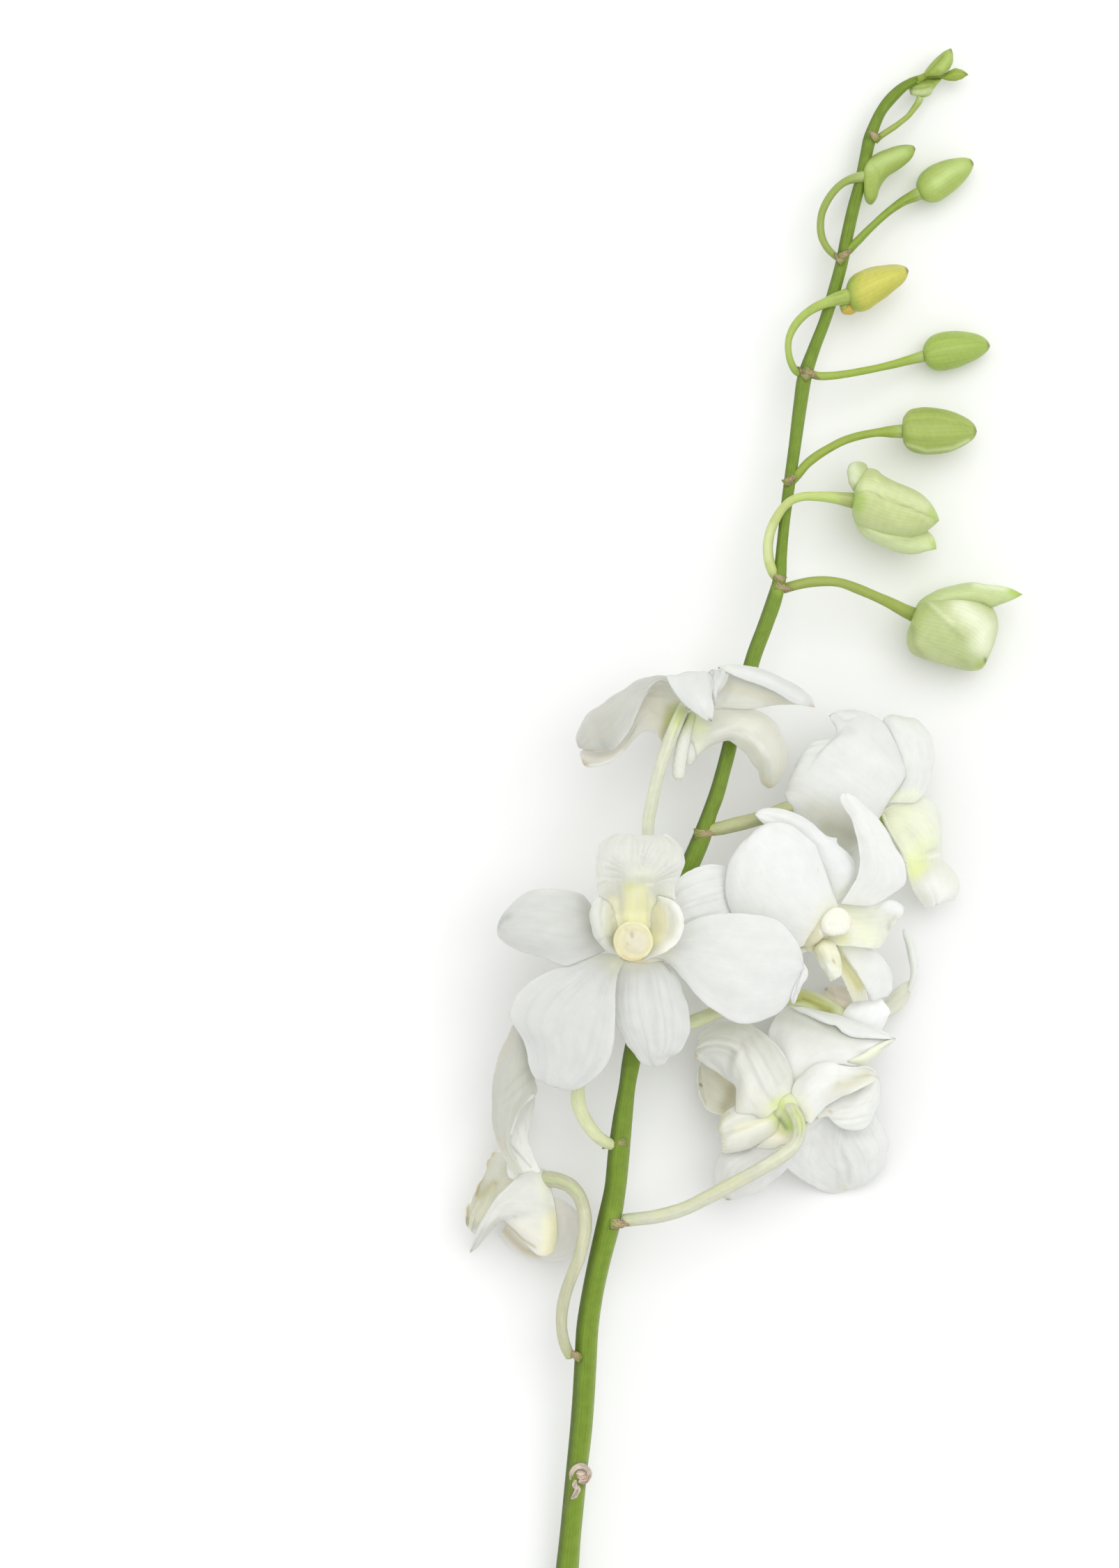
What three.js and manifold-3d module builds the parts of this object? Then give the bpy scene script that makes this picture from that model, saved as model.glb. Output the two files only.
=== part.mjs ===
// A cut dendrobium orchid stem lying on a flat surface.
// Lengths are millimetres, +Z is up, +Y runs along the stem to its tip.
// Every tepal, lip, column, bud and stalk is a smooth surface through a few
// control points. A control point is (x, y, z): x and y are in outline units
// across and down the spray, z is the height above the surface in mm.
import * as THREE from 'three';
import Module from 'manifold-3d';

// ---- driving dimensions -------------------------------------------------
const UNIT = 0.16;            // mm for each outline unit
const CENTRE_X = 803;         // outline point that stands at x = 0, y = 0
const CENTRE_Y = 1125;
const VIEW_HEIGHT = 1500;     // mm: outlines taper towards this height
const TEPAL_THICKNESS = 0.8;  // sepals, petals and lips
const GAP = 0.34;             // clearance where two pieces meet
const TEPAL_STEPS = 7;        // rows along a tepal
const TEPAL_LANES = 5;        // points across a tepal
const LIP_STEPS = 7;
const LIP_LANES = 5;
const STALK_SIDES = 6;
const BUD_STEPS = 6;
const BUD_SIDES = 8;

// ---- control points of every piece ---------------------------------------
// sheet: left and right edge from base to tip, heights at shares of the length;
// rows: explicit cross rows; tube: centre line with radius; blob: edges with height
const PIECES = {
  main_stem: { look: [0x7d9b32, 0.5], prims: [
    { k: 'tube', path: [[783.5,2560,2.75,2.72],[794,2440,5.01,2.66],[805,2340,6.89,2.6],[814,2249,8.6,2.56],[818,2205,9.48,2.4],[823,2155,10.49,2.4],[828,2105,11.49,2.4],[833.5,2055,12.5,2.48],[837.5,2005,13.5,2.48],[840.5,1955,14.59,2.48],[843.5,1905,15.67,2.48],[851,1855,16.76,2.4],[861.5,1805,17.77,2.48],[873.5,1755,18.71,2.64],[883,1705,19.66,2.4],[888,1655,20.6,2.4],[893.5,1605,21.4,2.16],[900.5,1555,22.2,1.84],[904.5,1530,22.6,2],[914,1480,23.22,2.05],[930,1400,24.2,2.08],[953,1330,24.65,2.1],[966,1290,24.9,2.1],[995,1230,24.83,2.08],[1007.5,1200,24.8,2],[1017.5,1170,24.5,1.68],[1028.5,1140,24.2,1.68],[1037,1110,23.9,1.6],[1045,1080,23.6,1.6],[1058,1025,22.66,1.6],[1071,980,21.89,1.65],[1082.5,940,21.2,1.68],[1097.5,900,20.33,1.68],[1111.5,860,19.47,1.68],[1119,830,18.82,1.44],[1121,800,18.14,1.28],[1124.5,760,17.23,1.2],[1132,700,15.86,1.28],[1140.5,640,14.54,1.36],[1148.5,580,13.26,1.52],[1155,540,12.4,1.6],[1168.5,500,11.74,1.36],[1184,460,11.08,1.28],[1196.5,420,10.42,1.36],[1207.5,380,9.76,1.36],[1215.5,340,9.25,1.36],[1224.5,300,8.78,1.36],[1235,260,8.31,1.28],[1243.5,220,7.84,1.36],[1248,200,7.6,1.44],[1255,180,7.46,1.28],[1264.5,160,7.32,1.2],[1280,140,7.18,1.28],[1300.5,122,7.06,1.04],[1317,114,7,0.75]], n: 27, m: 9 },
    { k: 'blob', L: [[1260.95,191.05],[1253.97,188.03],[1246,186]], R: [[1251.05,200.95],[1248.03,193.97],[1246,186]], z: [[0,9,0.9],[0.5,9,0.8],[1,9,0.3]], n: 4, m: 6 },
    { k: 'blob', L: [[1214.98,371.76],[1219.89,364.95],[1224,357]], R: [[1207.02,360.24],[1215.11,358.05],[1224,357]], z: [[0,11,0.9],[0.5,11,0.8],[1,11,0.3]], n: 4, m: 6 },
    { k: 'blob', L: [[1210.71,366.82],[1203.33,363.89],[1195,362]], R: [[1201.29,377.18],[1197.67,370.11],[1195,362]], z: [[0,11.2,0.9],[0.5,11.2,0.8],[1,11.2,0.3]], n: 4, m: 6 },
    { k: 'blob', L: [[1161.16,533.27],[1153.6,529.16],[1145,526]], R: [[1150.84,542.73],[1147.4,534.84],[1145,526]], z: [[0,13.8,0.9],[0.5,13.8,0.8],[1,13.8,0.3]], n: 4, m: 6 },
    { k: 'blob', L: [[1156.29,539.94],[1165.77,542.56],[1176,544]], R: [[1163.71,528.06],[1170.23,535.44],[1176,544]], z: [[0,13.9,0.9],[0.5,13.9,0.8],[1,13.9,0.3]], n: 4, m: 6 },
    { k: 'blob', L: [[1135.88,695.82],[1141.83,688.49],[1147,680]], R: [[1128.12,684.18],[1137.17,681.51],[1147,680]], z: [[0,16.8,0.9],[0.5,16.8,0.8],[1,16.8,0.3]], n: 4, m: 6 },
    { k: 'blob', L: [[1123.44,823.34],[1114.16,821.01],[1104,820]], R: [[1114.56,836.66],[1108.84,828.99],[1104,820]], z: [[0,19.6,0.9],[0.5,19.6,0.8],[1,19.6,0.3]], n: 4, m: 6 },
    { k: 'blob', L: [[1117.86,849.71],[1127.72,849.12],[1138,847]], R: [[1122.14,834.29],[1130.28,839.88],[1138,847]], z: [[0,19.8,0.9],[0.5,19.8,0.8],[1,19.8,0.3]], n: 4, m: 6 },
    { k: 'blob', L: [[1011.19,1204.92],[1025.71,1199.35],[1040,1192]], R: [[1008.81,1187.08],[1024.29,1188.65],[1040,1192]], z: [[0,26,0.9],[0.5,26,0.8],[1,26,0.3]], n: 4, m: 6 },
    { k: 'blob', L: [[885.15,1631.46],[874.29,1638.88],[864,1648]], R: [[890.85,1648.54],[877.71,1649.12],[864,1648]], z: [[0,22.2,0.9],[0.5,22.2,0.8],[1,22.2,0.3]], n: 4, m: 6 },
    { k: 'blob', L: [[885.55,1765.99],[896.73,1762.49],[908,1757]], R: [[886.45,1746.01],[897.27,1750.51],[908,1757]], z: [[0,20.6,0.9],[0.5,20.6,0.8],[1,20.6,0.3]], n: 4, m: 6 },
    { k: 'blob', L: [[832.65,1939.49],[823.79,1937.09],[814,1936]], R: [[823.35,1952.51],[818.21,1944.91],[814,1936]], z: [[0,16.6,0.9],[0.5,16.6,0.8],[1,16.6,0.3]], n: 4, m: 6 },
  ] },
  flower_1_pedicel: { look: [0xd5dca0, 0.5], prims: [
    { path: [[818,1945,15,1.2],[811,1930,16.8,1.28],[806,1905,18,1.3],[807,1877,19,1.35],[812,1855,19.8,1.4],[821,1830,20.6,1.45],[829,1810,21.2,1.5],[836,1785,21.8,1.5],[840,1760,22.2,1.5],[838,1736,22.4,1.55],[831,1715,22.4,1.65],[819,1701,22,1.72],[804,1693,21.4,1.78],[788,1690,20.8,1.8],[774,1690,20,1.8]], k: 'tube' },
  ] },
  flower_1_dorsal_sepal: { look: [0xf4f5f2, 0.6], prims: [
    { L: [[748,1692],[731,1690],[728,1662],[731,1636],[739,1606],[748,1586],[758,1573],[768,1567]], R: [[776,1682],[771,1670],[765,1655],[759,1640],[758,1625],[762,1608],[767,1590],[768,1567]], z: [[0,18.6,18.6,18.6],[0.3,16.6,18,17],[0.65,15,16.6,15.4],[1,14,14,14]], k: 'sheet' },
  ] },
  flower_1_lateral_sepals: { look: [0xf4f5f2, 0.6], prims: [
    { L: [[783,1692],[766,1684],[750,1685],[737,1693],[723,1708],[709,1722],[698,1740],[690,1758],[682,1778],[677,1797]], R: [[792,1798],[775,1790],[755,1778],[738,1763],[723,1751],[712,1757],[701,1766],[693,1778],[686,1789],[677,1797]], z: [[0,19,20,19],[0.25,18.6,21.4,19],[0.5,18,20.4,17.6],[0.75,13.6,15.6,13],[0.92,3.6,4.6,3.6],[1,-1,-1,-1]], k: 'sheet' },
    { L: [[776,1712],[788,1730],[796,1755],[800,1775],[798,1790],[791,1800]], R: [[764,1728],[768,1748],[772,1765],[771,1780],[779,1793],[791,1800]], z: [[0,18,2],[0.4,18.4,3],[0.8,18.6,2.4],[1,18.8,0.5]], k: 'blob' },
    { L: [[792,1716],[806,1722],[828,1738],[838,1755],[840,1775],[835,1790],[820,1803],[797,1810],[765,1806],[745,1797],[730,1786],[717,1772]], R: [[772,1728],[762,1744],[748,1756],[730,1756],[717,1772]], z: [[0,17.2,17.2,17.2],[0.3,14,15,15],[0.65,8,10.6,12],[0.9,4.6,6,7],[1,4,4,4]], k: 'sheet' },
  ] },
  flower_1_petal_1: { look: [0xf4f5f2, 0.6], prims: [
    { L: [[738,1684],[717,1648],[709,1622],[705,1600],[705,1575],[707,1550],[711,1530],[718,1510],[728,1490],[736,1472],[745,1456]], R: [[752,1684],[734,1647],[736,1625],[743,1602],[753,1585],[769,1568],[767,1548],[769,1524],[768,1500],[761,1474],[745,1456]], z: [[0,21,21,21],[0.2,21.4,22,21.8],[0.5,20.6,25.6,25],[0.8,23,27,25.6],[1,25,25,25]], k: 'sheet' },
  ] },
  flower_1_petal_2: { look: [0xf4f5f2, 0.6], prims: [
    { L: [[752,1696],[738,1668],[727,1640],[723,1610],[728,1586],[740,1576]], R: [[768,1694],[764,1665],[758,1640],[757,1615],[752,1592],[740,1576]], z: [[0,13.6,13.6,13.6],[0.4,9,9.6,9],[0.8,2.2,2.6,2.2],[1,0.1,0.1,0.1]], k: 'sheet' },
  ] },
  flower_1_lip: { look: [0xf3f6df, 0.55], prims: [
    { rows: [[[757,1694,16.4],[756,1699,14.8],[755,1704,14],[754,1709,14.8],[753,1714,16.4]],[[734,1670,19.4],[738,1682,15.8],[740,1694,14],[741,1704,14.4],[742,1714,15.4]],[[722,1652,18.6],[724,1668,14.2],[727,1686,12],[731,1702,12.8],[735,1716,14.6]],[[706,1656,17.6],[711,1672,12.6],[715,1692,10.4],[720,1710,11.4],[726,1724,13.6]],[[699,1674,17],[703,1688,12],[707,1704,9.4],[711,1720,10.2],[716,1734,12.4]],[[688,1698,16],[693,1708,11.4],[698,1720,8.8],[702,1732,9.4],[706,1744,11.4]],[[678,1716,14.6],[683,1726,10.6],[688,1736,8.4],[693,1746,8.8],[697,1755,10.6]],[[670,1732,13],[675,1742,9.8],[680,1750,8],[685,1758,8.4],[689,1764,9.8]],[[669,1756,10.6],[672,1761,9],[676,1766,8],[679,1769,8.2],[682,1772,8.8]]], k: 'rows' },
  ] },
  flower_1_column: { look: [0xf0e6c0, 0.5], prims: [
    { L: [[768,1694],[755,1690],[743,1692],[736,1699]], R: [[768,1712],[755,1714],[743,1710],[736,1699]], z: [[0,17.2,1.4],[0.4,17,1.9],[0.8,17,1.8],[1,17,0.5]], k: 'blob' },
  ] },
  flower_2_pedicel: { look: [0xd5dca0, 0.5], prims: [
    { path: [[896,1751,19,1.5],[915,1749,20,1.7],[940,1746,21,1.85],[980,1735,22.2,1.95],[1010,1721,23,2],[1050,1700,24.4,2.05],[1090,1680,26,2.1],[1120,1660,27.4,2.15],[1140,1641,28,2.2],[1149,1619,27.4,2.2],[1146,1600,25.6,2.2],[1137,1588,23.2,2.2],[1130,1586,21.4,2.1]], k: 'tube' },
  ] },
  flower_2_dorsal_sepal: { look: [0xf4f5f2, 0.6], prims: [
    { L: [[1136,1580],[1137,1563],[1145,1548],[1158,1534],[1172,1526],[1188,1523],[1205,1528],[1225,1532],[1243,1531],[1254,1536],[1258,1545]], R: [[1152,1602],[1163,1612],[1174,1598],[1188,1586],[1205,1576],[1225,1567],[1243,1558],[1252,1552],[1258,1545]], z: [[0,22,22,22],[0.25,22,25.4,22.4],[0.5,23,25.4,22.6],[0.72,24,22.6,22.4],[0.9,23.4,21.6,22],[1,22,22,22]], k: 'sheet' },
  ] },
  flower_2_lateral_sepals: { look: [0xf4f5f2, 0.6], prims: [
    { rows: [[[1140,1588,21],[1130,1584,22.4],[1116,1590,23.4],[1104,1600,23.4],[1096,1612,22]],[[1139,1562,20.6],[1122,1560,23.4],[1102,1566,25.4],[1080,1584,25.4],[1060,1602,22.6]],[[1135,1536,19.6],[1116,1536,23],[1094,1542,26.2],[1072,1560,26.2],[1057,1578,22.6]],[[1122,1510,18.4],[1102,1512,22.2],[1082,1520,25.8],[1064,1540,25.2],[1054,1558,20.8]],[[1098,1484,17.4],[1082,1490,21.6],[1064,1502,24.6],[1050,1520,22.8],[1040,1546,18.8]],[[1062,1466,16.8],[1052,1476,20.6],[1040,1492,22.8],[1030,1510,21],[1022,1534,17.4]],[[1026,1469,16.2],[1022,1480,18.8],[1018,1494,20.6],[1012,1508,19],[1008,1525,16.4]],[[1002,1489,15.6],[1001,1496,16.6],[1000,1504,17.6],[998,1511,16.6],[997,1519,15.8]]], k: 'rows' },
    { L: [[1112,1592],[1085,1600],[1062,1602],[1045,1602],[1034,1612],[1030,1625],[1032,1641],[1040,1652]], R: [[1124,1632],[1112,1640],[1095,1641],[1080,1650],[1066,1655],[1052,1656],[1040,1652]], z: [[0,21.6,2],[0.3,22,2.8],[0.6,21.6,3],[0.85,20.4,2.6],[1,20,0.6]], k: 'blob' },
    { L: [[1105,1630],[1070,1642],[1045,1650],[1033,1658],[1028,1670],[1025,1685],[1027,1700],[1036,1716],[1045,1722]], R: [[1130,1648],[1134,1670],[1122,1683],[1111,1692],[1100,1703],[1088,1711],[1075,1716],[1060,1720],[1045,1722]], z: [[0,21,20.4,21],[0.12,18.6,19.6,18.6],[0.35,15.6,18,14.6],[0.7,12.6,15.6,11.6],[1,10,10,10]], k: 'sheet' },
  ] },
  flower_2_petal_1: { look: [0xf4f5f2, 0.6], prims: [
    { rows: [[[1120,1556,17.6],[1127,1560,18.6],[1134,1562,18.8],[1140,1562,18.8],[1146,1558,18.6]],[[1108,1518,15.4],[1118,1520,16.8],[1132,1528,18.4],[1150,1538,19.2],[1164,1540,19.6]],[[1103,1484,13.6],[1116,1488,15],[1138,1500,17.6],[1164,1516,19.6],[1186,1529,20.4]],[[1112,1462,13],[1124,1468,14.2],[1150,1484,17.4],[1180,1504,20],[1208,1527,20.8]],[[1137,1441,14.6],[1144,1452,15.6],[1170,1472,18],[1200,1498,20.2],[1226,1530,20.4]],[[1170,1450,15.4],[1176,1462,16.6],[1196,1476,18.4],[1220,1500,20],[1246,1520,19.4]],[[1206,1460,15.6],[1210,1474,17],[1226,1482,18],[1246,1496,19],[1262,1508,18.4]],[[1250,1474,15.6],[1252,1482,16.6],[1260,1486,17],[1268,1493,17.4],[1276,1499,17.2]],[[1283,1488,15.6],[1283.5,1489,15.7],[1284,1490,15.8],[1284.5,1491,15.9],[1285,1492,15.9]]], k: 'rows' },
  ] },
  flower_2_petal_2: { look: [0xf4f5f2, 0.6], prims: [
    { L: [[1146,1626],[1130,1656],[1127,1672],[1132,1679],[1145,1689],[1162,1699],[1180,1708],[1196,1713],[1207,1709],[1215,1702]], R: [[1166,1600],[1200,1574],[1228,1552],[1246,1532],[1257,1540],[1264,1552],[1265,1566],[1260,1583],[1256,1598],[1264,1612],[1272,1628],[1276,1643],[1271,1656],[1271,1670],[1262,1684],[1250,1694],[1238,1701],[1227,1704],[1215,1702]], z: [[0,18.6,18.6,18.6],[0.3,13.6,17,16],[0.6,5.6,11.6,11],[0.85,0,4.6,5],[1,0.3,0.3,0.3]], k: 'sheet' },
    { L: [[1168,1594],[1188,1586],[1210,1573],[1235,1560],[1250,1546],[1258,1541]], R: [[1174,1606],[1188,1602],[1200,1613],[1215,1621],[1235,1621],[1250,1610],[1257,1595],[1262,1575],[1263,1556],[1258,1541]], z: [[0,19.6,19.6,19.6],[0.4,18.4,19.4,17.6],[0.8,16.4,17.6,15],[1,14.6,14.6,14.6]], k: 'sheet' },
  ] },
  flower_2_lip: { look: [0xf3f6df, 0.55], prims: [
    { L: [[1094,1586],[1068,1562],[1040,1535],[1016,1520],[1005,1527],[1001,1545],[1003,1562]], R: [[1090,1606],[1070,1608],[1048,1602],[1030,1599],[1016,1593],[1007,1580],[1003,1562]], z: [[0,15,15,15],[0.35,12.6,12,14],[0.7,10.6,8,11],[1,9.6,9.6,9.6]], k: 'sheet' },
  ] },
  flower_2_column: { look: [0xf0e6c0, 0.5], prims: [
    { path: [[1122,1600,17,1.9],[1116,1598,14,2.1],[1108,1596,11,2.3],[1102,1595,8.6,2.3],[1100,1594,7.4,1.5],[1099,1594,7,0.6]], k: 'tube' },
  ] },
  flower_3_pedicel: { look: [0xd5dca0, 0.5], prims: [
    { path: [[884,1644,20.9,1.3],[872,1640,22.3,1.35],[858,1631,23.8,1.45],[846,1617,25,1.55],[837,1602,26,1.6],[831,1587,26.8,1.62],[829,1565,27.6,1.62],[833,1535,28.3,1.6],[845,1490,28.8,1.6],[865,1440,29.4,1.65],[888,1400,30.2,1.8],[903,1378,31.6,2.1],[908,1370,33.2,2.2]], k: 'tube' },
  ] },
  flower_3_dorsal_sepal: { look: [0xf4f5f2, 0.6], prims: [
    { L: [[893,1378],[885,1400],[880,1430],[881,1455],[885,1470],[895,1490],[905,1505],[915,1518],[926,1526],[941,1531]], R: [[952,1380],[966,1390],[973,1400],[980,1420],[986,1440],[990,1455],[990,1472],[987,1490],[979,1504],[970,1512],[960,1518],[952,1527],[941,1531]], z: [[0,34.2,34.2,34.2],[0.25,34,36,34.5],[0.5,34.2,36.4,34.2],[0.8,32.8,34.6,32.6],[1,31.5,31.5,31.5]], k: 'sheet' },
  ] },
  flower_3_lateral_sepals: { look: [0xf4f5f2, 0.6], prims: [
    { L: [[908,1322],[876,1310],[850,1300],[835,1284],[820,1279],[800,1276],[785,1276],[765,1278],[750,1284],[735,1297],[722,1312],[715,1328]], R: [[906,1350],[876,1362],[850,1372],[830,1380],[812,1386],[800,1383],[782,1376],[765,1370],[750,1366],[735,1360],[722,1351],[715,1342],[715,1328]], z: [[0,31.4,31.4,31.4],[0.14,33.4,34,33.8],[0.3,35,37.2,35.5],[0.5,34.5,37.6,35],[0.75,31,35.5,32.5],[0.9,28.5,32,29.5],[1,28,28,28]], k: 'sheet' },
    { L: [[912,1312],[940,1296],[962,1278],[977,1258],[990,1249],[1005,1243],[1020,1240],[1035,1241],[1050,1246],[1063,1258],[1070,1274]], R: [[914,1342],[946,1346],[970,1338],[985,1331],[1005,1325],[1030,1319],[1055,1308],[1067,1292],[1070,1274]], z: [[0,31,31,31],[0.15,32.6,33,33],[0.35,33.5,34.5,34.5],[0.6,31.5,33,33],[0.85,29.5,31,31],[1,29,29,29]], k: 'sheet' },
    { L: [[880,1362],[884,1335],[890,1310],[899,1290],[912,1281]], R: [[938,1360],[940,1335],[936,1310],[928,1290],[912,1281]], z: [[0,32.6,1.8],[0.3,32,2.6],[0.6,30.6,2.6],[0.85,29.4,1.9],[1,28.8,0.4]], k: 'blob' },
  ] },
  flower_3_petal_1: { look: [0xf4f5f2, 0.6], prims: [
    { L: [[884,1370],[868,1368],[850,1372],[820,1383],[795,1392],[770,1403],[755,1413],[742,1427],[733,1445],[731,1458],[737,1470],[750,1490],[757,1510],[760,1530],[769,1549],[783,1553],[797,1560]], R: [[896,1379],[886,1400],[883,1440],[883,1475],[880,1500],[875,1520],[865,1535],[850,1550],[832,1561],[815,1565],[797,1560]], z: [[0,35.5,35.5,35.5],[0.25,34.5,37.5,37.5],[0.5,33.5,38,37.5],[0.75,32.5,36.5,36.5],[0.92,32.5,34.5,34.5],[1,33,33,33]], k: 'sheet' },
  ] },
  flower_3_petal_2: { look: [0xf4f5f2, 0.6], prims: [
    { L: [[948,1352],[970,1335],[985,1325],[1000,1318],[1025,1312],[1050,1310],[1075,1311],[1095,1313],[1115,1320],[1130,1333],[1143,1350],[1150,1370],[1153,1392]], R: [[948,1372],[965,1387],[975,1398],[985,1410],[995,1423],[1010,1438],[1025,1450],[1040,1460],[1055,1467],[1070,1469],[1087,1467],[1105,1460],[1118,1453],[1131,1440],[1141,1425],[1149,1408],[1153,1392]], z: [[0,35.8,35.8,35.8],[0.2,38,38.5,37.5],[0.45,39.5,41.2,39],[0.7,39.6,41.6,39],[0.9,39,40,38.2],[1,38,38,38]], k: 'sheet' },
  ] },
  flower_3_lip: { look: [0xf3f6df, 0.55], prims: [
    { rows: [[[884,1342,34.6],[890,1343,34.6],[899,1344,34.6],[909,1345,34.6],[919,1344,34.6],[928,1343,34.6],[935,1342,34.6]],[[883,1361,45.5],[862,1356,42.5],[872,1340,38.6],[909,1334,37],[944,1340,38.6],[958,1354,43],[950,1362,46.5]],[[880,1344,49.5],[853,1334,46],[868,1326,40.8],[910,1320,38.6],[946,1325,40.5],[972,1336,44],[968,1348,48]],[[874,1318,51],[847,1312,47.5],[868,1308,43],[911,1302,40.2],[944,1308,43.5],[972,1314,47],[981,1316,50]],[[866,1294,51.5],[852,1294,50],[874,1288,46],[912,1284,43],[944,1287,46],[966,1291,49.5],[973,1290,51]],[[859,1273,50.5],[868,1271,50.4],[888,1268,48.6],[914,1264,46.8],[942,1267,48.8],[961,1271,50.4],[970,1274,50]],[[856,1248,48.5],[866,1247,50.4],[888,1245,51.3],[916,1242,50.6],[946,1244,51.2],[970,1246,50.4],[981,1248,48.5]],[[858,1222,45.5],[868,1220,48],[890,1219,50],[917,1217,50.6],[946,1218,49.8],[970,1221,48],[981,1224,46]],[[868,1206,43.6],[876,1203,45.6],[893,1202,47.4],[917,1203,48],[943,1202,47],[962,1204,45.6],[973,1209,44.2]],[[880,1199,43],[885,1197,44.3],[897,1197,45.8],[916,1199.5,46.3],[936,1199,45.6],[950,1198,44.6],[960,1200,43.8]]], n: 9, m: 7, k: 'rows' },
  ] },
  flower_3_column: { look: [0xf0e6c0, 0.5], prims: [
    { path: [[909,1374,34.8,2.3,2.3],[909,1368,38,2.9,2.9],[909,1361,42,3.3,3.3],[908,1354,45.5,3.9,3.9],[908,1349,48.3,4.45,4.3],[908,1345,50,3.5,3.5],[908,1343,50.7,1.2,1.2]], ns: 10, k: 'tube' },
  ] },
  flower_4_pedicel: { look: [0xd5dca0, 0.5], prims: [
    { path: [[932,1482,23,1.4],[950,1480,24,1.5],[975,1472,24.2,1.55],[1000,1464,23.8,1.6],[1035,1450,22.8,1.6],[1080,1438,21.2,1.6],[1120,1431,19.8,1.7],[1148,1431,18.8,1.9],[1172,1440,17.8,2.1],[1192,1452,16.8,2.2],[1204,1460,16,2.1]], k: 'tube' },
  ] },
  flower_4_dorsal_sepal: { look: [0xf4f5f2, 0.6], prims: [
    { L: [[1250,1464],[1276,1448],[1296,1428],[1306,1408],[1305,1385],[1302,1362],[1297,1340]], R: [[1258,1474],[1284,1458],[1305,1438],[1315,1418],[1318,1395],[1314,1372],[1308,1354],[1297,1340]], z: [[0,6,6,6],[0.3,5,5,4.6],[0.7,8,8.4,6.6],[1,9,9,9]], k: 'sheet' },
  ] },
  flower_4_lateral_sepals: { look: [0xf4f5f2, 0.6], prims: [
    { L: [[1202,1464],[1189,1450],[1183,1436],[1184,1419]], R: [[1224,1456],[1224,1438],[1213,1416],[1198,1413],[1184,1419]], z: [[0,11.6,12,11.6],[0.5,10.6,12,10.6],[1,10,10,10]], k: 'sheet' },
    { L: [[1200,1470],[1183,1482],[1166,1496],[1156,1514]], R: [[1222,1472],[1214,1494],[1194,1512],[1156,1514]], z: [[0,11,11.4,11],[0.5,7,8,6.6],[1,2.6,2.6,2.6]], k: 'sheet' },
    { L: [[1196,1462],[1194,1476],[1200,1488]], R: [[1226,1460],[1222,1478],[1200,1488]], z: [[0,11.4,1.4],[0.5,10.4,1.8],[1,9.6,0.5]], k: 'blob' },
  ] },
  flower_4_petal_1: { look: [0xf4f5f2, 0.6], prims: [
    { L: [[1205,1466],[1212,1450],[1225,1437],[1238,1429],[1250,1426],[1262,1432],[1272,1442],[1277,1451]], R: [[1208,1480],[1228,1494],[1248,1492],[1262,1482],[1271,1468],[1277,1451]], z: [[0,14.6,14.6,14.6],[0.3,14.4,15.4,13],[0.6,13.8,14.6,12],[1,12,12,12]], k: 'sheet' },
  ] },
  flower_4_petal_2: { look: [0xf4f5f2, 0.6], prims: [
    { L: [[1222,1460],[1250,1452],[1268,1438],[1280,1424],[1294,1412],[1308,1407]], R: [[1230,1476],[1256,1474],[1277,1460],[1292,1449],[1304,1433],[1308,1407]], z: [[0,10.6,10.6,10.6],[0.4,9,9.6,8.4],[0.8,8,8.4,7],[1,7.6,7.6,7.6]], k: 'sheet' },
  ] },
  flower_4_lip: { look: [0xf3f6df, 0.55], prims: [
    { L: [[1222,1466],[1240,1470],[1252,1484],[1250,1502],[1244,1512]], R: [[1216,1474],[1216,1490],[1224,1504],[1234,1512],[1244,1512]], z: [[0,7.6,7.6,7.6],[0.4,4.2,3.2,4.2],[0.8,1.2,0.7,1.2],[1,0.4,0.4,0.4]], k: 'sheet' },
  ] },
  flower_4_column: { look: [0xf0e6c0, 0.5], prims: [
    { path: [[1216,1468,12.8,1.4],[1224,1472,11.4,1.5],[1232,1476,10,1.6],[1237,1478,9,1.2],[1239,1479,8.6,0.5]], k: 'tube' },
  ] },
  flower_5_pedicel: { look: [0xd5dca0, 0.5], prims: [
    { path: [[946,1318,25.5,1.25],[936,1305,28,1.3],[931,1280,30,1.32],[930,1245,31.2,1.33],[930,1205,32.2,1.34],[931,1175,32.9,1.35],[936,1150,33.5,1.35],[941,1125,34.1,1.35],[948,1100,34.7,1.38],[956,1075,35.2,1.5],[966,1053,35.4,1.7],[976,1036,35,1.9],[983,1024,33.8,2]], k: 'tube' },
  ] },
  flower_5_dorsal_sepal: { look: [0xf4f5f2, 0.6], prims: [
    { L: [[978,1014],[966,992],[956,972],[962,985],[975,1003],[988,1018],[1000,1028],[1011,1036],[1021,1035]], R: [[1004,1012],[1030,982],[1044,964],[1046,975],[1040,990],[1031,1003],[1027,1018],[1025,1028],[1021,1035]], z: [[0,34,34,34],[0.22,36.4,37,36.4],[0.36,39.8,41,40],[0.46,40.2,41.8,40],[0.7,40.6,42,40.6],[1,41,41,41]], M: [[991,1013],[996,988],[999,964],[1001,976],[1006,994],[1012,1012],[1017,1026],[1021,1035]], k: 'sheet' },
  ] },
  flower_5_lateral_sepals: { look: [0xf4f5f2, 0.6], prims: [
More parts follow.
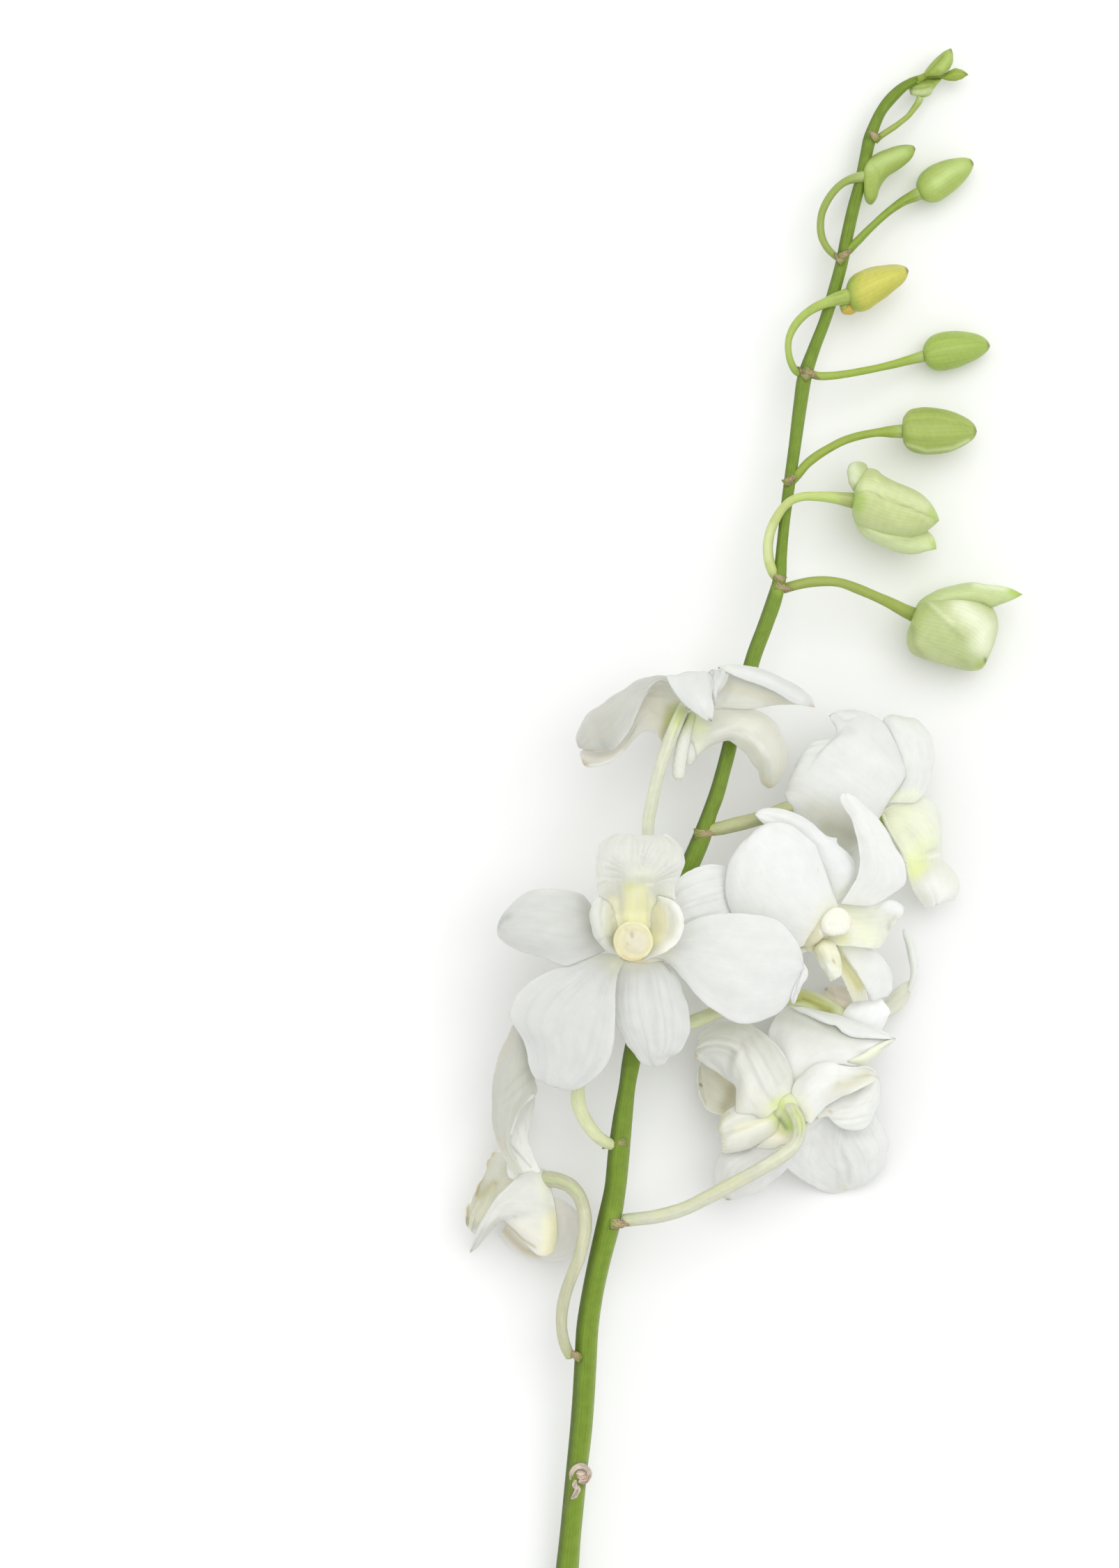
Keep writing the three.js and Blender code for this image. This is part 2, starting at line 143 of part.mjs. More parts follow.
    { L: [[992,1030],[965,1004],[942,997],[922,1012],[910,1030],[898,1050],[880,1066],[862,1072],[846,1080],[840,1094]], R: [[988,1078],[970,1082],[953,1070],[946,1058],[934,1051],[918,1054],[905,1064],[893,1078],[880,1090],[865,1098],[852,1101],[840,1094]], z: [[0,32.2,32,32.4],[0.12,31,30.6,31],[0.4,31.5,30,28.5],[0.7,30,30,27],[1,27,27,27]], k: 'sheet' },
    { L: [[990,1022],[1020,1017],[1050,1016],[1080,1018],[1100,1026],[1115,1040],[1125,1060],[1129,1080],[1128,1100],[1120,1117],[1111,1128],[1103,1131]], R: [[985,1085],[998,1086],[1010,1077],[1030,1065],[1045,1062],[1053,1066],[1065,1077],[1078,1090],[1088,1108],[1095,1125],[1103,1131]], z: [[0,31,33,32],[0.3,31,35.5,33],[0.55,30,34,31],[0.8,27,31,28],[1,26,26,26]], k: 'sheet' },
    { L: [[976,1042],[966,1070],[963,1095],[964,1110],[968,1119],[973,1121]], R: [[996,1050],[986,1080],[983,1098],[981,1110],[978,1118],[973,1121]], z: [[0,33,2],[0.4,34,1.8],[0.8,34,1.6],[1,34,0.5]], k: 'blob' },
    { L: [[985,1050],[980,1075],[979,1092],[984,1100]], R: [[1006,1060],[1001,1078],[995,1093],[984,1100]], z: [[0,31.5,2],[0.5,32,1.6],[1,32,0.5]], k: 'blob' },
  ] },
  flower_5_petal_1: { look: [0xf4f5f2, 0.6], prims: [
    { L: [[978,986],[962,972],[948,969],[935,971],[920,975],[900,986],[880,998],[860,1012],[845,1025],[833,1042],[828,1058],[832,1073]], R: [[970,1000],[948,978],[938,984],[930,994],[921,1010],[914,1025],[906,1044],[893,1063],[880,1076],[862,1079],[845,1079],[832,1073]], z: [[0,33.5,33.5,33.5],[0.25,34,36.5,37],[0.5,33,37,38.5],[0.8,31,35,36],[1,31,31,31]], k: 'sheet' },
  ] },
  flower_5_petal_2: { look: [0xf4f5f2, 0.6], prims: [
    { L: [[1000,1000],[1022,968],[1036,955],[1060,954],[1090,959],[1120,971],[1145,985],[1158,995],[1166,1005],[1169,1014]], R: [[1008,1014],[1030,1016],[1050,1016],[1075,1014],[1100,1012],[1120,1011],[1140,1011],[1155,1012],[1169,1014]], z: [[0,34,34,34],[0.25,34,37,33],[0.5,33,36.5,32],[0.8,31,33.5,30.5],[1,30,30,30]], M: [[1004,1006],[1030,973],[1052,968],[1078,979],[1100,988],[1122,998],[1142,1008],[1156,1011],[1169,1014]], k: 'sheet' },
  ] },
  flower_5_lip: { look: [0xf3f6df, 0.55], prims: [
    { rows: [[[975,1028,28],[980,1029,27.6],[985,1030,27.4],[990,1029,27.6],[995,1028,28]],[[958,1010,24],[970,1020,21],[985,1025,20],[1000,1020,21],[1012,1010,24]],[[950,995,18],[966,1010,14],[985,1018,12.5],[1004,1010,14],[1018,995,18]],[[948,985,10],[964,1000,8],[985,1008,7],[1006,1000,8],[1020,985,10]],[[952,982,2.6],[966,990,3],[985,994,3.2],[1004,990,3],[1016,982,2.6]],[[966,978,0.2],[974,978,0.4],[985,978,0.5],[996,978,0.4],[1004,978,0.2]]], k: 'rows' },
  ] },
  flower_5_column: { look: [0xf0e6c0, 0.5], prims: [
    { path: [[985,1008,31,2],[985,1004,27,2.2],[984,1000,23,2.4],[984,996,19.5,2.6],[984,994,18,2.1],[984,993,17.2,0.8]], k: 'tube' },
  ] },
  flower_6_pedicel: { look: [0xd5dca0, 0.5], prims: [
    { path: [[996,1228,25,1.3],[1010,1240,25.6,1.35],[1035,1268,26.2,1.4],[1065,1298,26.6,1.45],[1100,1322,27,1.5],[1130,1336,27.4,1.65],[1152,1342,28,1.8],[1170,1342,29,1.9]], k: 'tube' },
  ] },
  flower_6_dorsal_sepal: { look: [0xf4f5f2, 0.6], prims: [
    { L: [[1190,1296],[1172,1272],[1152,1242],[1127,1215],[1107,1192],[1095,1179],[1088,1174],[1084,1168]], R: [[1207,1290],[1216,1277],[1223,1265],[1226,1250],[1225,1238],[1220,1225],[1210,1215],[1200,1208],[1188,1203],[1178,1194],[1170,1184],[1160,1175],[1147,1168],[1132,1163],[1118,1160],[1105,1159],[1093,1161],[1084,1168]], z: [[0,29,29,29],[0.3,28.6,30,30],[0.6,29.5,30.6,29.5],[0.85,31,31.5,29.5],[1,31,31,31]], k: 'sheet' },
  ] },
  flower_6_lateral_sepals: { look: [0xf4f5f2, 0.6], prims: [
    { rows: [[[1186,1358,25.6],[1196,1354,26],[1212,1352,25.5],[1230,1352,24]],[[1188,1374,22.6],[1208,1366,25],[1232,1361,23.6],[1252,1362,21.5]],[[1198,1392,19.8],[1221,1383,23.4],[1248,1368,22],[1268,1376,19]],[[1210,1408,17.6],[1234,1402,21.6],[1260,1390,20],[1279,1396,16.6]],[[1224,1422,16],[1245,1421,19.4],[1266,1412,17.6],[1281,1413,15]],[[1242,1432,15.2],[1252,1436,16.6],[1264,1432,15.6],[1275,1430,14.4]]], k: 'rows' },
    { L: [[1166,1348],[1135,1352],[1105,1372],[1085,1398],[1074,1425]], R: [[1178,1362],[1152,1368],[1141,1386],[1126,1406],[1102,1423],[1074,1425]], z: [[0,27.6,27.6,27.6],[0.35,26.5,27.4,26],[0.7,25,26,24.5],[1,24,24,24]], k: 'sheet' },
    { L: [[1156,1338],[1166,1330],[1180,1330],[1192,1338],[1199,1352]], R: [[1152,1357],[1162,1366],[1176,1368],[1190,1364],[1199,1352]], z: [[0,27.6,0.8],[0.4,27,2],[0.8,26.2,1.8],[1,26,0.5]], k: 'blob' },
  ] },
  flower_6_petal_1: { look: [0xf4f5f2, 0.6], prims: [
    { L: [[1203,1300],[1199,1290],[1192,1270],[1185,1250],[1178,1230],[1170,1212],[1155,1198],[1142,1187],[1130,1181.5],[1115,1180],[1102,1181],[1088,1189],[1078,1200]], R: [[1172,1345],[1155,1357],[1130,1362],[1095,1354],[1065,1334],[1049,1310],[1043,1290],[1041,1270],[1043,1250],[1047,1235],[1055,1222],[1066,1211],[1078,1200]], z: [[0,30.5,30.5,30.5],[0.2,32,33.2,31],[0.45,33.2,35.2,32.4],[0.7,33.2,36,33.5],[0.9,33,35,33.6],[1,33,33,33]], k: 'sheet' },
  ] },
  flower_6_petal_2: { look: [0xf4f5f2, 0.6], prims: [
    { L: [[1206,1297],[1222,1273],[1230,1258],[1234,1240],[1233,1220],[1228,1195],[1222,1175],[1213,1160],[1206,1149],[1207,1141],[1214,1138]], R: [[1245,1300],[1260,1296],[1272,1288],[1282,1282],[1292,1276],[1300,1267],[1301,1255],[1297,1238],[1285,1215],[1270,1190],[1255,1170],[1240,1154],[1228,1144],[1214,1138]], z: [[0,30.5,30.5,30.5],[0.2,32.5,33,31],[0.45,35.5,36,32.5],[0.7,37,37.5,34],[0.9,36.5,37.5,35.5],[1,36.5,36.5,36.5]], k: 'sheet' },
  ] },
  flower_6_lip: { look: [0xf3f6df, 0.55], prims: [
    { rows: [[[1198,1306,28],[1196,1316,27],[1193,1328,26.6],[1190,1340,26.8],[1186,1352,28]],[[1212,1300,30],[1216,1312,27],[1216,1326,25.8],[1210,1342,26.4],[1202,1357,28.6]],[[1236,1297,30.5],[1240,1310,27.5],[1238,1326,26],[1232,1344,27],[1224,1359,28.8]],[[1262,1294,29.5],[1263,1308,27.6],[1260,1325,26.5],[1252,1344,27],[1244,1360,28]],[[1284,1297,27.5],[1281,1307,26.5],[1275,1322,25.5],[1266,1342,25.5],[1258,1361,26.5]],[[1298,1305,25],[1293,1314,24.8],[1283,1326,24.3],[1274,1342,24.2],[1264,1357,24.8]]], k: 'rows' },
    { rows: [[[1196,1344,27.5],[1190,1347,28.2],[1184,1350,28.6]],[[1202,1358,28.6],[1190,1358,29.8],[1172,1356,29.4]],[[1206,1372,29],[1192,1372,30.4],[1174,1366,29.6]],[[1208,1386,28.6],[1196,1386,30.2],[1184,1382,29.4]],[[1212,1398,27.6],[1202,1398,29],[1190,1396,28.4]],[[1216,1408,26.5],[1210,1408,27.2],[1202,1407,27]]], k: 'rows' },
  ] },
  flower_6_column: { look: [0xf0e6c0, 0.5], prims: [
    { L: [[1162,1350],[1164,1330],[1172,1316],[1186,1306],[1200,1303],[1213,1307],[1221,1317],[1223,1327]], R: [[1162,1350],[1170,1352],[1184,1347],[1196,1346],[1206,1343],[1214,1339],[1220,1334],[1223,1327]], z: [[0,31,1.5],[0.25,31.6,2.4],[0.5,32.6,2.8],[0.8,33.2,2.8],[0.93,33.3,2],[1,33.3,0.6]], k: 'blob' },
  ] },
  flower_7_pedicel: { look: [0xd5dca0, 0.5], prims: [
    { path: [[1018,1191,25,1.3],[1032,1189,25.3,1.5],[1052,1184,25.3,1.55],[1080,1177,24.8,1.55],[1104,1170,24.2,1.55],[1130,1160,23.2,1.55],[1165,1158,21.8,1.6],[1205,1162,21,1.75],[1238,1168,21.2,1.9],[1256,1168,22,2]], k: 'tube' },
  ] },
  flower_7_dorsal_sepal: { look: [0xf4f5f2, 0.6], prims: [
    { L: [[1262,1156],[1258,1120],[1246,1095],[1232,1075],[1216,1057],[1206,1050],[1199,1041],[1192,1033],[1189,1027]], R: [[1276,1152],[1288,1136],[1299,1118],[1299,1105],[1292,1088],[1283,1068],[1274,1050],[1266,1038],[1252,1029],[1235,1022],[1215,1018],[1200,1020],[1189,1027]], z: [[0,23,23,23],[0.25,24,25,24],[0.55,24,25.6,23.6],[0.85,21,23,20.5],[1,19,19,19]], k: 'sheet' },
  ] },
  flower_7_lateral_sepals: { look: [0xf4f5f2, 0.6], prims: [
    { L: [[1250,1162],[1218,1176],[1192,1198],[1181,1228],[1186,1260],[1199,1280]], R: [[1266,1182],[1258,1210],[1246,1240],[1230,1264],[1214,1277],[1199,1280]], z: [[0,19.6,19.6,19.6],[0.3,19,20,18.5],[0.65,17.5,19,17],[1,16,16,16]], k: 'sheet' },
    { L: [[1268,1172],[1290,1178],[1312,1192],[1328,1210],[1334,1230]], R: [[1262,1188],[1275,1208],[1295,1226],[1315,1234],[1334,1230]], z: [[0,17,17,17],[0.4,12,11,13],[0.75,4,4.5,6],[1,-0.4,-0.4,-0.4]], k: 'sheet' },
    { L: [[1246,1160],[1240,1175],[1236,1190],[1234,1204]], R: [[1276,1176],[1266,1192],[1252,1204],[1234,1204]], z: [[0,18.6,1.2],[0.3,17,2.2],[0.7,14.6,2],[1,13,0.6]], k: 'blob' },
  ] },
  flower_7_petal_1: { look: [0xf4f5f2, 0.6], prims: [
    { L: [[1266,1158],[1280,1138],[1284,1115],[1274,1088],[1250,1067],[1232,1059],[1215,1056],[1200,1056],[1185,1057],[1170,1063],[1156,1070],[1148,1084],[1140,1100]], R: [[1254,1174],[1236,1190],[1205,1200],[1175,1192],[1150,1180],[1133,1162],[1126,1145],[1127,1130],[1131,1117],[1140,1100]], z: [[0,24,24,24],[0.2,26.5,27,24.8],[0.45,28,29.5,26],[0.7,26.5,29.5,26],[0.9,24,27,24],[1,23.5,23.5,23.5]], k: 'sheet' },
  ] },
  flower_7_petal_2: { look: [0xf4f5f2, 0.6], prims: [
    { L: [[1272,1152],[1281,1130],[1288,1112],[1284,1092],[1276,1070],[1268,1050],[1266,1038],[1270,1030],[1279,1026]], R: [[1312,1152],[1324,1142],[1332,1126],[1338,1106],[1340,1085],[1337,1062],[1329,1046],[1317,1034],[1300,1029],[1279,1026]], z: [[0,21.5,21.5,21.5],[0.3,20.5,22.5,20],[0.6,19.5,21.5,18],[0.9,17,18.5,16],[1,16,16,16]], k: 'sheet' },
  ] },
  flower_7_lip: { look: [0xf3f6df, 0.55], prims: [
    { rows: [[[1266,1164,20],[1266,1167,19],[1267,1171,18.5],[1268,1175,19],[1268,1179,20]],[[1284,1150,22],[1288,1162,18.5],[1286,1176,16.5],[1280,1186,18],[1274,1192,21.5]],[[1308,1143,21.5],[1312,1160,17.5],[1306,1180,15],[1294,1196,17],[1284,1210,21.5]],[[1334,1149,19.5],[1334,1170,16.5],[1324,1192,13.6],[1306,1208,15.5],[1293,1226,20.5]],[[1351,1176,17.5],[1346,1192,15.5],[1334,1208,12.6],[1316,1222,14.5],[1300,1241,18.5]],[[1349,1210,16],[1344,1218,15.2],[1334,1228,13.2],[1318,1238,13.8],[1303,1252,16]],[[1356,1236,13],[1348,1240,14],[1336,1246,13.8],[1320,1254,13.4],[1306,1264,13]],[[1374,1262,10],[1362,1264,11.8],[1345,1268,12.2],[1328,1272,11.4],[1312,1280,10]],[[1374,1284,8.6],[1362,1287,9.6],[1348,1288,10],[1335,1290,9.6],[1321,1294,8.6]],[[1364,1291,8],[1356,1293,8.6],[1347,1294,8.8],[1340,1302,8.4],[1331,1306,7.8]]], k: 'rows' },
  ] },
  flower_7_column: { look: [0xf0e6c0, 0.5], prims: [
    { L: [[1258,1162],[1266,1154],[1278,1150],[1290,1153],[1300,1160],[1305,1170]], R: [[1262,1178],[1268,1184],[1280,1188],[1292,1186],[1301,1179],[1305,1170]], z: [[0,22,1.6],[0.3,22.4,2.3],[0.7,23,2.5],[0.92,23,1.8],[1,23,0.5]], k: 'blob' },
  ] },
  bud_01: { look: [0xa9c868, 0.5], prims: [
    { path: [[1124,845,18,1.05],[1140,838,18.4,1.1],[1160,833,18.2,1.12],[1180,832,17.8,1.15],[1205,835,16.9,1.2],[1230,844,15.6,1.3],[1255,855,14.2,1.4],[1280,868,12.6,1.55],[1300,878,11.4,1.7],[1316,884,10.4,1.8]], k: 'tube' },
    { L: [[1310,884],[1315,870],[1325,860],[1340,853],[1355,848],[1375,839],[1395,836],[1412,838],[1430,840],[1450,845],[1467,853]], R: [[1310,886],[1303,905],[1302,922],[1305,936],[1316,946],[1330,950],[1350,952],[1370,958],[1388,963],[1404,963],[1415,953],[1424,932],[1432,915],[1430,890],[1426,874],[1437,868],[1450,863],[1467,853]], z: [[0,9.9,2.4],[0.12,9.7,6],[0.3,9.5,9],[0.5,9.5,9.2],[0.68,9.9,7.6],[0.82,10.6,3.6],[0.9,11,1.2],[1,11,0.4]], k: 'blob' },
  ] },
  bud_02: { look: [0xa9c868, 0.5], prims: [
    { path: [[1119,832,17.8,1.05],[1110,822,18.8,1.1],[1104,805,18.6,1.12],[1102,785,18.4,1.15],[1106,762,18.4,1.2],[1113,744,18.6,1.25],[1123,727,19,1.3],[1136,716,19.2,1.35],[1152,711,19,1.45],[1172,710,18.2,1.55],[1196,712,17,1.65],[1224,717,15.4,1.75]], k: 'tube' },
    { L: [[1224,712],[1220,696],[1216,681],[1217,670],[1223,664],[1232,663],[1242,668],[1257,673],[1268,682],[1282,690],[1300,697],[1315,704],[1330,715],[1340,728],[1346,740],[1345,752],[1344,770],[1344,788]], R: [[1222,728],[1224,745],[1230,757],[1240,770],[1252,777],[1266,784],[1285,792],[1300,795],[1315,795],[1330,791],[1344,788]], z: [[0,13.6,2.2],[0.15,13,6],[0.35,12.6,8.8],[0.6,12.4,9],[0.8,12.6,7],[0.93,13,3],[1,13,0.5]], k: 'blob' },
  ] },
  bud_03: { look: [0xa9c868, 0.5], prims: [
    { path: [[1136,690,15,0.9],[1145,678,15.8,0.95],[1156,664,16,1],[1172,650,15.8,1.05],[1190,640,15.2,1.1],[1210,631,14.4,1.2],[1235,623,13.2,1.3],[1262,619,12,1.45],[1280,618,11.2,1.55],[1300,618,10.4,1.6]], k: 'tube' },
    { L: [[1295,612],[1296,600],[1303,591],[1318,586],[1338,585],[1358,589],[1376,596],[1392,607],[1402,619]], R: [[1295,624],[1296,636],[1303,645],[1318,650],[1338,651],[1358,647],[1376,641],[1392,632],[1402,619]], z: [[0,9.2,2.4],[0.12,9,4.6],[0.35,8.8,5.4],[0.65,8.8,5],[0.88,8.8,2.6],[1,8.8,0.4]], k: 'blob' },
  ] },
  bud_04: { look: [0xa9c868, 0.5], prims: [
    { path: [[1160,534,12.2,0.9],[1172,538,12.6,0.92],[1190,538,12.2,0.95],[1215,535,11.2,1],[1245,529,9.6,1.05],[1275,522,8,1.1],[1302,515,6.6,1.2],[1328,509,5.4,1.3]], k: 'tube' },
    { L: [[1324,508],[1326,496],[1334,484],[1346,478],[1370,475],[1393,478],[1410,484],[1421,495]], R: [[1326,514],[1332,527],[1345,532],[1360,531],[1376,526],[1395,517],[1411,507],[1421,495]], z: [[0,4.8,1.8],[0.15,4.6,3.8],[0.4,4.6,4.6],[0.7,4.6,4],[0.9,4.6,2],[1,4.6,0.4]], k: 'blob' },
  ] },
  bud_05: { look: [0xa9c868, 0.5], prims: [
    { path: [[1152,538,12.2,0.85],[1142,532,13,0.88],[1134,520,13.2,0.9],[1130,503,13,0.92],[1131,485,12.8,0.95],[1138,470,12.8,1],[1149,455,13,1.05],[1164,443,13.2,1.1],[1180,436,13.2,1.2],[1196,430,12.8,1.35],[1208,427,12.2,1.5],[1220,424,11.4,1.6]], k: 'tube' },
    { L: [[1215,414],[1218,402],[1226,393],[1240,386],[1260,381],[1280,379],[1295,380],[1304,388]], R: [[1205,436],[1210,448],[1225,449],[1240,448],[1256,440],[1271,430],[1286,419],[1297,407],[1304,388]], z: [[0,10.4,2],[0.15,10,3.8],[0.4,9.8,4.6],[0.7,9.8,3.8],[0.9,9.8,1.8],[1,9.8,0.4]], k: 'blob' },
  ] },
  bud_06: { look: [0xa9c868, 0.5], prims: [
    { path: [[1209,368,9.4,0.8],[1218,358,9.8,0.82],[1230,346,9.8,0.85],[1248,327,9.2,0.9],[1266,308,8.4,0.95],[1282,296,7.8,1.05],[1298,286,7.2,1.2],[1312,279,6.6,1.35],[1324,274,6.2,1.5]], k: 'tube' },
    { L: [[1317,276],[1315,262],[1320,250],[1335,240],[1350,232],[1370,227],[1388,226],[1398,232]], R: [[1324,286],[1334,291],[1345,289],[1356,282],[1370,272],[1383,260],[1393,248],[1398,232]], z: [[0,5.6,1.9],[0.15,5.4,3.6],[0.4,5.2,4.2],[0.7,5.2,3.5],[0.9,5.2,1.7],[1,5.2,0.4]], k: 'blob' },
  ] },
  bud_07: { look: [0xa9c868, 0.5], prims: [
    { path: [[1206,372,9.4,0.8],[1195,366,10.2,0.82],[1184,356,10.4,0.85],[1176,342,10.2,0.88],[1173,322,10,0.9],[1176,303,10,0.95],[1184,287,10.1,1],[1196,271,10.3,1.05],[1210,260,10.4,1.15],[1225,254,10,1.25],[1240,252,9.4,1.35]], k: 'tube' },
    { L: [[1238,246],[1246,230],[1258,220],[1275,213],[1290,208],[1305,207],[1314,211]], R: [[1240,262],[1240,278],[1243,290],[1250,294],[1258,285],[1262,272],[1267,262],[1275,253],[1290,243],[1303,233],[1314,211]], z: [[0,8.6,1.6],[0.2,8.2,3.4],[0.45,8,4],[0.7,8,3.4],[0.9,8,1.6],[1,8,0.4]], k: 'blob' },
  ] },
  bud_08: { look: [0xa9c868, 0.5], prims: [
    { path: [[1256,203,7.6,0.6],[1263,194,8,0.6],[1276,187,7.8,0.62],[1290,178,7.4,0.7],[1303,166,7,0.8],[1314,153,6.6,0.9],[1321,142,6.3,1]], k: 'tube' },
    { L: [[1307,141],[1302,132],[1305,121],[1320,117],[1340,116],[1352,115]], R: [[1326,142],[1334,138],[1338,130],[1345,122],[1352,115]], z: [[0,5.6,1],[0.3,5.2,1.9],[0.7,5,1.6],[1,5,0.4]], k: 'blob' },
  ] },
  bud_09: { look: [0xa9c868, 0.5], prims: [
    { path: [[1314,117,6,0.6],[1330,112,5.2,0.6],[1345,109,4.8,0.65],[1356,109,4.8,0.75]], k: 'tube' },
    { L: [[1352,108],[1361,102],[1372,98],[1382,101],[1390,107]], R: [[1352,113],[1362,116],[1372,116],[1381,113],[1390,107]], z: [[0,4.8,0.8],[0.4,4.8,1.4],[0.8,4.8,1],[1,4.8,0.3]], k: 'blob' },
  ] },
  bud_10: { look: [0xa9c868, 0.5], prims: [
    { path: [[1312,119,7.2,0.7],[1320,112,7.4,0.75],[1326,107,7.4,0.8]], k: 'tube' },
    { L: [[1323,112],[1326,100],[1335,88],[1345,77],[1357,71],[1368,69]], R: [[1340,112],[1356,108],[1364,100],[1367,90],[1368,80],[1368,69]], z: [[0,7.2,1.4],[0.3,7,2.5],[0.7,6.8,2.1],[1,6.6,0.35]], k: 'blob' },
  ] },
};

// ---- smooth interpolation -----------------------------------------------
const sub = (a, b) => a.map((v, i) => v - b[i]);
const add = (a, b) => a.map((v, i) => v + b[i]);
const mul = (a, s) => a.map((v) => v * s);
const dot = (a, b) => a[0] * b[0] + a[1] * b[1] + a[2] * b[2];
const cross = (a, b) => [a[1] * b[2] - a[2] * b[1], a[2] * b[0] - a[0] * b[2], a[0] * b[1] - a[1] * b[0]];
const norm = (a) => { const l = Math.hypot(...a) || 1; return a.map((v) => v / l); };
const range = (n, a = 0, b = 1) => Array.from({ length: n }, (_, i) => a + (b - a) * i / (n - 1));

function slopes(T, V) {
  const n = T.length, s = [];
  for (let i = 0; i < n - 1; i++) s.push(mul(sub(V[i + 1], V[i]), 1 / (T[i + 1] - T[i])));
  if (n === 2) return [s[0], s[0]];
  const m = new Array(n);
  for (let i = 1; i < n - 1; i++) {
    const h0 = T[i] - T[i - 1], h1 = T[i + 1] - T[i];
    m[i] = mul(add(mul(s[i - 1], h1), mul(s[i], h0)), 1 / (h0 + h1));
  }
  m[0] = sub(mul(s[0], 1.5), mul(m[1], 0.5));
  m[n - 1] = sub(mul(s[n - 2], 1.5), mul(m[n - 2], 0.5));
  return m;
}
function smooth(T, V) {
  const m = slopes(T, V);
  return (q) => {
    let i = 0;
    while (i < T.length - 2 && q >= T[i + 1]) i++;
    const h = T[i + 1] - T[i], s = (q - T[i]) / h;
    const a = (1 + 2 * s) * (1 - s) ** 2, b = s * (1 - s) ** 2 * h, c = s * s * (3 - 2 * s), d = s * s * (s - 1) * h;
    return V[i].map((v, k) => a * v + b * m[i][k] + c * V[i + 1][k] + d * m[i + 1][k]);
  };
}
function knots(steps, power) {
  const t = [0];
  for (const d of steps) t.push(t[t.length - 1] + Math.max(d, 1e-3) ** power);
  return t.map((v) => v / t[t.length - 1]);
}
const gaps = (P) => P.slice(1).map((p, i) => Math.hypot(...sub(p, P[i])));

// points of a plane curve at equal shares of its length
function along(points) {
  const P = points.map((p) => p.slice(0, 2)), f = smooth(knots(gaps(P), 0.6), P);
  const Q = range(P.length * 12 + 1).map(f), s = [0];
  for (let i = 1; i < Q.length; i++) s.push(s[i - 1] + Math.hypot(...sub(Q[i], Q[i - 1])));
  const L = s[s.length - 1];
  return (v) => {
    const d = v * L; let i = 0;
    while (i < s.length - 2 && d > s[i + 1]) i++;
    const w = (d - s[i]) / (s[i + 1] - s[i] || 1);
    return add(Q[i], mul(sub(Q[i + 1], Q[i]), w));
  };
}
const place = ([x, y, z]) => {
  const f = UNIT * (VIEW_HEIGHT - z) / VIEW_HEIGHT;
  return [(x - CENTRE_X) * f, (CENTRE_Y - y) * f, z];
};

// ---- closed meshes --------------------------------------------------------
// a sheet with thickness over a grid of points, widened by `grow` all round
function slab(grid, thick, grow) {
  const n = grid.length, m = grid[0].length;
  let G = grid.map((r) => r.map((p) => p.slice()));
  if (grow > 0) {
    for (const r of G) {
      const a = norm(sub(r[0], r[1])), b = norm(sub(r[m - 1], r[m - 2]));
      r[0] = add(r[0], mul(a, grow)); r[m - 1] = add(r[m - 1], mul(b, grow));
    }
    for (let j = 0; j < m; j++) {
      G[0][j] = add(G[0][j], mul(norm(sub(G[0][j], G[1][j])), grow));
      G[n - 1][j] = add(G[n - 1][j], mul(norm(sub(G[n - 1][j], G[n - 2][j])), grow));
    }
  }
  const pos = [], h = thick / 2 + grow;
  const N = G.map((r, i) => r.map((p, j) => {
    const u = sub(r[Math.min(j + 1, m - 1)], r[Math.max(j - 1, 0)]);
    const v = sub(G[Math.min(i + 1, n - 1)][j], G[Math.max(i - 1, 0)][j]);
    return norm(cross(v, u));
  }));
  for (const s of [1, -1]) for (let i = 0; i < n; i++) for (let j = 0; j < m; j++) pos.push(add(G[i][j], mul(N[i][j], s * h)));
  const id = (s, i, j) => s * n * m + i * m + j, tri = [];
  for (let i = 0; i < n - 1; i++) for (let j = 0; j < m - 1; j++) {
    tri.push([id(0, i, j), id(0, i + 1, j), id(0, i + 1, j + 1)], [id(0, i, j), id(0, i + 1, j + 1), id(0, i, j + 1)]);
    tri.push([id(1, i, j), id(1, i + 1, j + 1), id(1, i + 1, j)], [id(1, i, j), id(1, i, j + 1), id(1, i + 1, j + 1)]);
  }
  const rim = [];
  for (let j = 0; j < m - 1; j++) rim.push([[0, j], [0, j + 1]]);
  for (let i = 0; i < n - 1; i++) rim.push([[i, m - 1], [i + 1, m - 1]]);
  for (let j = m - 1; j > 0; j--) rim.push([[n - 1, j], [n - 1, j - 1]]);
  for (let i = n - 1; i > 0; i--) rim.push([[i, 0], [i - 1, 0]]);
  for (const [[a, b], [c, d]] of rim) {
    tri.push([id(0, a, b), id(0, c, d), id(1, c, d)], [id(0, a, b), id(1, c, d), id(1, a, b)]);
  }
  return outward({ pos, tri });
}
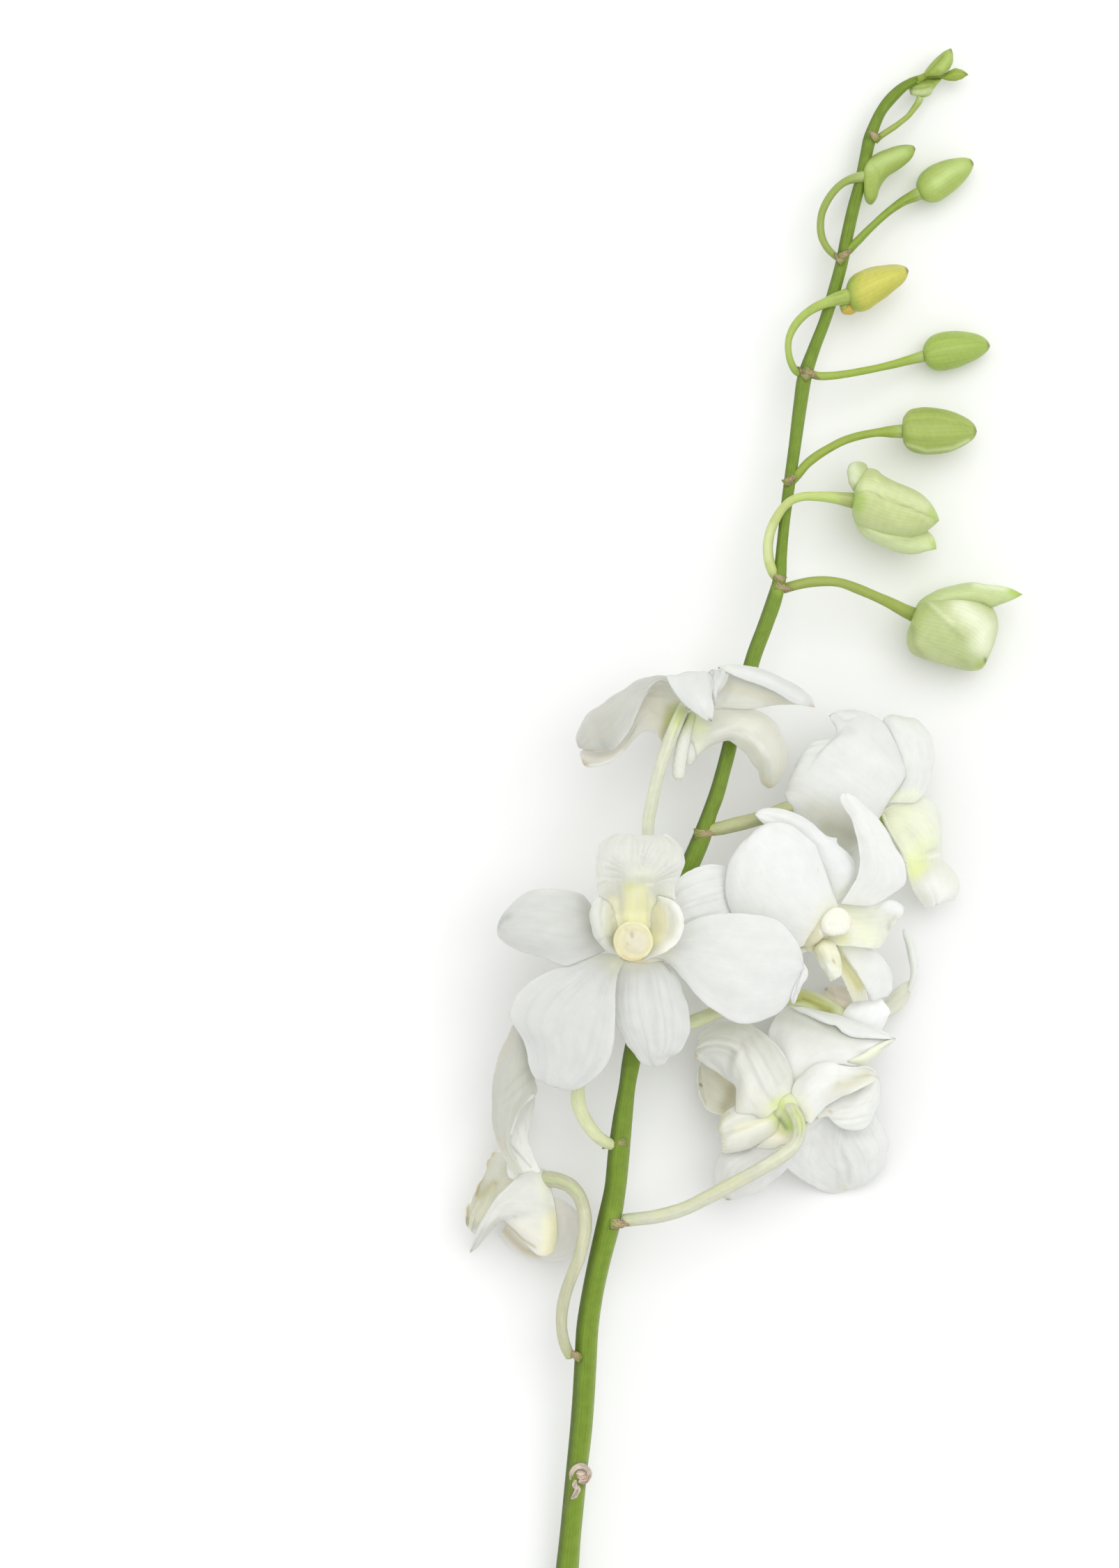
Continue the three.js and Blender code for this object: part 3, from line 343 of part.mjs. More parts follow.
// rings of points closed by a cap at each end
function skin(rings) {
  const n = rings.length, m = rings[0].length, pos = rings.flat(), tri = [];
  const mean = (r) => mul(r.reduce((a, p) => add(a, p), [0, 0, 0]), 1 / r.length);
  for (let i = 0; i < n - 1; i++) for (let j = 0; j < m; j++) {
    const k = (j + 1) % m, a = i * m + j, b = i * m + k, c = a + m, d = b + m;
    tri.push([a, b, d], [a, d, c]);
  }
  pos.push(mean(rings[0]), mean(rings[n - 1]));
  for (let j = 0; j < m; j++) {
    const k = (j + 1) % m;
    tri.push([n * m, k, j], [n * m + 1, (n - 1) * m + j, (n - 1) * m + k]);
  }
  return outward({ pos, tri });
}
function outward(mesh) {
  let vol = 0;
  for (const [a, b, c] of mesh.tri) vol += dot(mesh.pos[a], cross(mesh.pos[b], mesh.pos[c]));
  if (vol < 0) mesh.tri = mesh.tri.map(([a, b, c]) => [a, c, b]);
  return mesh;
}

// ---- the kinds of surface --------------------------------------------------
function sheetGrid(p, n, m, cut = 0.975) {
  const V = range(n, p.from ?? 0, cut), U = range(m, -1, 1);
  if (p.k === 'rows') {
    const R = p.rows, scale = (q) => [q[0] * UNIT, q[1] * UNIT, q[2]];
    const steps = R.slice(1).map((r, i) => r.reduce((s, q, j) => s + Math.hypot(...sub(scale(q), scale(R[i][j]))), 0) / r.length);
    const T = knots(steps, 0.8), lanes = R[0].map((_, j) => smooth(T, R.map((r) => r[j])));
    const W = range(R[0].length, -1, 1);
    return V.map((v) => { const across = smooth(W, lanes.map((f) => f(v))); return U.map((u) => place(across(u))); });
  }
  const L = along(p.L), R = along(p.R), M = p.M ? along(p.M) : null;
  const Z = smooth(p.z.map((r) => r[0]), p.z.map((r) => r.slice(1)));
  return V.map((v) => {
    const l = L(v), r = R(v), c = M ? M(v) : mul(add(l, r), 0.5), z = Z(v);
    const A = [...l, z[0]], B = [...c, z[1]], C = [...r, z[2]];
    return U.map((u) => place(add(add(mul(A, (u * u - u) / 2), mul(B, 1 - u * u)), mul(C, (u * u + u) / 2))));
  });
}
function tubeRings(p, n, m, grow) {
  const P = p.path, T = knots(gaps(P.map((q) => [q[0] * UNIT, q[1] * UNIT, q[2]])), 0.8), f = smooth(T, P);
  const V = range(n), at = (v) => place(f(Math.min(Math.max(v, 0), 1)));
  let side = null;
  return V.map((v, i) => {
    const q = f(v), t = norm(sub(at(v + 1e-3), at(v - 1e-3)));
    side = side ?? cross(t, [0.3, 0.2, 1]);
    side = norm(sub(side, mul(t, dot(side, t))));
    const up = cross(t, side), r = q[3] + grow, r2 = (q[4] ?? q[3]) + grow;
    let c = place(q);
    if (i === 0) c = sub(c, mul(t, grow)); if (i === n - 1) c = add(c, mul(t, grow));
    return Array.from({ length: m }, (_, j) => {
      const a = 2 * Math.PI * j / m;
      return add(c, add(mul(side, Math.cos(a) * r), mul(up, Math.sin(a) * r2)));
    });
  });
}
function blobRings(p, n, m, grow) {
  const L = along(p.L), R = along(p.R), Z = smooth(p.z.map((r) => r[0]), p.z.map((r) => r.slice(1)));
  const V = range(n, 0.015, 0.98);
  const rings = V.map((v) => {
    const l = L(v), r = R(v), z = Z(v), c = mul(add(l, r), 0.5);
    let h = mul(sub(r, l), 0.5); const len = Math.hypot(...h) || 1e-6;
    h = mul(h, 1 + grow / UNIT / len);
    const hz = Math.max(z[1], 0.12) + grow;
    return Array.from({ length: m }, (_, j) => {
      const a = 2 * Math.PI * j / m;
      return place([c[0] + h[0] * Math.cos(a), c[1] + h[1] * Math.cos(a), z[0] + hz * Math.sin(a)]);
    });
  });
  if (grow > 0) {
    const mid = (r) => mul(r.reduce((a, q) => add(a, q), [0, 0, 0]), 1 / r.length);
    const d0 = mul(norm(sub(mid(rings[0]), mid(rings[1]))), grow), d1 = mul(norm(sub(mid(rings[n - 1]), mid(rings[n - 2]))), grow);
    rings[0] = rings[0].map((q) => add(q, d0)); rings[n - 1] = rings[n - 1].map((q) => add(q, d1));
  }
  return rings;
}
function body(p, grow) {
  if (p.k === 'rows') return slab(sheetGrid(p, p.n ?? LIP_STEPS, p.m ?? Math.min(LIP_LANES, 2 * p.rows[0].length - 1), 1), TEPAL_THICKNESS, grow);
  if (p.k === 'sheet') return slab(sheetGrid(p, p.n ?? TEPAL_STEPS, p.m ?? TEPAL_LANES), TEPAL_THICKNESS, grow);
  if (p.k === 'tube') return skin(tubeRings(p, p.n ?? Math.min(11, p.path.length + 1), p.m ?? STALK_SIDES, grow));
  return skin(blobRings(p, p.n ?? BUD_STEPS, p.m ?? BUD_SIDES, grow));
}

// ---- joining and clearing ---------------------------------------------------
const wasm = await Module();
wasm.setup();
function solid({ pos, tri }) {
  return new wasm.Manifold(new wasm.Mesh({ numProp: 3, vertProperties: new Float32Array(pos.flat()), triVerts: new Uint32Array(tri.flat()) }));
}
const joined = (prims, grow) => prims.map((p) => solid(body(p, grow))).reduce((a, b) => a.add(b));
// the largest connected part of a solid
function largest(mesh) {
  const nv = mesh.vertProperties.length / mesh.numProp, root = Array.from({ length: nv }, (_, i) => i);
  const find = (i) => { while (root[i] !== i) { root[i] = root[root[i]]; i = root[i]; } return i; };
  const key = new Map();
  for (let i = 0; i < nv; i++) {
    const k = [0, 1, 2].map((c) => Math.round(mesh.vertProperties[i * mesh.numProp + c] * 1e4)).join();
    if (key.has(k)) root[find(i)] = find(key.get(k)); else key.set(k, i);
  }
  const T = mesh.triVerts;
  for (let t = 0; t < T.length; t += 3) { root[find(T[t])] = find(T[t + 1]); root[find(T[t + 1])] = find(T[t + 2]); }
  const P = (i) => [0, 1, 2].map((c) => mesh.vertProperties[i * mesh.numProp + c]), vol = new Map();
  for (let t = 0; t < T.length; t += 3) {
    const r = find(T[t]), v = dot(P(T[t]), cross(P(T[t + 1]), P(T[t + 2]))) / 6;
    vol.set(r, (vol.get(r) ?? 0) + v);
  }
  const best = [...vol.entries()].sort((a, b) => b[1] - a[1])[0][0];
  const map = new Map(), pos = [], tri = [];
  const use = (i) => { if (!map.has(i)) { map.set(i, pos.length); pos.push(P(i)); } return map.get(i); };
  for (let t = 0; t < T.length; t += 3) if (find(T[t]) === best) tri.push([use(T[t]), use(T[t + 1]), use(T[t + 2])]);
  return { pos, tri, parts: vol.size, share: vol.get(best) / [...vol.values()].reduce((a, b) => a + b, 0) };
}

const FIRST = ['main_stem', 'pedicel', 'column', 'bud', 'lateral', 'dorsal', 'petal', 'lip'];
const rank = (name) => FIRST.findIndex((w) => name.includes(w));
const order = Object.keys(PIECES).sort((a, b) => rank(a) - rank(b));
const box = (pos) => [0, 1, 2].map((c) => [Math.min(...pos.map((p) => p[c])), Math.max(...pos.map((p) => p[c]))]);
const apart = (a, b) => a.some(([lo, hi], c) => lo > b[c][1] || hi < b[c][0]);
const made = [];
export const notes = [];
for (const name of order) {
  const prims = PIECES[name].prims;
  let s = joined(prims, 0);
  const b = box(prims.flatMap((p) => body(p, 0).pos));
  for (const other of made) {
    if (apart(b, other.clear)) continue;
    s = s.subtract(other.grown);
  }
  const mesh = largest(s.getMesh());
  notes.push([name, mesh.tri.length, mesh.parts, mesh.share.toFixed(3)]);
  made.push({ name, mesh, grown: joined(prims, GAP), clear: box(prims.flatMap((p) => body(p, GAP).pos)) });
}

// ---- the assembly -------------------------------------------------------------
// the origin is the middle of the box, on the surface that the spray lies on
const all = box(made.flatMap((m) => m.mesh.pos));
export const shift = [-(all[0][0] + all[0][1]) / 2, -(all[1][0] + all[1][1]) / 2, -all[2][0]];
const spray = new THREE.Group();
spray.name = 'dendrobium_stem';
for (const name of Object.keys(PIECES)) {
  const { mesh } = made.find((m) => m.name === name);
  const g = new THREE.BufferGeometry();
  g.setAttribute('position', new THREE.Float32BufferAttribute(mesh.pos.flatMap((p) => add(p, shift)), 3));
  g.setIndex(mesh.tri.flat());
  const [color, roughness] = PIECES[name].look;
  const m = new THREE.Mesh(g, new THREE.MeshStandardMaterial({ color, roughness, metalness: 0 }));
  m.name = name;
  spray.add(m);
}
export default spray;
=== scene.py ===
# Cut spray of white dendrobium orchid, lying down: the finished surfaces.
# Control points are photo pixels (x right, y down) with a height in millimetres above the surface.
import bpy, math
import numpy as np
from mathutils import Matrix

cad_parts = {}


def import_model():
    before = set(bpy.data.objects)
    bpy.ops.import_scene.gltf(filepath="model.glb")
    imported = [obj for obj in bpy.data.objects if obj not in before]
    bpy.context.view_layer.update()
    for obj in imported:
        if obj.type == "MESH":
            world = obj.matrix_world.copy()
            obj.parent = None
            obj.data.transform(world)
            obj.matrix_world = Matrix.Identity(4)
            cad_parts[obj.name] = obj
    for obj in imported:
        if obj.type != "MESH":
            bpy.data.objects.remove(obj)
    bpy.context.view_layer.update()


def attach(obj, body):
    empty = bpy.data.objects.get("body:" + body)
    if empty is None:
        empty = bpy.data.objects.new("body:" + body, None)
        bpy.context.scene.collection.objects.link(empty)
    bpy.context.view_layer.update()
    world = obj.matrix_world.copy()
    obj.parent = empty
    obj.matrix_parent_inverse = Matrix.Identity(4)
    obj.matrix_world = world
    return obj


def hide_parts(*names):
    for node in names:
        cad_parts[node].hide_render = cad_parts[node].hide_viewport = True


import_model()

S = 0.16          # millimetres a pixel at height 0
D = 1500.0        # height of the eye, millimetres
CX, CY = 803.0, 1125.0
SHIFT = np.array([-41.670186042785645, 30.674331665039062, 0.19234676659107208])

PIECES = {
 'main_stem': [
  { 'k': 'tube', 'path': [[783.5,2560,2.75,2.72],[794,2440,5.01,2.66],[805,2340,6.89,2.6],[814,2249,8.6,2.56],[818,2205,9.48,2.4],[823,2155,10.49,2.4],[828,2105,11.49,2.4],[833.5,2055,12.5,2.48],[837.5,2005,13.5,2.48],[840.5,1955,14.59,2.48],[843.5,1905,15.67,2.48],[851,1855,16.76,2.4],[861.5,1805,17.77,2.48],[873.5,1755,18.71,2.64],[883,1705,19.66,2.4],[888,1655,20.6,2.4],[893.5,1605,21.4,2.16],[900.5,1555,22.2,1.84],[904.5,1530,22.6,2],[914,1480,23.22,2.05],[930,1400,24.2,2.08],[953,1330,24.65,2.1],[966,1290,24.9,2.1],[995,1230,24.83,2.08],[1007.5,1200,24.8,2],[1017.5,1170,24.5,1.68],[1028.5,1140,24.2,1.68],[1037,1110,23.9,1.6],[1045,1080,23.6,1.6],[1058,1025,22.66,1.6],[1071,980,21.89,1.65],[1082.5,940,21.2,1.68],[1097.5,900,20.33,1.68],[1111.5,860,19.47,1.68],[1119,830,18.82,1.44],[1121,800,18.14,1.28],[1124.5,760,17.23,1.2],[1132,700,15.86,1.28],[1140.5,640,14.54,1.36],[1148.5,580,13.26,1.52],[1155,540,12.4,1.6],[1168.5,500,11.74,1.36],[1184,460,11.08,1.28],[1196.5,420,10.42,1.36],[1207.5,380,9.76,1.36],[1215.5,340,9.25,1.36],[1224.5,300,8.78,1.36],[1235,260,8.31,1.28],[1243.5,220,7.84,1.36],[1248,200,7.6,1.44],[1255,180,7.46,1.28],[1264.5,160,7.32,1.2],[1280,140,7.18,1.28],[1300.5,122,7.06,1.04],[1317,114,7,0.75]], 'c': 's', 'n': 27, 'm': 9 },
  { 'k': 'blob', 'L': [[1260.95,191.05],[1253.97,188.03],[1246,186]], 'R': [[1251.05,200.95],[1248.03,193.97],[1246,186]], 'z': [[0,9,0.9],[0.5,9,0.8],[1,9,0.3]], 'c': 'br', 'n': 4, 'm': 6 },
  { 'k': 'blob', 'L': [[1214.98,371.76],[1219.89,364.95],[1224,357]], 'R': [[1207.02,360.24],[1215.11,358.05],[1224,357]], 'z': [[0,11,0.9],[0.5,11,0.8],[1,11,0.3]], 'c': 'br', 'n': 4, 'm': 6 },
  { 'k': 'blob', 'L': [[1210.71,366.82],[1203.33,363.89],[1195,362]], 'R': [[1201.29,377.18],[1197.67,370.11],[1195,362]], 'z': [[0,11.2,0.9],[0.5,11.2,0.8],[1,11.2,0.3]], 'c': 'br', 'n': 4, 'm': 6 },
  { 'k': 'blob', 'L': [[1161.16,533.27],[1153.6,529.16],[1145,526]], 'R': [[1150.84,542.73],[1147.4,534.84],[1145,526]], 'z': [[0,13.8,0.9],[0.5,13.8,0.8],[1,13.8,0.3]], 'c': 'br', 'n': 4, 'm': 6 },
  { 'k': 'blob', 'L': [[1156.29,539.94],[1165.77,542.56],[1176,544]], 'R': [[1163.71,528.06],[1170.23,535.44],[1176,544]], 'z': [[0,13.9,0.9],[0.5,13.9,0.8],[1,13.9,0.3]], 'c': 'br', 'n': 4, 'm': 6 },
  { 'k': 'blob', 'L': [[1135.88,695.82],[1141.83,688.49],[1147,680]], 'R': [[1128.12,684.18],[1137.17,681.51],[1147,680]], 'z': [[0,16.8,0.9],[0.5,16.8,0.8],[1,16.8,0.3]], 'c': 'br', 'n': 4, 'm': 6 },
  { 'k': 'blob', 'L': [[1123.44,823.34],[1114.16,821.01],[1104,820]], 'R': [[1114.56,836.66],[1108.84,828.99],[1104,820]], 'z': [[0,19.6,0.9],[0.5,19.6,0.8],[1,19.6,0.3]], 'c': 'br', 'n': 4, 'm': 6 },
  { 'k': 'blob', 'L': [[1117.86,849.71],[1127.72,849.12],[1138,847]], 'R': [[1122.14,834.29],[1130.28,839.88],[1138,847]], 'z': [[0,19.8,0.9],[0.5,19.8,0.8],[1,19.8,0.3]], 'c': 'br', 'n': 4, 'm': 6 },
  { 'k': 'blob', 'L': [[1011.19,1204.92],[1025.71,1199.35],[1040,1192]], 'R': [[1008.81,1187.08],[1024.29,1188.65],[1040,1192]], 'z': [[0,26,0.9],[0.5,26,0.8],[1,26,0.3]], 'c': 'br', 'n': 4, 'm': 6 },
  { 'k': 'blob', 'L': [[885.15,1631.46],[874.29,1638.88],[864,1648]], 'R': [[890.85,1648.54],[877.71,1649.12],[864,1648]], 'z': [[0,22.2,0.9],[0.5,22.2,0.8],[1,22.2,0.3]], 'c': 'br', 'n': 4, 'm': 6 },
  { 'k': 'blob', 'L': [[885.55,1765.99],[896.73,1762.49],[908,1757]], 'R': [[886.45,1746.01],[897.27,1750.51],[908,1757]], 'z': [[0,20.6,0.9],[0.5,20.6,0.8],[1,20.6,0.3]], 'c': 'br', 'n': 4, 'm': 6 },
  { 'k': 'blob', 'L': [[832.65,1939.49],[823.79,1937.09],[814,1936]], 'R': [[823.35,1952.51],[818.21,1944.91],[814,1936]], 'z': [[0,16.6,0.9],[0.5,16.6,0.8],[1,16.6,0.3]], 'c': 'br', 'n': 4, 'm': 6 },
 ],
 'flower_1_pedicel': [
  { 'path': [[818,1945,15,1.2],[811,1930,16.8,1.28],[806,1905,18,1.3],[807,1877,19,1.35],[812,1855,19.8,1.4],[821,1830,20.6,1.45],[829,1810,21.2,1.5],[836,1785,21.8,1.5],[840,1760,22.2,1.5],[838,1736,22.4,1.55],[831,1715,22.4,1.65],[819,1701,22,1.72],[804,1693,21.4,1.78],[788,1690,20.8,1.8],[774,1690,20,1.8]], 'c': 'p', 'k': 'tube' },
 ],
 'flower_1_dorsal_sepal': [
  { 'L': [[748,1692],[731,1690],[728,1662],[731,1636],[739,1606],[748,1586],[758,1573],[768,1567]], 'R': [[776,1682],[771,1670],[765,1655],[759,1640],[758,1625],[762,1608],[767,1590],[768,1567]], 'z': [[0,18.6,18.6,18.6],[0.3,16.6,18,17],[0.65,15,16.6,15.4],[1,14,14,14]], 'c': 'w', 'k': 'sheet' },
 ],
 'flower_1_lateral_sepals': [
  { 'L': [[783,1692],[766,1684],[750,1685],[737,1693],[723,1708],[709,1722],[698,1740],[690,1758],[682,1778],[677,1797]], 'R': [[792,1798],[775,1790],[755,1778],[738,1763],[723,1751],[712,1757],[701,1766],[693,1778],[686,1789],[677,1797]], 'z': [[0,19,20,19],[0.25,18.6,21.4,19],[0.5,18,20.4,17.6],[0.75,13.6,15.6,13],[0.92,3.6,4.6,3.6],[1,-1,-1,-1]], 'c': 'w', 'k': 'sheet' },
  { 'L': [[776,1712],[788,1730],[796,1755],[800,1775],[798,1790],[791,1800]], 'R': [[764,1728],[768,1748],[772,1765],[771,1780],[779,1793],[791,1800]], 'z': [[0,18,2],[0.4,18.4,3],[0.8,18.6,2.4],[1,18.8,0.5]], 'c': 'y', 'k': 'blob' },
  { 'L': [[792,1716],[806,1722],[828,1738],[838,1755],[840,1775],[835,1790],[820,1803],[797,1810],[765,1806],[745,1797],[730,1786],[717,1772]], 'R': [[772,1728],[762,1744],[748,1756],[730,1756],[717,1772]], 'z': [[0,17.2,17.2,17.2],[0.3,14,15,15],[0.65,8,10.6,12],[0.9,4.6,6,7],[1,4,4,4]], 'c': 'w', 'k': 'sheet' },
 ],
 'flower_1_petal_1': [
  { 'L': [[738,1684],[717,1648],[709,1622],[705,1600],[705,1575],[707,1550],[711,1530],[718,1510],[728,1490],[736,1472],[745,1456]], 'R': [[752,1684],[734,1647],[736,1625],[743,1602],[753,1585],[769,1568],[767,1548],[769,1524],[768,1500],[761,1474],[745,1456]], 'z': [[0,21,21,21],[0.2,21.4,22,21.8],[0.5,20.6,25.6,25],[0.8,23,27,25.6],[1,25,25,25]], 'c': 'w', 'k': 'sheet' },
 ],
 'flower_1_petal_2': [
  { 'L': [[752,1696],[738,1668],[727,1640],[723,1610],[728,1586],[740,1576]], 'R': [[768,1694],[764,1665],[758,1640],[757,1615],[752,1592],[740,1576]], 'z': [[0,13.6,13.6,13.6],[0.4,9,9.6,9],[0.8,2.2,2.6,2.2],[1,0.1,0.1,0.1]], 'c': 'w', 'k': 'sheet' },
 ],
 'flower_1_lip': [
  { 'rows': [[[757,1694,16.4],[756,1699,14.8],[755,1704,14],[754,1709,14.8],[753,1714,16.4]],[[734,1670,19.4],[738,1682,15.8],[740,1694,14],[741,1704,14.4],[742,1714,15.4]],[[722,1652,18.6],[724,1668,14.2],[727,1686,12],[731,1702,12.8],[735,1716,14.6]],[[706,1656,17.6],[711,1672,12.6],[715,1692,10.4],[720,1710,11.4],[726,1724,13.6]],[[699,1674,17],[703,1688,12],[707,1704,9.4],[711,1720,10.2],[716,1734,12.4]],[[688,1698,16],[693,1708,11.4],[698,1720,8.8],[702,1732,9.4],[706,1744,11.4]],[[678,1716,14.6],[683,1726,10.6],[688,1736,8.4],[693,1746,8.8],[697,1755,10.6]],[[670,1732,13],[675,1742,9.8],[680,1750,8],[685,1758,8.4],[689,1764,9.8]],[[669,1756,10.6],[672,1761,9],[676,1766,8],[679,1769,8.2],[682,1772,8.8]]], 'c': 'l', 'k': 'rows' },
 ],
 'flower_1_column': [
  { 'L': [[768,1694],[755,1690],[743,1692],[736,1699]], 'R': [[768,1712],[755,1714],[743,1710],[736,1699]], 'z': [[0,17.2,1.4],[0.4,17,1.9],[0.8,17,1.8],[1,17,0.5]], 'c': 'c', 'k': 'blob' },
 ],
 'flower_2_pedicel': [
  { 'path': [[896,1751,19,1.5],[915,1749,20,1.7],[940,1746,21,1.85],[980,1735,22.2,1.95],[1010,1721,23,2],[1050,1700,24.4,2.05],[1090,1680,26,2.1],[1120,1660,27.4,2.15],[1140,1641,28,2.2],[1149,1619,27.4,2.2],[1146,1600,25.6,2.2],[1137,1588,23.2,2.2],[1130,1586,21.4,2.1]], 'c': 'p', 'k': 'tube' },
 ],
 'flower_2_dorsal_sepal': [
  { 'L': [[1136,1580],[1137,1563],[1145,1548],[1158,1534],[1172,1526],[1188,1523],[1205,1528],[1225,1532],[1243,1531],[1254,1536],[1258,1545]], 'R': [[1152,1602],[1163,1612],[1174,1598],[1188,1586],[1205,1576],[1225,1567],[1243,1558],[1252,1552],[1258,1545]], 'z': [[0,22,22,22],[0.25,22,25.4,22.4],[0.5,23,25.4,22.6],[0.72,24,22.6,22.4],[0.9,23.4,21.6,22],[1,22,22,22]], 'c': 'w', 'k': 'sheet' },
 ],
 'flower_2_lateral_sepals': [
  { 'rows': [[[1140,1588,21],[1130,1584,22.4],[1116,1590,23.4],[1104,1600,23.4],[1096,1612,22]],[[1139,1562,20.6],[1122,1560,23.4],[1102,1566,25.4],[1080,1584,25.4],[1060,1602,22.6]],[[1135,1536,19.6],[1116,1536,23],[1094,1542,26.2],[1072,1560,26.2],[1057,1578,22.6]],[[1122,1510,18.4],[1102,1512,22.2],[1082,1520,25.8],[1064,1540,25.2],[1054,1558,20.8]],[[1098,1484,17.4],[1082,1490,21.6],[1064,1502,24.6],[1050,1520,22.8],[1040,1546,18.8]],[[1062,1466,16.8],[1052,1476,20.6],[1040,1492,22.8],[1030,1510,21],[1022,1534,17.4]],[[1026,1469,16.2],[1022,1480,18.8],[1018,1494,20.6],[1012,1508,19],[1008,1525,16.4]],[[1002,1489,15.6],[1001,1496,16.6],[1000,1504,17.6],[998,1511,16.6],[997,1519,15.8]]], 'c': 'w', 'k': 'rows' },
  { 'L': [[1112,1592],[1085,1600],[1062,1602],[1045,1602],[1034,1612],[1030,1625],[1032,1641],[1040,1652]], 'R': [[1124,1632],[1112,1640],[1095,1641],[1080,1650],[1066,1655],[1052,1656],[1040,1652]], 'z': [[0,21.6,2],[0.3,22,2.8],[0.6,21.6,3],[0.85,20.4,2.6],[1,20,0.6]], 'c': 'y', 'k': 'blob' },
  { 'L': [[1105,1630],[1070,1642],[1045,1650],[1033,1658],[1028,1670],[1025,1685],[1027,1700],[1036,1716],[1045,1722]], 'R': [[1130,1648],[1134,1670],[1122,1683],[1111,1692],[1100,1703],[1088,1711],[1075,1716],[1060,1720],[1045,1722]], 'z': [[0,21,20.4,21],[0.12,18.6,19.6,18.6],[0.35,15.6,18,14.6],[0.7,12.6,15.6,11.6],[1,10,10,10]], 'c': 'w', 'k': 'sheet' },
 ],
 'flower_2_petal_1': [
  { 'rows': [[[1120,1556,17.6],[1127,1560,18.6],[1134,1562,18.8],[1140,1562,18.8],[1146,1558,18.6]],[[1108,1518,15.4],[1118,1520,16.8],[1132,1528,18.4],[1150,1538,19.2],[1164,1540,19.6]],[[1103,1484,13.6],[1116,1488,15],[1138,1500,17.6],[1164,1516,19.6],[1186,1529,20.4]],[[1112,1462,13],[1124,1468,14.2],[1150,1484,17.4],[1180,1504,20],[1208,1527,20.8]],[[1137,1441,14.6],[1144,1452,15.6],[1170,1472,18],[1200,1498,20.2],[1226,1530,20.4]],[[1170,1450,15.4],[1176,1462,16.6],[1196,1476,18.4],[1220,1500,20],[1246,1520,19.4]],[[1206,1460,15.6],[1210,1474,17],[1226,1482,18],[1246,1496,19],[1262,1508,18.4]],[[1250,1474,15.6],[1252,1482,16.6],[1260,1486,17],[1268,1493,17.4],[1276,1499,17.2]],[[1283,1488,15.6],[1283.5,1489,15.7],[1284,1490,15.8],[1284.5,1491,15.9],[1285,1492,15.9]]], 'c': 'w', 'k': 'rows' },
 ],
 'flower_2_petal_2': [
  { 'L': [[1146,1626],[1130,1656],[1127,1672],[1132,1679],[1145,1689],[1162,1699],[1180,1708],[1196,1713],[1207,1709],[1215,1702]], 'R': [[1166,1600],[1200,1574],[1228,1552],[1246,1532],[1257,1540],[1264,1552],[1265,1566],[1260,1583],[1256,1598],[1264,1612],[1272,1628],[1276,1643],[1271,1656],[1271,1670],[1262,1684],[1250,1694],[1238,1701],[1227,1704],[1215,1702]], 'z': [[0,18.6,18.6,18.6],[0.3,13.6,17,16],[0.6,5.6,11.6,11],[0.85,0,4.6,5],[1,0.3,0.3,0.3]], 'c': 'w', 'k': 'sheet' },
  { 'L': [[1168,1594],[1188,1586],[1210,1573],[1235,1560],[1250,1546],[1258,1541]], 'R': [[1174,1606],[1188,1602],[1200,1613],[1215,1621],[1235,1621],[1250,1610],[1257,1595],[1262,1575],[1263,1556],[1258,1541]], 'z': [[0,19.6,19.6,19.6],[0.4,18.4,19.4,17.6],[0.8,16.4,17.6,15],[1,14.6,14.6,14.6]], 'c': 'w', 'k': 'sheet' },
 ],
 'flower_2_lip': [
  { 'L': [[1094,1586],[1068,1562],[1040,1535],[1016,1520],[1005,1527],[1001,1545],[1003,1562]], 'R': [[1090,1606],[1070,1608],[1048,1602],[1030,1599],[1016,1593],[1007,1580],[1003,1562]], 'z': [[0,15,15,15],[0.35,12.6,12,14],[0.7,10.6,8,11],[1,9.6,9.6,9.6]], 'c': 'w', 'k': 'sheet' },
 ],
 'flower_2_column': [
  { 'path': [[1122,1600,17,1.9],[1116,1598,14,2.1],[1108,1596,11,2.3],[1102,1595,8.6,2.3],[1100,1594,7.4,1.5],[1099,1594,7,0.6]], 'c': 'c', 'k': 'tube' },
 ],
 'flower_3_pedicel': [
  { 'path': [[884,1644,20.9,1.3],[872,1640,22.3,1.35],[858,1631,23.8,1.45],[846,1617,25,1.55],[837,1602,26,1.6],[831,1587,26.8,1.62],[829,1565,27.6,1.62],[833,1535,28.3,1.6],[845,1490,28.8,1.6],[865,1440,29.4,1.65],[888,1400,30.2,1.8],[903,1378,31.6,2.1],[908,1370,33.2,2.2]], 'c': 'p', 'k': 'tube' },
 ],
 'flower_3_dorsal_sepal': [
  { 'L': [[893,1378],[885,1400],[880,1430],[881,1455],[885,1470],[895,1490],[905,1505],[915,1518],[926,1526],[941,1531]], 'R': [[952,1380],[966,1390],[973,1400],[980,1420],[986,1440],[990,1455],[990,1472],[987,1490],[979,1504],[970,1512],[960,1518],[952,1527],[941,1531]], 'z': [[0,34.2,34.2,34.2],[0.25,34,36,34.5],[0.5,34.2,36.4,34.2],[0.8,32.8,34.6,32.6],[1,31.5,31.5,31.5]], 'c': 'w', 'k': 'sheet' },
 ],
 'flower_3_lateral_sepals': [
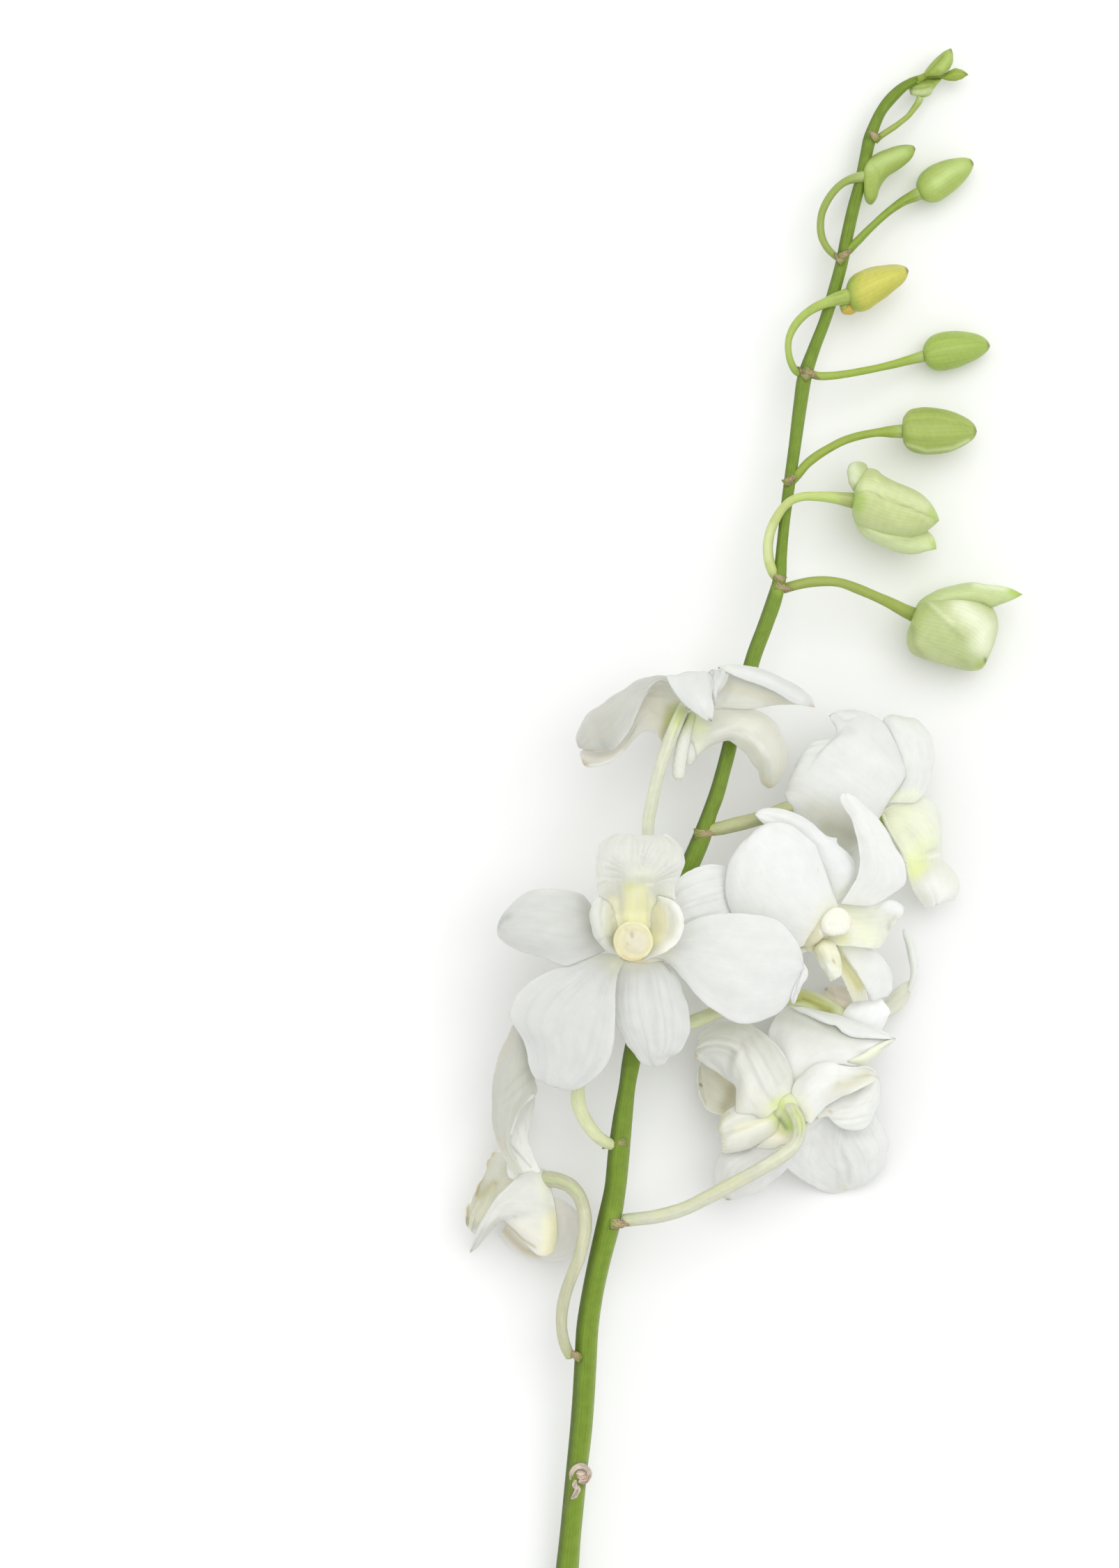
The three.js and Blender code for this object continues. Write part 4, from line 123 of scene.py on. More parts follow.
  { 'L': [[908,1322],[876,1310],[850,1300],[835,1284],[820,1279],[800,1276],[785,1276],[765,1278],[750,1284],[735,1297],[722,1312],[715,1328]], 'R': [[906,1350],[876,1362],[850,1372],[830,1380],[812,1386],[800,1383],[782,1376],[765,1370],[750,1366],[735,1360],[722,1351],[715,1342],[715,1328]], 'z': [[0,31.4,31.4,31.4],[0.14,33.4,34,33.8],[0.3,35,37.2,35.5],[0.5,34.5,37.6,35],[0.75,31,35.5,32.5],[0.9,28.5,32,29.5],[1,28,28,28]], 'c': 'w', 'k': 'sheet' },
  { 'L': [[912,1312],[940,1296],[962,1278],[977,1258],[990,1249],[1005,1243],[1020,1240],[1035,1241],[1050,1246],[1063,1258],[1070,1274]], 'R': [[914,1342],[946,1346],[970,1338],[985,1331],[1005,1325],[1030,1319],[1055,1308],[1067,1292],[1070,1274]], 'z': [[0,31,31,31],[0.15,32.6,33,33],[0.35,33.5,34.5,34.5],[0.6,31.5,33,33],[0.85,29.5,31,31],[1,29,29,29]], 'c': 'w', 'k': 'sheet' },
  { 'L': [[880,1362],[884,1335],[890,1310],[899,1290],[912,1281]], 'R': [[938,1360],[940,1335],[936,1310],[928,1290],[912,1281]], 'z': [[0,32.6,1.8],[0.3,32,2.6],[0.6,30.6,2.6],[0.85,29.4,1.9],[1,28.8,0.4]], 'c': 'g', 'k': 'blob' },
 ],
 'flower_3_petal_1': [
  { 'L': [[884,1370],[868,1368],[850,1372],[820,1383],[795,1392],[770,1403],[755,1413],[742,1427],[733,1445],[731,1458],[737,1470],[750,1490],[757,1510],[760,1530],[769,1549],[783,1553],[797,1560]], 'R': [[896,1379],[886,1400],[883,1440],[883,1475],[880,1500],[875,1520],[865,1535],[850,1550],[832,1561],[815,1565],[797,1560]], 'z': [[0,35.5,35.5,35.5],[0.25,34.5,37.5,37.5],[0.5,33.5,38,37.5],[0.75,32.5,36.5,36.5],[0.92,32.5,34.5,34.5],[1,33,33,33]], 'c': 'w', 'k': 'sheet' },
 ],
 'flower_3_petal_2': [
  { 'L': [[948,1352],[970,1335],[985,1325],[1000,1318],[1025,1312],[1050,1310],[1075,1311],[1095,1313],[1115,1320],[1130,1333],[1143,1350],[1150,1370],[1153,1392]], 'R': [[948,1372],[965,1387],[975,1398],[985,1410],[995,1423],[1010,1438],[1025,1450],[1040,1460],[1055,1467],[1070,1469],[1087,1467],[1105,1460],[1118,1453],[1131,1440],[1141,1425],[1149,1408],[1153,1392]], 'z': [[0,35.8,35.8,35.8],[0.2,38,38.5,37.5],[0.45,39.5,41.2,39],[0.7,39.6,41.6,39],[0.9,39,40,38.2],[1,38,38,38]], 'c': 'w', 'k': 'sheet' },
 ],
 'flower_3_lip': [
  { 'rows': [[[884,1342,34.6],[890,1343,34.6],[899,1344,34.6],[909,1345,34.6],[919,1344,34.6],[928,1343,34.6],[935,1342,34.6]],[[883,1361,45.5],[862,1356,42.5],[872,1340,38.6],[909,1334,37],[944,1340,38.6],[958,1354,43],[950,1362,46.5]],[[880,1344,49.5],[853,1334,46],[868,1326,40.8],[910,1320,38.6],[946,1325,40.5],[972,1336,44],[968,1348,48]],[[874,1318,51],[847,1312,47.5],[868,1308,43],[911,1302,40.2],[944,1308,43.5],[972,1314,47],[981,1316,50]],[[866,1294,51.5],[852,1294,50],[874,1288,46],[912,1284,43],[944,1287,46],[966,1291,49.5],[973,1290,51]],[[859,1273,50.5],[868,1271,50.4],[888,1268,48.6],[914,1264,46.8],[942,1267,48.8],[961,1271,50.4],[970,1274,50]],[[856,1248,48.5],[866,1247,50.4],[888,1245,51.3],[916,1242,50.6],[946,1244,51.2],[970,1246,50.4],[981,1248,48.5]],[[858,1222,45.5],[868,1220,48],[890,1219,50],[917,1217,50.6],[946,1218,49.8],[970,1221,48],[981,1224,46]],[[868,1206,43.6],[876,1203,45.6],[893,1202,47.4],[917,1203,48],[943,1202,47],[962,1204,45.6],[973,1209,44.2]],[[880,1199,43],[885,1197,44.3],[897,1197,45.8],[916,1199.5,46.3],[936,1199,45.6],[950,1198,44.6],[960,1200,43.8]]], 'c': 'l', 'n': 9, 'm': 7, 'k': 'rows' },
 ],
 'flower_3_column': [
  { 'path': [[909,1374,34.8,2.3,2.3],[909,1368,38,2.9,2.9],[909,1361,42,3.3,3.3],[908,1354,45.5,3.9,3.9],[908,1349,48.3,4.45,4.3],[908,1345,50,3.5,3.5],[908,1343,50.7,1.2,1.2]], 'c': 'c', 'ns': 10, 'k': 'tube' },
 ],
 'flower_4_pedicel': [
  { 'path': [[932,1482,23,1.4],[950,1480,24,1.5],[975,1472,24.2,1.55],[1000,1464,23.8,1.6],[1035,1450,22.8,1.6],[1080,1438,21.2,1.6],[1120,1431,19.8,1.7],[1148,1431,18.8,1.9],[1172,1440,17.8,2.1],[1192,1452,16.8,2.2],[1204,1460,16,2.1]], 'c': 'p', 'k': 'tube' },
 ],
 'flower_4_dorsal_sepal': [
  { 'L': [[1250,1464],[1276,1448],[1296,1428],[1306,1408],[1305,1385],[1302,1362],[1297,1340]], 'R': [[1258,1474],[1284,1458],[1305,1438],[1315,1418],[1318,1395],[1314,1372],[1308,1354],[1297,1340]], 'z': [[0,6,6,6],[0.3,5,5,4.6],[0.7,8,8.4,6.6],[1,9,9,9]], 'c': 'w', 'k': 'sheet' },
 ],
 'flower_4_lateral_sepals': [
  { 'L': [[1202,1464],[1189,1450],[1183,1436],[1184,1419]], 'R': [[1224,1456],[1224,1438],[1213,1416],[1198,1413],[1184,1419]], 'z': [[0,11.6,12,11.6],[0.5,10.6,12,10.6],[1,10,10,10]], 'c': 'br2', 'k': 'sheet' },
  { 'L': [[1200,1470],[1183,1482],[1166,1496],[1156,1514]], 'R': [[1222,1472],[1214,1494],[1194,1512],[1156,1514]], 'z': [[0,11,11.4,11],[0.5,7,8,6.6],[1,2.6,2.6,2.6]], 'c': 'w', 'k': 'sheet' },
  { 'L': [[1196,1462],[1194,1476],[1200,1488]], 'R': [[1226,1460],[1222,1478],[1200,1488]], 'z': [[0,11.4,1.4],[0.5,10.4,1.8],[1,9.6,0.5]], 'c': 'g', 'k': 'blob' },
 ],
 'flower_4_petal_1': [
  { 'L': [[1205,1466],[1212,1450],[1225,1437],[1238,1429],[1250,1426],[1262,1432],[1272,1442],[1277,1451]], 'R': [[1208,1480],[1228,1494],[1248,1492],[1262,1482],[1271,1468],[1277,1451]], 'z': [[0,14.6,14.6,14.6],[0.3,14.4,15.4,13],[0.6,13.8,14.6,12],[1,12,12,12]], 'c': 'w', 'k': 'sheet' },
 ],
 'flower_4_petal_2': [
  { 'L': [[1222,1460],[1250,1452],[1268,1438],[1280,1424],[1294,1412],[1308,1407]], 'R': [[1230,1476],[1256,1474],[1277,1460],[1292,1449],[1304,1433],[1308,1407]], 'z': [[0,10.6,10.6,10.6],[0.4,9,9.6,8.4],[0.8,8,8.4,7],[1,7.6,7.6,7.6]], 'c': 'w', 'k': 'sheet' },
 ],
 'flower_4_lip': [
  { 'L': [[1222,1466],[1240,1470],[1252,1484],[1250,1502],[1244,1512]], 'R': [[1216,1474],[1216,1490],[1224,1504],[1234,1512],[1244,1512]], 'z': [[0,7.6,7.6,7.6],[0.4,4.2,3.2,4.2],[0.8,1.2,0.7,1.2],[1,0.4,0.4,0.4]], 'c': 'w', 'k': 'sheet' },
 ],
 'flower_4_column': [
  { 'path': [[1216,1468,12.8,1.4],[1224,1472,11.4,1.5],[1232,1476,10,1.6],[1237,1478,9,1.2],[1239,1479,8.6,0.5]], 'c': 'c', 'k': 'tube' },
 ],
 'flower_5_pedicel': [
  { 'path': [[946,1318,25.5,1.25],[936,1305,28,1.3],[931,1280,30,1.32],[930,1245,31.2,1.33],[930,1205,32.2,1.34],[931,1175,32.9,1.35],[936,1150,33.5,1.35],[941,1125,34.1,1.35],[948,1100,34.7,1.38],[956,1075,35.2,1.5],[966,1053,35.4,1.7],[976,1036,35,1.9],[983,1024,33.8,2]], 'c': 'p', 'k': 'tube' },
 ],
 'flower_5_dorsal_sepal': [
  { 'L': [[978,1014],[966,992],[956,972],[962,985],[975,1003],[988,1018],[1000,1028],[1011,1036],[1021,1035]], 'R': [[1004,1012],[1030,982],[1044,964],[1046,975],[1040,990],[1031,1003],[1027,1018],[1025,1028],[1021,1035]], 'z': [[0,34,34,34],[0.22,36.4,37,36.4],[0.36,39.8,41,40],[0.46,40.2,41.8,40],[0.7,40.6,42,40.6],[1,41,41,41]], 'c': 'w', 'M': [[991,1013],[996,988],[999,964],[1001,976],[1006,994],[1012,1012],[1017,1026],[1021,1035]], 'k': 'sheet' },
 ],
 'flower_5_lateral_sepals': [
  { 'L': [[992,1030],[965,1004],[942,997],[922,1012],[910,1030],[898,1050],[880,1066],[862,1072],[846,1080],[840,1094]], 'R': [[988,1078],[970,1082],[953,1070],[946,1058],[934,1051],[918,1054],[905,1064],[893,1078],[880,1090],[865,1098],[852,1101],[840,1094]], 'z': [[0,32.2,32,32.4],[0.12,31,30.6,31],[0.4,31.5,30,28.5],[0.7,30,30,27],[1,27,27,27]], 'c': 'w', 'k': 'sheet' },
  { 'L': [[990,1022],[1020,1017],[1050,1016],[1080,1018],[1100,1026],[1115,1040],[1125,1060],[1129,1080],[1128,1100],[1120,1117],[1111,1128],[1103,1131]], 'R': [[985,1085],[998,1086],[1010,1077],[1030,1065],[1045,1062],[1053,1066],[1065,1077],[1078,1090],[1088,1108],[1095,1125],[1103,1131]], 'z': [[0,31,33,32],[0.3,31,35.5,33],[0.55,30,34,31],[0.8,27,31,28],[1,26,26,26]], 'c': 'w', 'k': 'sheet' },
  { 'L': [[976,1042],[966,1070],[963,1095],[964,1110],[968,1119],[973,1121]], 'R': [[996,1050],[986,1080],[983,1098],[981,1110],[978,1118],[973,1121]], 'z': [[0,33,2],[0.4,34,1.8],[0.8,34,1.6],[1,34,0.5]], 'c': 'y', 'k': 'blob' },
  { 'L': [[985,1050],[980,1075],[979,1092],[984,1100]], 'R': [[1006,1060],[1001,1078],[995,1093],[984,1100]], 'z': [[0,31.5,2],[0.5,32,1.6],[1,32,0.5]], 'c': 'y', 'k': 'blob' },
 ],
 'flower_5_petal_1': [
  { 'L': [[978,986],[962,972],[948,969],[935,971],[920,975],[900,986],[880,998],[860,1012],[845,1025],[833,1042],[828,1058],[832,1073]], 'R': [[970,1000],[948,978],[938,984],[930,994],[921,1010],[914,1025],[906,1044],[893,1063],[880,1076],[862,1079],[845,1079],[832,1073]], 'z': [[0,33.5,33.5,33.5],[0.25,34,36.5,37],[0.5,33,37,38.5],[0.8,31,35,36],[1,31,31,31]], 'c': 'w', 'k': 'sheet' },
 ],
 'flower_5_petal_2': [
  { 'L': [[1000,1000],[1022,968],[1036,955],[1060,954],[1090,959],[1120,971],[1145,985],[1158,995],[1166,1005],[1169,1014]], 'R': [[1008,1014],[1030,1016],[1050,1016],[1075,1014],[1100,1012],[1120,1011],[1140,1011],[1155,1012],[1169,1014]], 'z': [[0,34,34,34],[0.25,34,37,33],[0.5,33,36.5,32],[0.8,31,33.5,30.5],[1,30,30,30]], 'c': 'w', 'M': [[1004,1006],[1030,973],[1052,968],[1078,979],[1100,988],[1122,998],[1142,1008],[1156,1011],[1169,1014]], 'k': 'sheet' },
 ],
 'flower_5_lip': [
  { 'rows': [[[975,1028,28],[980,1029,27.6],[985,1030,27.4],[990,1029,27.6],[995,1028,28]],[[958,1010,24],[970,1020,21],[985,1025,20],[1000,1020,21],[1012,1010,24]],[[950,995,18],[966,1010,14],[985,1018,12.5],[1004,1010,14],[1018,995,18]],[[948,985,10],[964,1000,8],[985,1008,7],[1006,1000,8],[1020,985,10]],[[952,982,2.6],[966,990,3],[985,994,3.2],[1004,990,3],[1016,982,2.6]],[[966,978,0.2],[974,978,0.4],[985,978,0.5],[996,978,0.4],[1004,978,0.2]]], 'c': 'l', 'k': 'rows' },
 ],
 'flower_5_column': [
  { 'path': [[985,1008,31,2],[985,1004,27,2.2],[984,1000,23,2.4],[984,996,19.5,2.6],[984,994,18,2.1],[984,993,17.2,0.8]], 'c': 'c', 'k': 'tube' },
 ],
 'flower_6_pedicel': [
  { 'path': [[996,1228,25,1.3],[1010,1240,25.6,1.35],[1035,1268,26.2,1.4],[1065,1298,26.6,1.45],[1100,1322,27,1.5],[1130,1336,27.4,1.65],[1152,1342,28,1.8],[1170,1342,29,1.9]], 'c': 'p', 'k': 'tube' },
 ],
 'flower_6_dorsal_sepal': [
  { 'L': [[1190,1296],[1172,1272],[1152,1242],[1127,1215],[1107,1192],[1095,1179],[1088,1174],[1084,1168]], 'R': [[1207,1290],[1216,1277],[1223,1265],[1226,1250],[1225,1238],[1220,1225],[1210,1215],[1200,1208],[1188,1203],[1178,1194],[1170,1184],[1160,1175],[1147,1168],[1132,1163],[1118,1160],[1105,1159],[1093,1161],[1084,1168]], 'z': [[0,29,29,29],[0.3,28.6,30,30],[0.6,29.5,30.6,29.5],[0.85,31,31.5,29.5],[1,31,31,31]], 'c': 'w', 'k': 'sheet' },
 ],
 'flower_6_lateral_sepals': [
  { 'rows': [[[1186,1358,25.6],[1196,1354,26],[1212,1352,25.5],[1230,1352,24]],[[1188,1374,22.6],[1208,1366,25],[1232,1361,23.6],[1252,1362,21.5]],[[1198,1392,19.8],[1221,1383,23.4],[1248,1368,22],[1268,1376,19]],[[1210,1408,17.6],[1234,1402,21.6],[1260,1390,20],[1279,1396,16.6]],[[1224,1422,16],[1245,1421,19.4],[1266,1412,17.6],[1281,1413,15]],[[1242,1432,15.2],[1252,1436,16.6],[1264,1432,15.6],[1275,1430,14.4]]], 'c': 'w', 'k': 'rows' },
  { 'L': [[1166,1348],[1135,1352],[1105,1372],[1085,1398],[1074,1425]], 'R': [[1178,1362],[1152,1368],[1141,1386],[1126,1406],[1102,1423],[1074,1425]], 'z': [[0,27.6,27.6,27.6],[0.35,26.5,27.4,26],[0.7,25,26,24.5],[1,24,24,24]], 'c': 'w', 'k': 'sheet' },
  { 'L': [[1156,1338],[1166,1330],[1180,1330],[1192,1338],[1199,1352]], 'R': [[1152,1357],[1162,1366],[1176,1368],[1190,1364],[1199,1352]], 'z': [[0,27.6,0.8],[0.4,27,2],[0.8,26.2,1.8],[1,26,0.5]], 'c': 'y', 'k': 'blob' },
 ],
 'flower_6_petal_1': [
  { 'L': [[1203,1300],[1199,1290],[1192,1270],[1185,1250],[1178,1230],[1170,1212],[1155,1198],[1142,1187],[1130,1181.5],[1115,1180],[1102,1181],[1088,1189],[1078,1200]], 'R': [[1172,1345],[1155,1357],[1130,1362],[1095,1354],[1065,1334],[1049,1310],[1043,1290],[1041,1270],[1043,1250],[1047,1235],[1055,1222],[1066,1211],[1078,1200]], 'z': [[0,30.5,30.5,30.5],[0.2,32,33.2,31],[0.45,33.2,35.2,32.4],[0.7,33.2,36,33.5],[0.9,33,35,33.6],[1,33,33,33]], 'c': 'w', 'k': 'sheet' },
 ],
 'flower_6_petal_2': [
  { 'L': [[1206,1297],[1222,1273],[1230,1258],[1234,1240],[1233,1220],[1228,1195],[1222,1175],[1213,1160],[1206,1149],[1207,1141],[1214,1138]], 'R': [[1245,1300],[1260,1296],[1272,1288],[1282,1282],[1292,1276],[1300,1267],[1301,1255],[1297,1238],[1285,1215],[1270,1190],[1255,1170],[1240,1154],[1228,1144],[1214,1138]], 'z': [[0,30.5,30.5,30.5],[0.2,32.5,33,31],[0.45,35.5,36,32.5],[0.7,37,37.5,34],[0.9,36.5,37.5,35.5],[1,36.5,36.5,36.5]], 'c': 'w', 'k': 'sheet' },
 ],
 'flower_6_lip': [
  { 'rows': [[[1198,1306,28],[1196,1316,27],[1193,1328,26.6],[1190,1340,26.8],[1186,1352,28]],[[1212,1300,30],[1216,1312,27],[1216,1326,25.8],[1210,1342,26.4],[1202,1357,28.6]],[[1236,1297,30.5],[1240,1310,27.5],[1238,1326,26],[1232,1344,27],[1224,1359,28.8]],[[1262,1294,29.5],[1263,1308,27.6],[1260,1325,26.5],[1252,1344,27],[1244,1360,28]],[[1284,1297,27.5],[1281,1307,26.5],[1275,1322,25.5],[1266,1342,25.5],[1258,1361,26.5]],[[1298,1305,25],[1293,1314,24.8],[1283,1326,24.3],[1274,1342,24.2],[1264,1357,24.8]]], 'c': 'l', 'k': 'rows' },
  { 'rows': [[[1196,1344,27.5],[1190,1347,28.2],[1184,1350,28.6]],[[1202,1358,28.6],[1190,1358,29.8],[1172,1356,29.4]],[[1206,1372,29],[1192,1372,30.4],[1174,1366,29.6]],[[1208,1386,28.6],[1196,1386,30.2],[1184,1382,29.4]],[[1212,1398,27.6],[1202,1398,29],[1190,1396,28.4]],[[1216,1408,26.5],[1210,1408,27.2],[1202,1407,27]]], 'c': 'l', 'k': 'rows' },
 ],
 'flower_6_column': [
  { 'L': [[1162,1350],[1164,1330],[1172,1316],[1186,1306],[1200,1303],[1213,1307],[1221,1317],[1223,1327]], 'R': [[1162,1350],[1170,1352],[1184,1347],[1196,1346],[1206,1343],[1214,1339],[1220,1334],[1223,1327]], 'z': [[0,31,1.5],[0.25,31.6,2.4],[0.5,32.6,2.8],[0.8,33.2,2.8],[0.93,33.3,2],[1,33.3,0.6]], 'c': 'c', 'k': 'blob' },
 ],
 'flower_7_pedicel': [
  { 'path': [[1018,1191,25,1.3],[1032,1189,25.3,1.5],[1052,1184,25.3,1.55],[1080,1177,24.8,1.55],[1104,1170,24.2,1.55],[1130,1160,23.2,1.55],[1165,1158,21.8,1.6],[1205,1162,21,1.75],[1238,1168,21.2,1.9],[1256,1168,22,2]], 'c': 'p', 'k': 'tube' },
 ],
 'flower_7_dorsal_sepal': [
  { 'L': [[1262,1156],[1258,1120],[1246,1095],[1232,1075],[1216,1057],[1206,1050],[1199,1041],[1192,1033],[1189,1027]], 'R': [[1276,1152],[1288,1136],[1299,1118],[1299,1105],[1292,1088],[1283,1068],[1274,1050],[1266,1038],[1252,1029],[1235,1022],[1215,1018],[1200,1020],[1189,1027]], 'z': [[0,23,23,23],[0.25,24,25,24],[0.55,24,25.6,23.6],[0.85,21,23,20.5],[1,19,19,19]], 'c': 'w', 'k': 'sheet' },
 ],
 'flower_7_lateral_sepals': [
  { 'L': [[1250,1162],[1218,1176],[1192,1198],[1181,1228],[1186,1260],[1199,1280]], 'R': [[1266,1182],[1258,1210],[1246,1240],[1230,1264],[1214,1277],[1199,1280]], 'z': [[0,19.6,19.6,19.6],[0.3,19,20,18.5],[0.65,17.5,19,17],[1,16,16,16]], 'c': 'w', 'k': 'sheet' },
  { 'L': [[1268,1172],[1290,1178],[1312,1192],[1328,1210],[1334,1230]], 'R': [[1262,1188],[1275,1208],[1295,1226],[1315,1234],[1334,1230]], 'z': [[0,17,17,17],[0.4,12,11,13],[0.75,4,4.5,6],[1,-0.4,-0.4,-0.4]], 'c': 'w', 'k': 'sheet' },
  { 'L': [[1246,1160],[1240,1175],[1236,1190],[1234,1204]], 'R': [[1276,1176],[1266,1192],[1252,1204],[1234,1204]], 'z': [[0,18.6,1.2],[0.3,17,2.2],[0.7,14.6,2],[1,13,0.6]], 'c': 'g', 'k': 'blob' },
 ],
 'flower_7_petal_1': [
  { 'L': [[1266,1158],[1280,1138],[1284,1115],[1274,1088],[1250,1067],[1232,1059],[1215,1056],[1200,1056],[1185,1057],[1170,1063],[1156,1070],[1148,1084],[1140,1100]], 'R': [[1254,1174],[1236,1190],[1205,1200],[1175,1192],[1150,1180],[1133,1162],[1126,1145],[1127,1130],[1131,1117],[1140,1100]], 'z': [[0,24,24,24],[0.2,26.5,27,24.8],[0.45,28,29.5,26],[0.7,26.5,29.5,26],[0.9,24,27,24],[1,23.5,23.5,23.5]], 'c': 'w', 'k': 'sheet' },
 ],
 'flower_7_petal_2': [
  { 'L': [[1272,1152],[1281,1130],[1288,1112],[1284,1092],[1276,1070],[1268,1050],[1266,1038],[1270,1030],[1279,1026]], 'R': [[1312,1152],[1324,1142],[1332,1126],[1338,1106],[1340,1085],[1337,1062],[1329,1046],[1317,1034],[1300,1029],[1279,1026]], 'z': [[0,21.5,21.5,21.5],[0.3,20.5,22.5,20],[0.6,19.5,21.5,18],[0.9,17,18.5,16],[1,16,16,16]], 'c': 'w', 'k': 'sheet' },
 ],
 'flower_7_lip': [
  { 'rows': [[[1266,1164,20],[1266,1167,19],[1267,1171,18.5],[1268,1175,19],[1268,1179,20]],[[1284,1150,22],[1288,1162,18.5],[1286,1176,16.5],[1280,1186,18],[1274,1192,21.5]],[[1308,1143,21.5],[1312,1160,17.5],[1306,1180,15],[1294,1196,17],[1284,1210,21.5]],[[1334,1149,19.5],[1334,1170,16.5],[1324,1192,13.6],[1306,1208,15.5],[1293,1226,20.5]],[[1351,1176,17.5],[1346,1192,15.5],[1334,1208,12.6],[1316,1222,14.5],[1300,1241,18.5]],[[1349,1210,16],[1344,1218,15.2],[1334,1228,13.2],[1318,1238,13.8],[1303,1252,16]],[[1356,1236,13],[1348,1240,14],[1336,1246,13.8],[1320,1254,13.4],[1306,1264,13]],[[1374,1262,10],[1362,1264,11.8],[1345,1268,12.2],[1328,1272,11.4],[1312,1280,10]],[[1374,1284,8.6],[1362,1287,9.6],[1348,1288,10],[1335,1290,9.6],[1321,1294,8.6]],[[1364,1291,8],[1356,1293,8.6],[1347,1294,8.8],[1340,1302,8.4],[1331,1306,7.8]]], 'c': 'l', 'k': 'rows' },
 ],
 'flower_7_column': [
  { 'L': [[1258,1162],[1266,1154],[1278,1150],[1290,1153],[1300,1160],[1305,1170]], 'R': [[1262,1178],[1268,1184],[1280,1188],[1292,1186],[1301,1179],[1305,1170]], 'z': [[0,22,1.6],[0.3,22.4,2.3],[0.7,23,2.5],[0.92,23,1.8],[1,23,0.5]], 'c': 'c', 'k': 'blob' },
 ],
 'bud_01': [
  { 'path': [[1124,845,18,1.05],[1140,838,18.4,1.1],[1160,833,18.2,1.12],[1180,832,17.8,1.15],[1205,835,16.9,1.2],[1230,844,15.6,1.3],[1255,855,14.2,1.4],[1280,868,12.6,1.55],[1300,878,11.4,1.7],[1316,884,10.4,1.8]], 'c': 'p', 'k': 'tube' },
  { 'L': [[1310,884],[1315,870],[1325,860],[1340,853],[1355,848],[1375,839],[1395,836],[1412,838],[1430,840],[1450,845],[1467,853]], 'R': [[1310,886],[1303,905],[1302,922],[1305,936],[1316,946],[1330,950],[1350,952],[1370,958],[1388,963],[1404,963],[1415,953],[1424,932],[1432,915],[1430,890],[1426,874],[1437,868],[1450,863],[1467,853]], 'z': [[0,9.9,2.4],[0.12,9.7,6],[0.3,9.5,9],[0.5,9.5,9.2],[0.68,9.9,7.6],[0.82,10.6,3.6],[0.9,11,1.2],[1,11,0.4]], 'c': 'b', 'k': 'blob' },
 ],
 'bud_02': [
  { 'path': [[1119,832,17.8,1.05],[1110,822,18.8,1.1],[1104,805,18.6,1.12],[1102,785,18.4,1.15],[1106,762,18.4,1.2],[1113,744,18.6,1.25],[1123,727,19,1.3],[1136,716,19.2,1.35],[1152,711,19,1.45],[1172,710,18.2,1.55],[1196,712,17,1.65],[1224,717,15.4,1.75]], 'c': 'p', 'k': 'tube' },
  { 'L': [[1224,712],[1220,696],[1216,681],[1217,670],[1223,664],[1232,663],[1242,668],[1257,673],[1268,682],[1282,690],[1300,697],[1315,704],[1330,715],[1340,728],[1346,740],[1345,752],[1344,770],[1344,788]], 'R': [[1222,728],[1224,745],[1230,757],[1240,770],[1252,777],[1266,784],[1285,792],[1300,795],[1315,795],[1330,791],[1344,788]], 'z': [[0,13.6,2.2],[0.15,13,6],[0.35,12.6,8.8],[0.6,12.4,9],[0.8,12.6,7],[0.93,13,3],[1,13,0.5]], 'c': 'b', 'k': 'blob' },
 ],
 'bud_03': [
  { 'path': [[1136,690,15,0.9],[1145,678,15.8,0.95],[1156,664,16,1],[1172,650,15.8,1.05],[1190,640,15.2,1.1],[1210,631,14.4,1.2],[1235,623,13.2,1.3],[1262,619,12,1.45],[1280,618,11.2,1.55],[1300,618,10.4,1.6]], 'c': 'p', 'k': 'tube' },
  { 'L': [[1295,612],[1296,600],[1303,591],[1318,586],[1338,585],[1358,589],[1376,596],[1392,607],[1402,619]], 'R': [[1295,624],[1296,636],[1303,645],[1318,650],[1338,651],[1358,647],[1376,641],[1392,632],[1402,619]], 'z': [[0,9.2,2.4],[0.12,9,4.6],[0.35,8.8,5.4],[0.65,8.8,5],[0.88,8.8,2.6],[1,8.8,0.4]], 'c': 'g', 'k': 'blob' },
 ],
 'bud_04': [
  { 'path': [[1160,534,12.2,0.9],[1172,538,12.6,0.92],[1190,538,12.2,0.95],[1215,535,11.2,1],[1245,529,9.6,1.05],[1275,522,8,1.1],[1302,515,6.6,1.2],[1328,509,5.4,1.3]], 'c': 'p', 'k': 'tube' },
  { 'L': [[1324,508],[1326,496],[1334,484],[1346,478],[1370,475],[1393,478],[1410,484],[1421,495]], 'R': [[1326,514],[1332,527],[1345,532],[1360,531],[1376,526],[1395,517],[1411,507],[1421,495]], 'z': [[0,4.8,1.8],[0.15,4.6,3.8],[0.4,4.6,4.6],[0.7,4.6,4],[0.9,4.6,2],[1,4.6,0.4]], 'c': 'g', 'k': 'blob' },
 ],
 'bud_05': [
  { 'path': [[1152,538,12.2,0.85],[1142,532,13,0.88],[1134,520,13.2,0.9],[1130,503,13,0.92],[1131,485,12.8,0.95],[1138,470,12.8,1],[1149,455,13,1.05],[1164,443,13.2,1.1],[1180,436,13.2,1.2],[1196,430,12.8,1.35],[1208,427,12.2,1.5],[1220,424,11.4,1.6]], 'c': 'p', 'k': 'tube' },
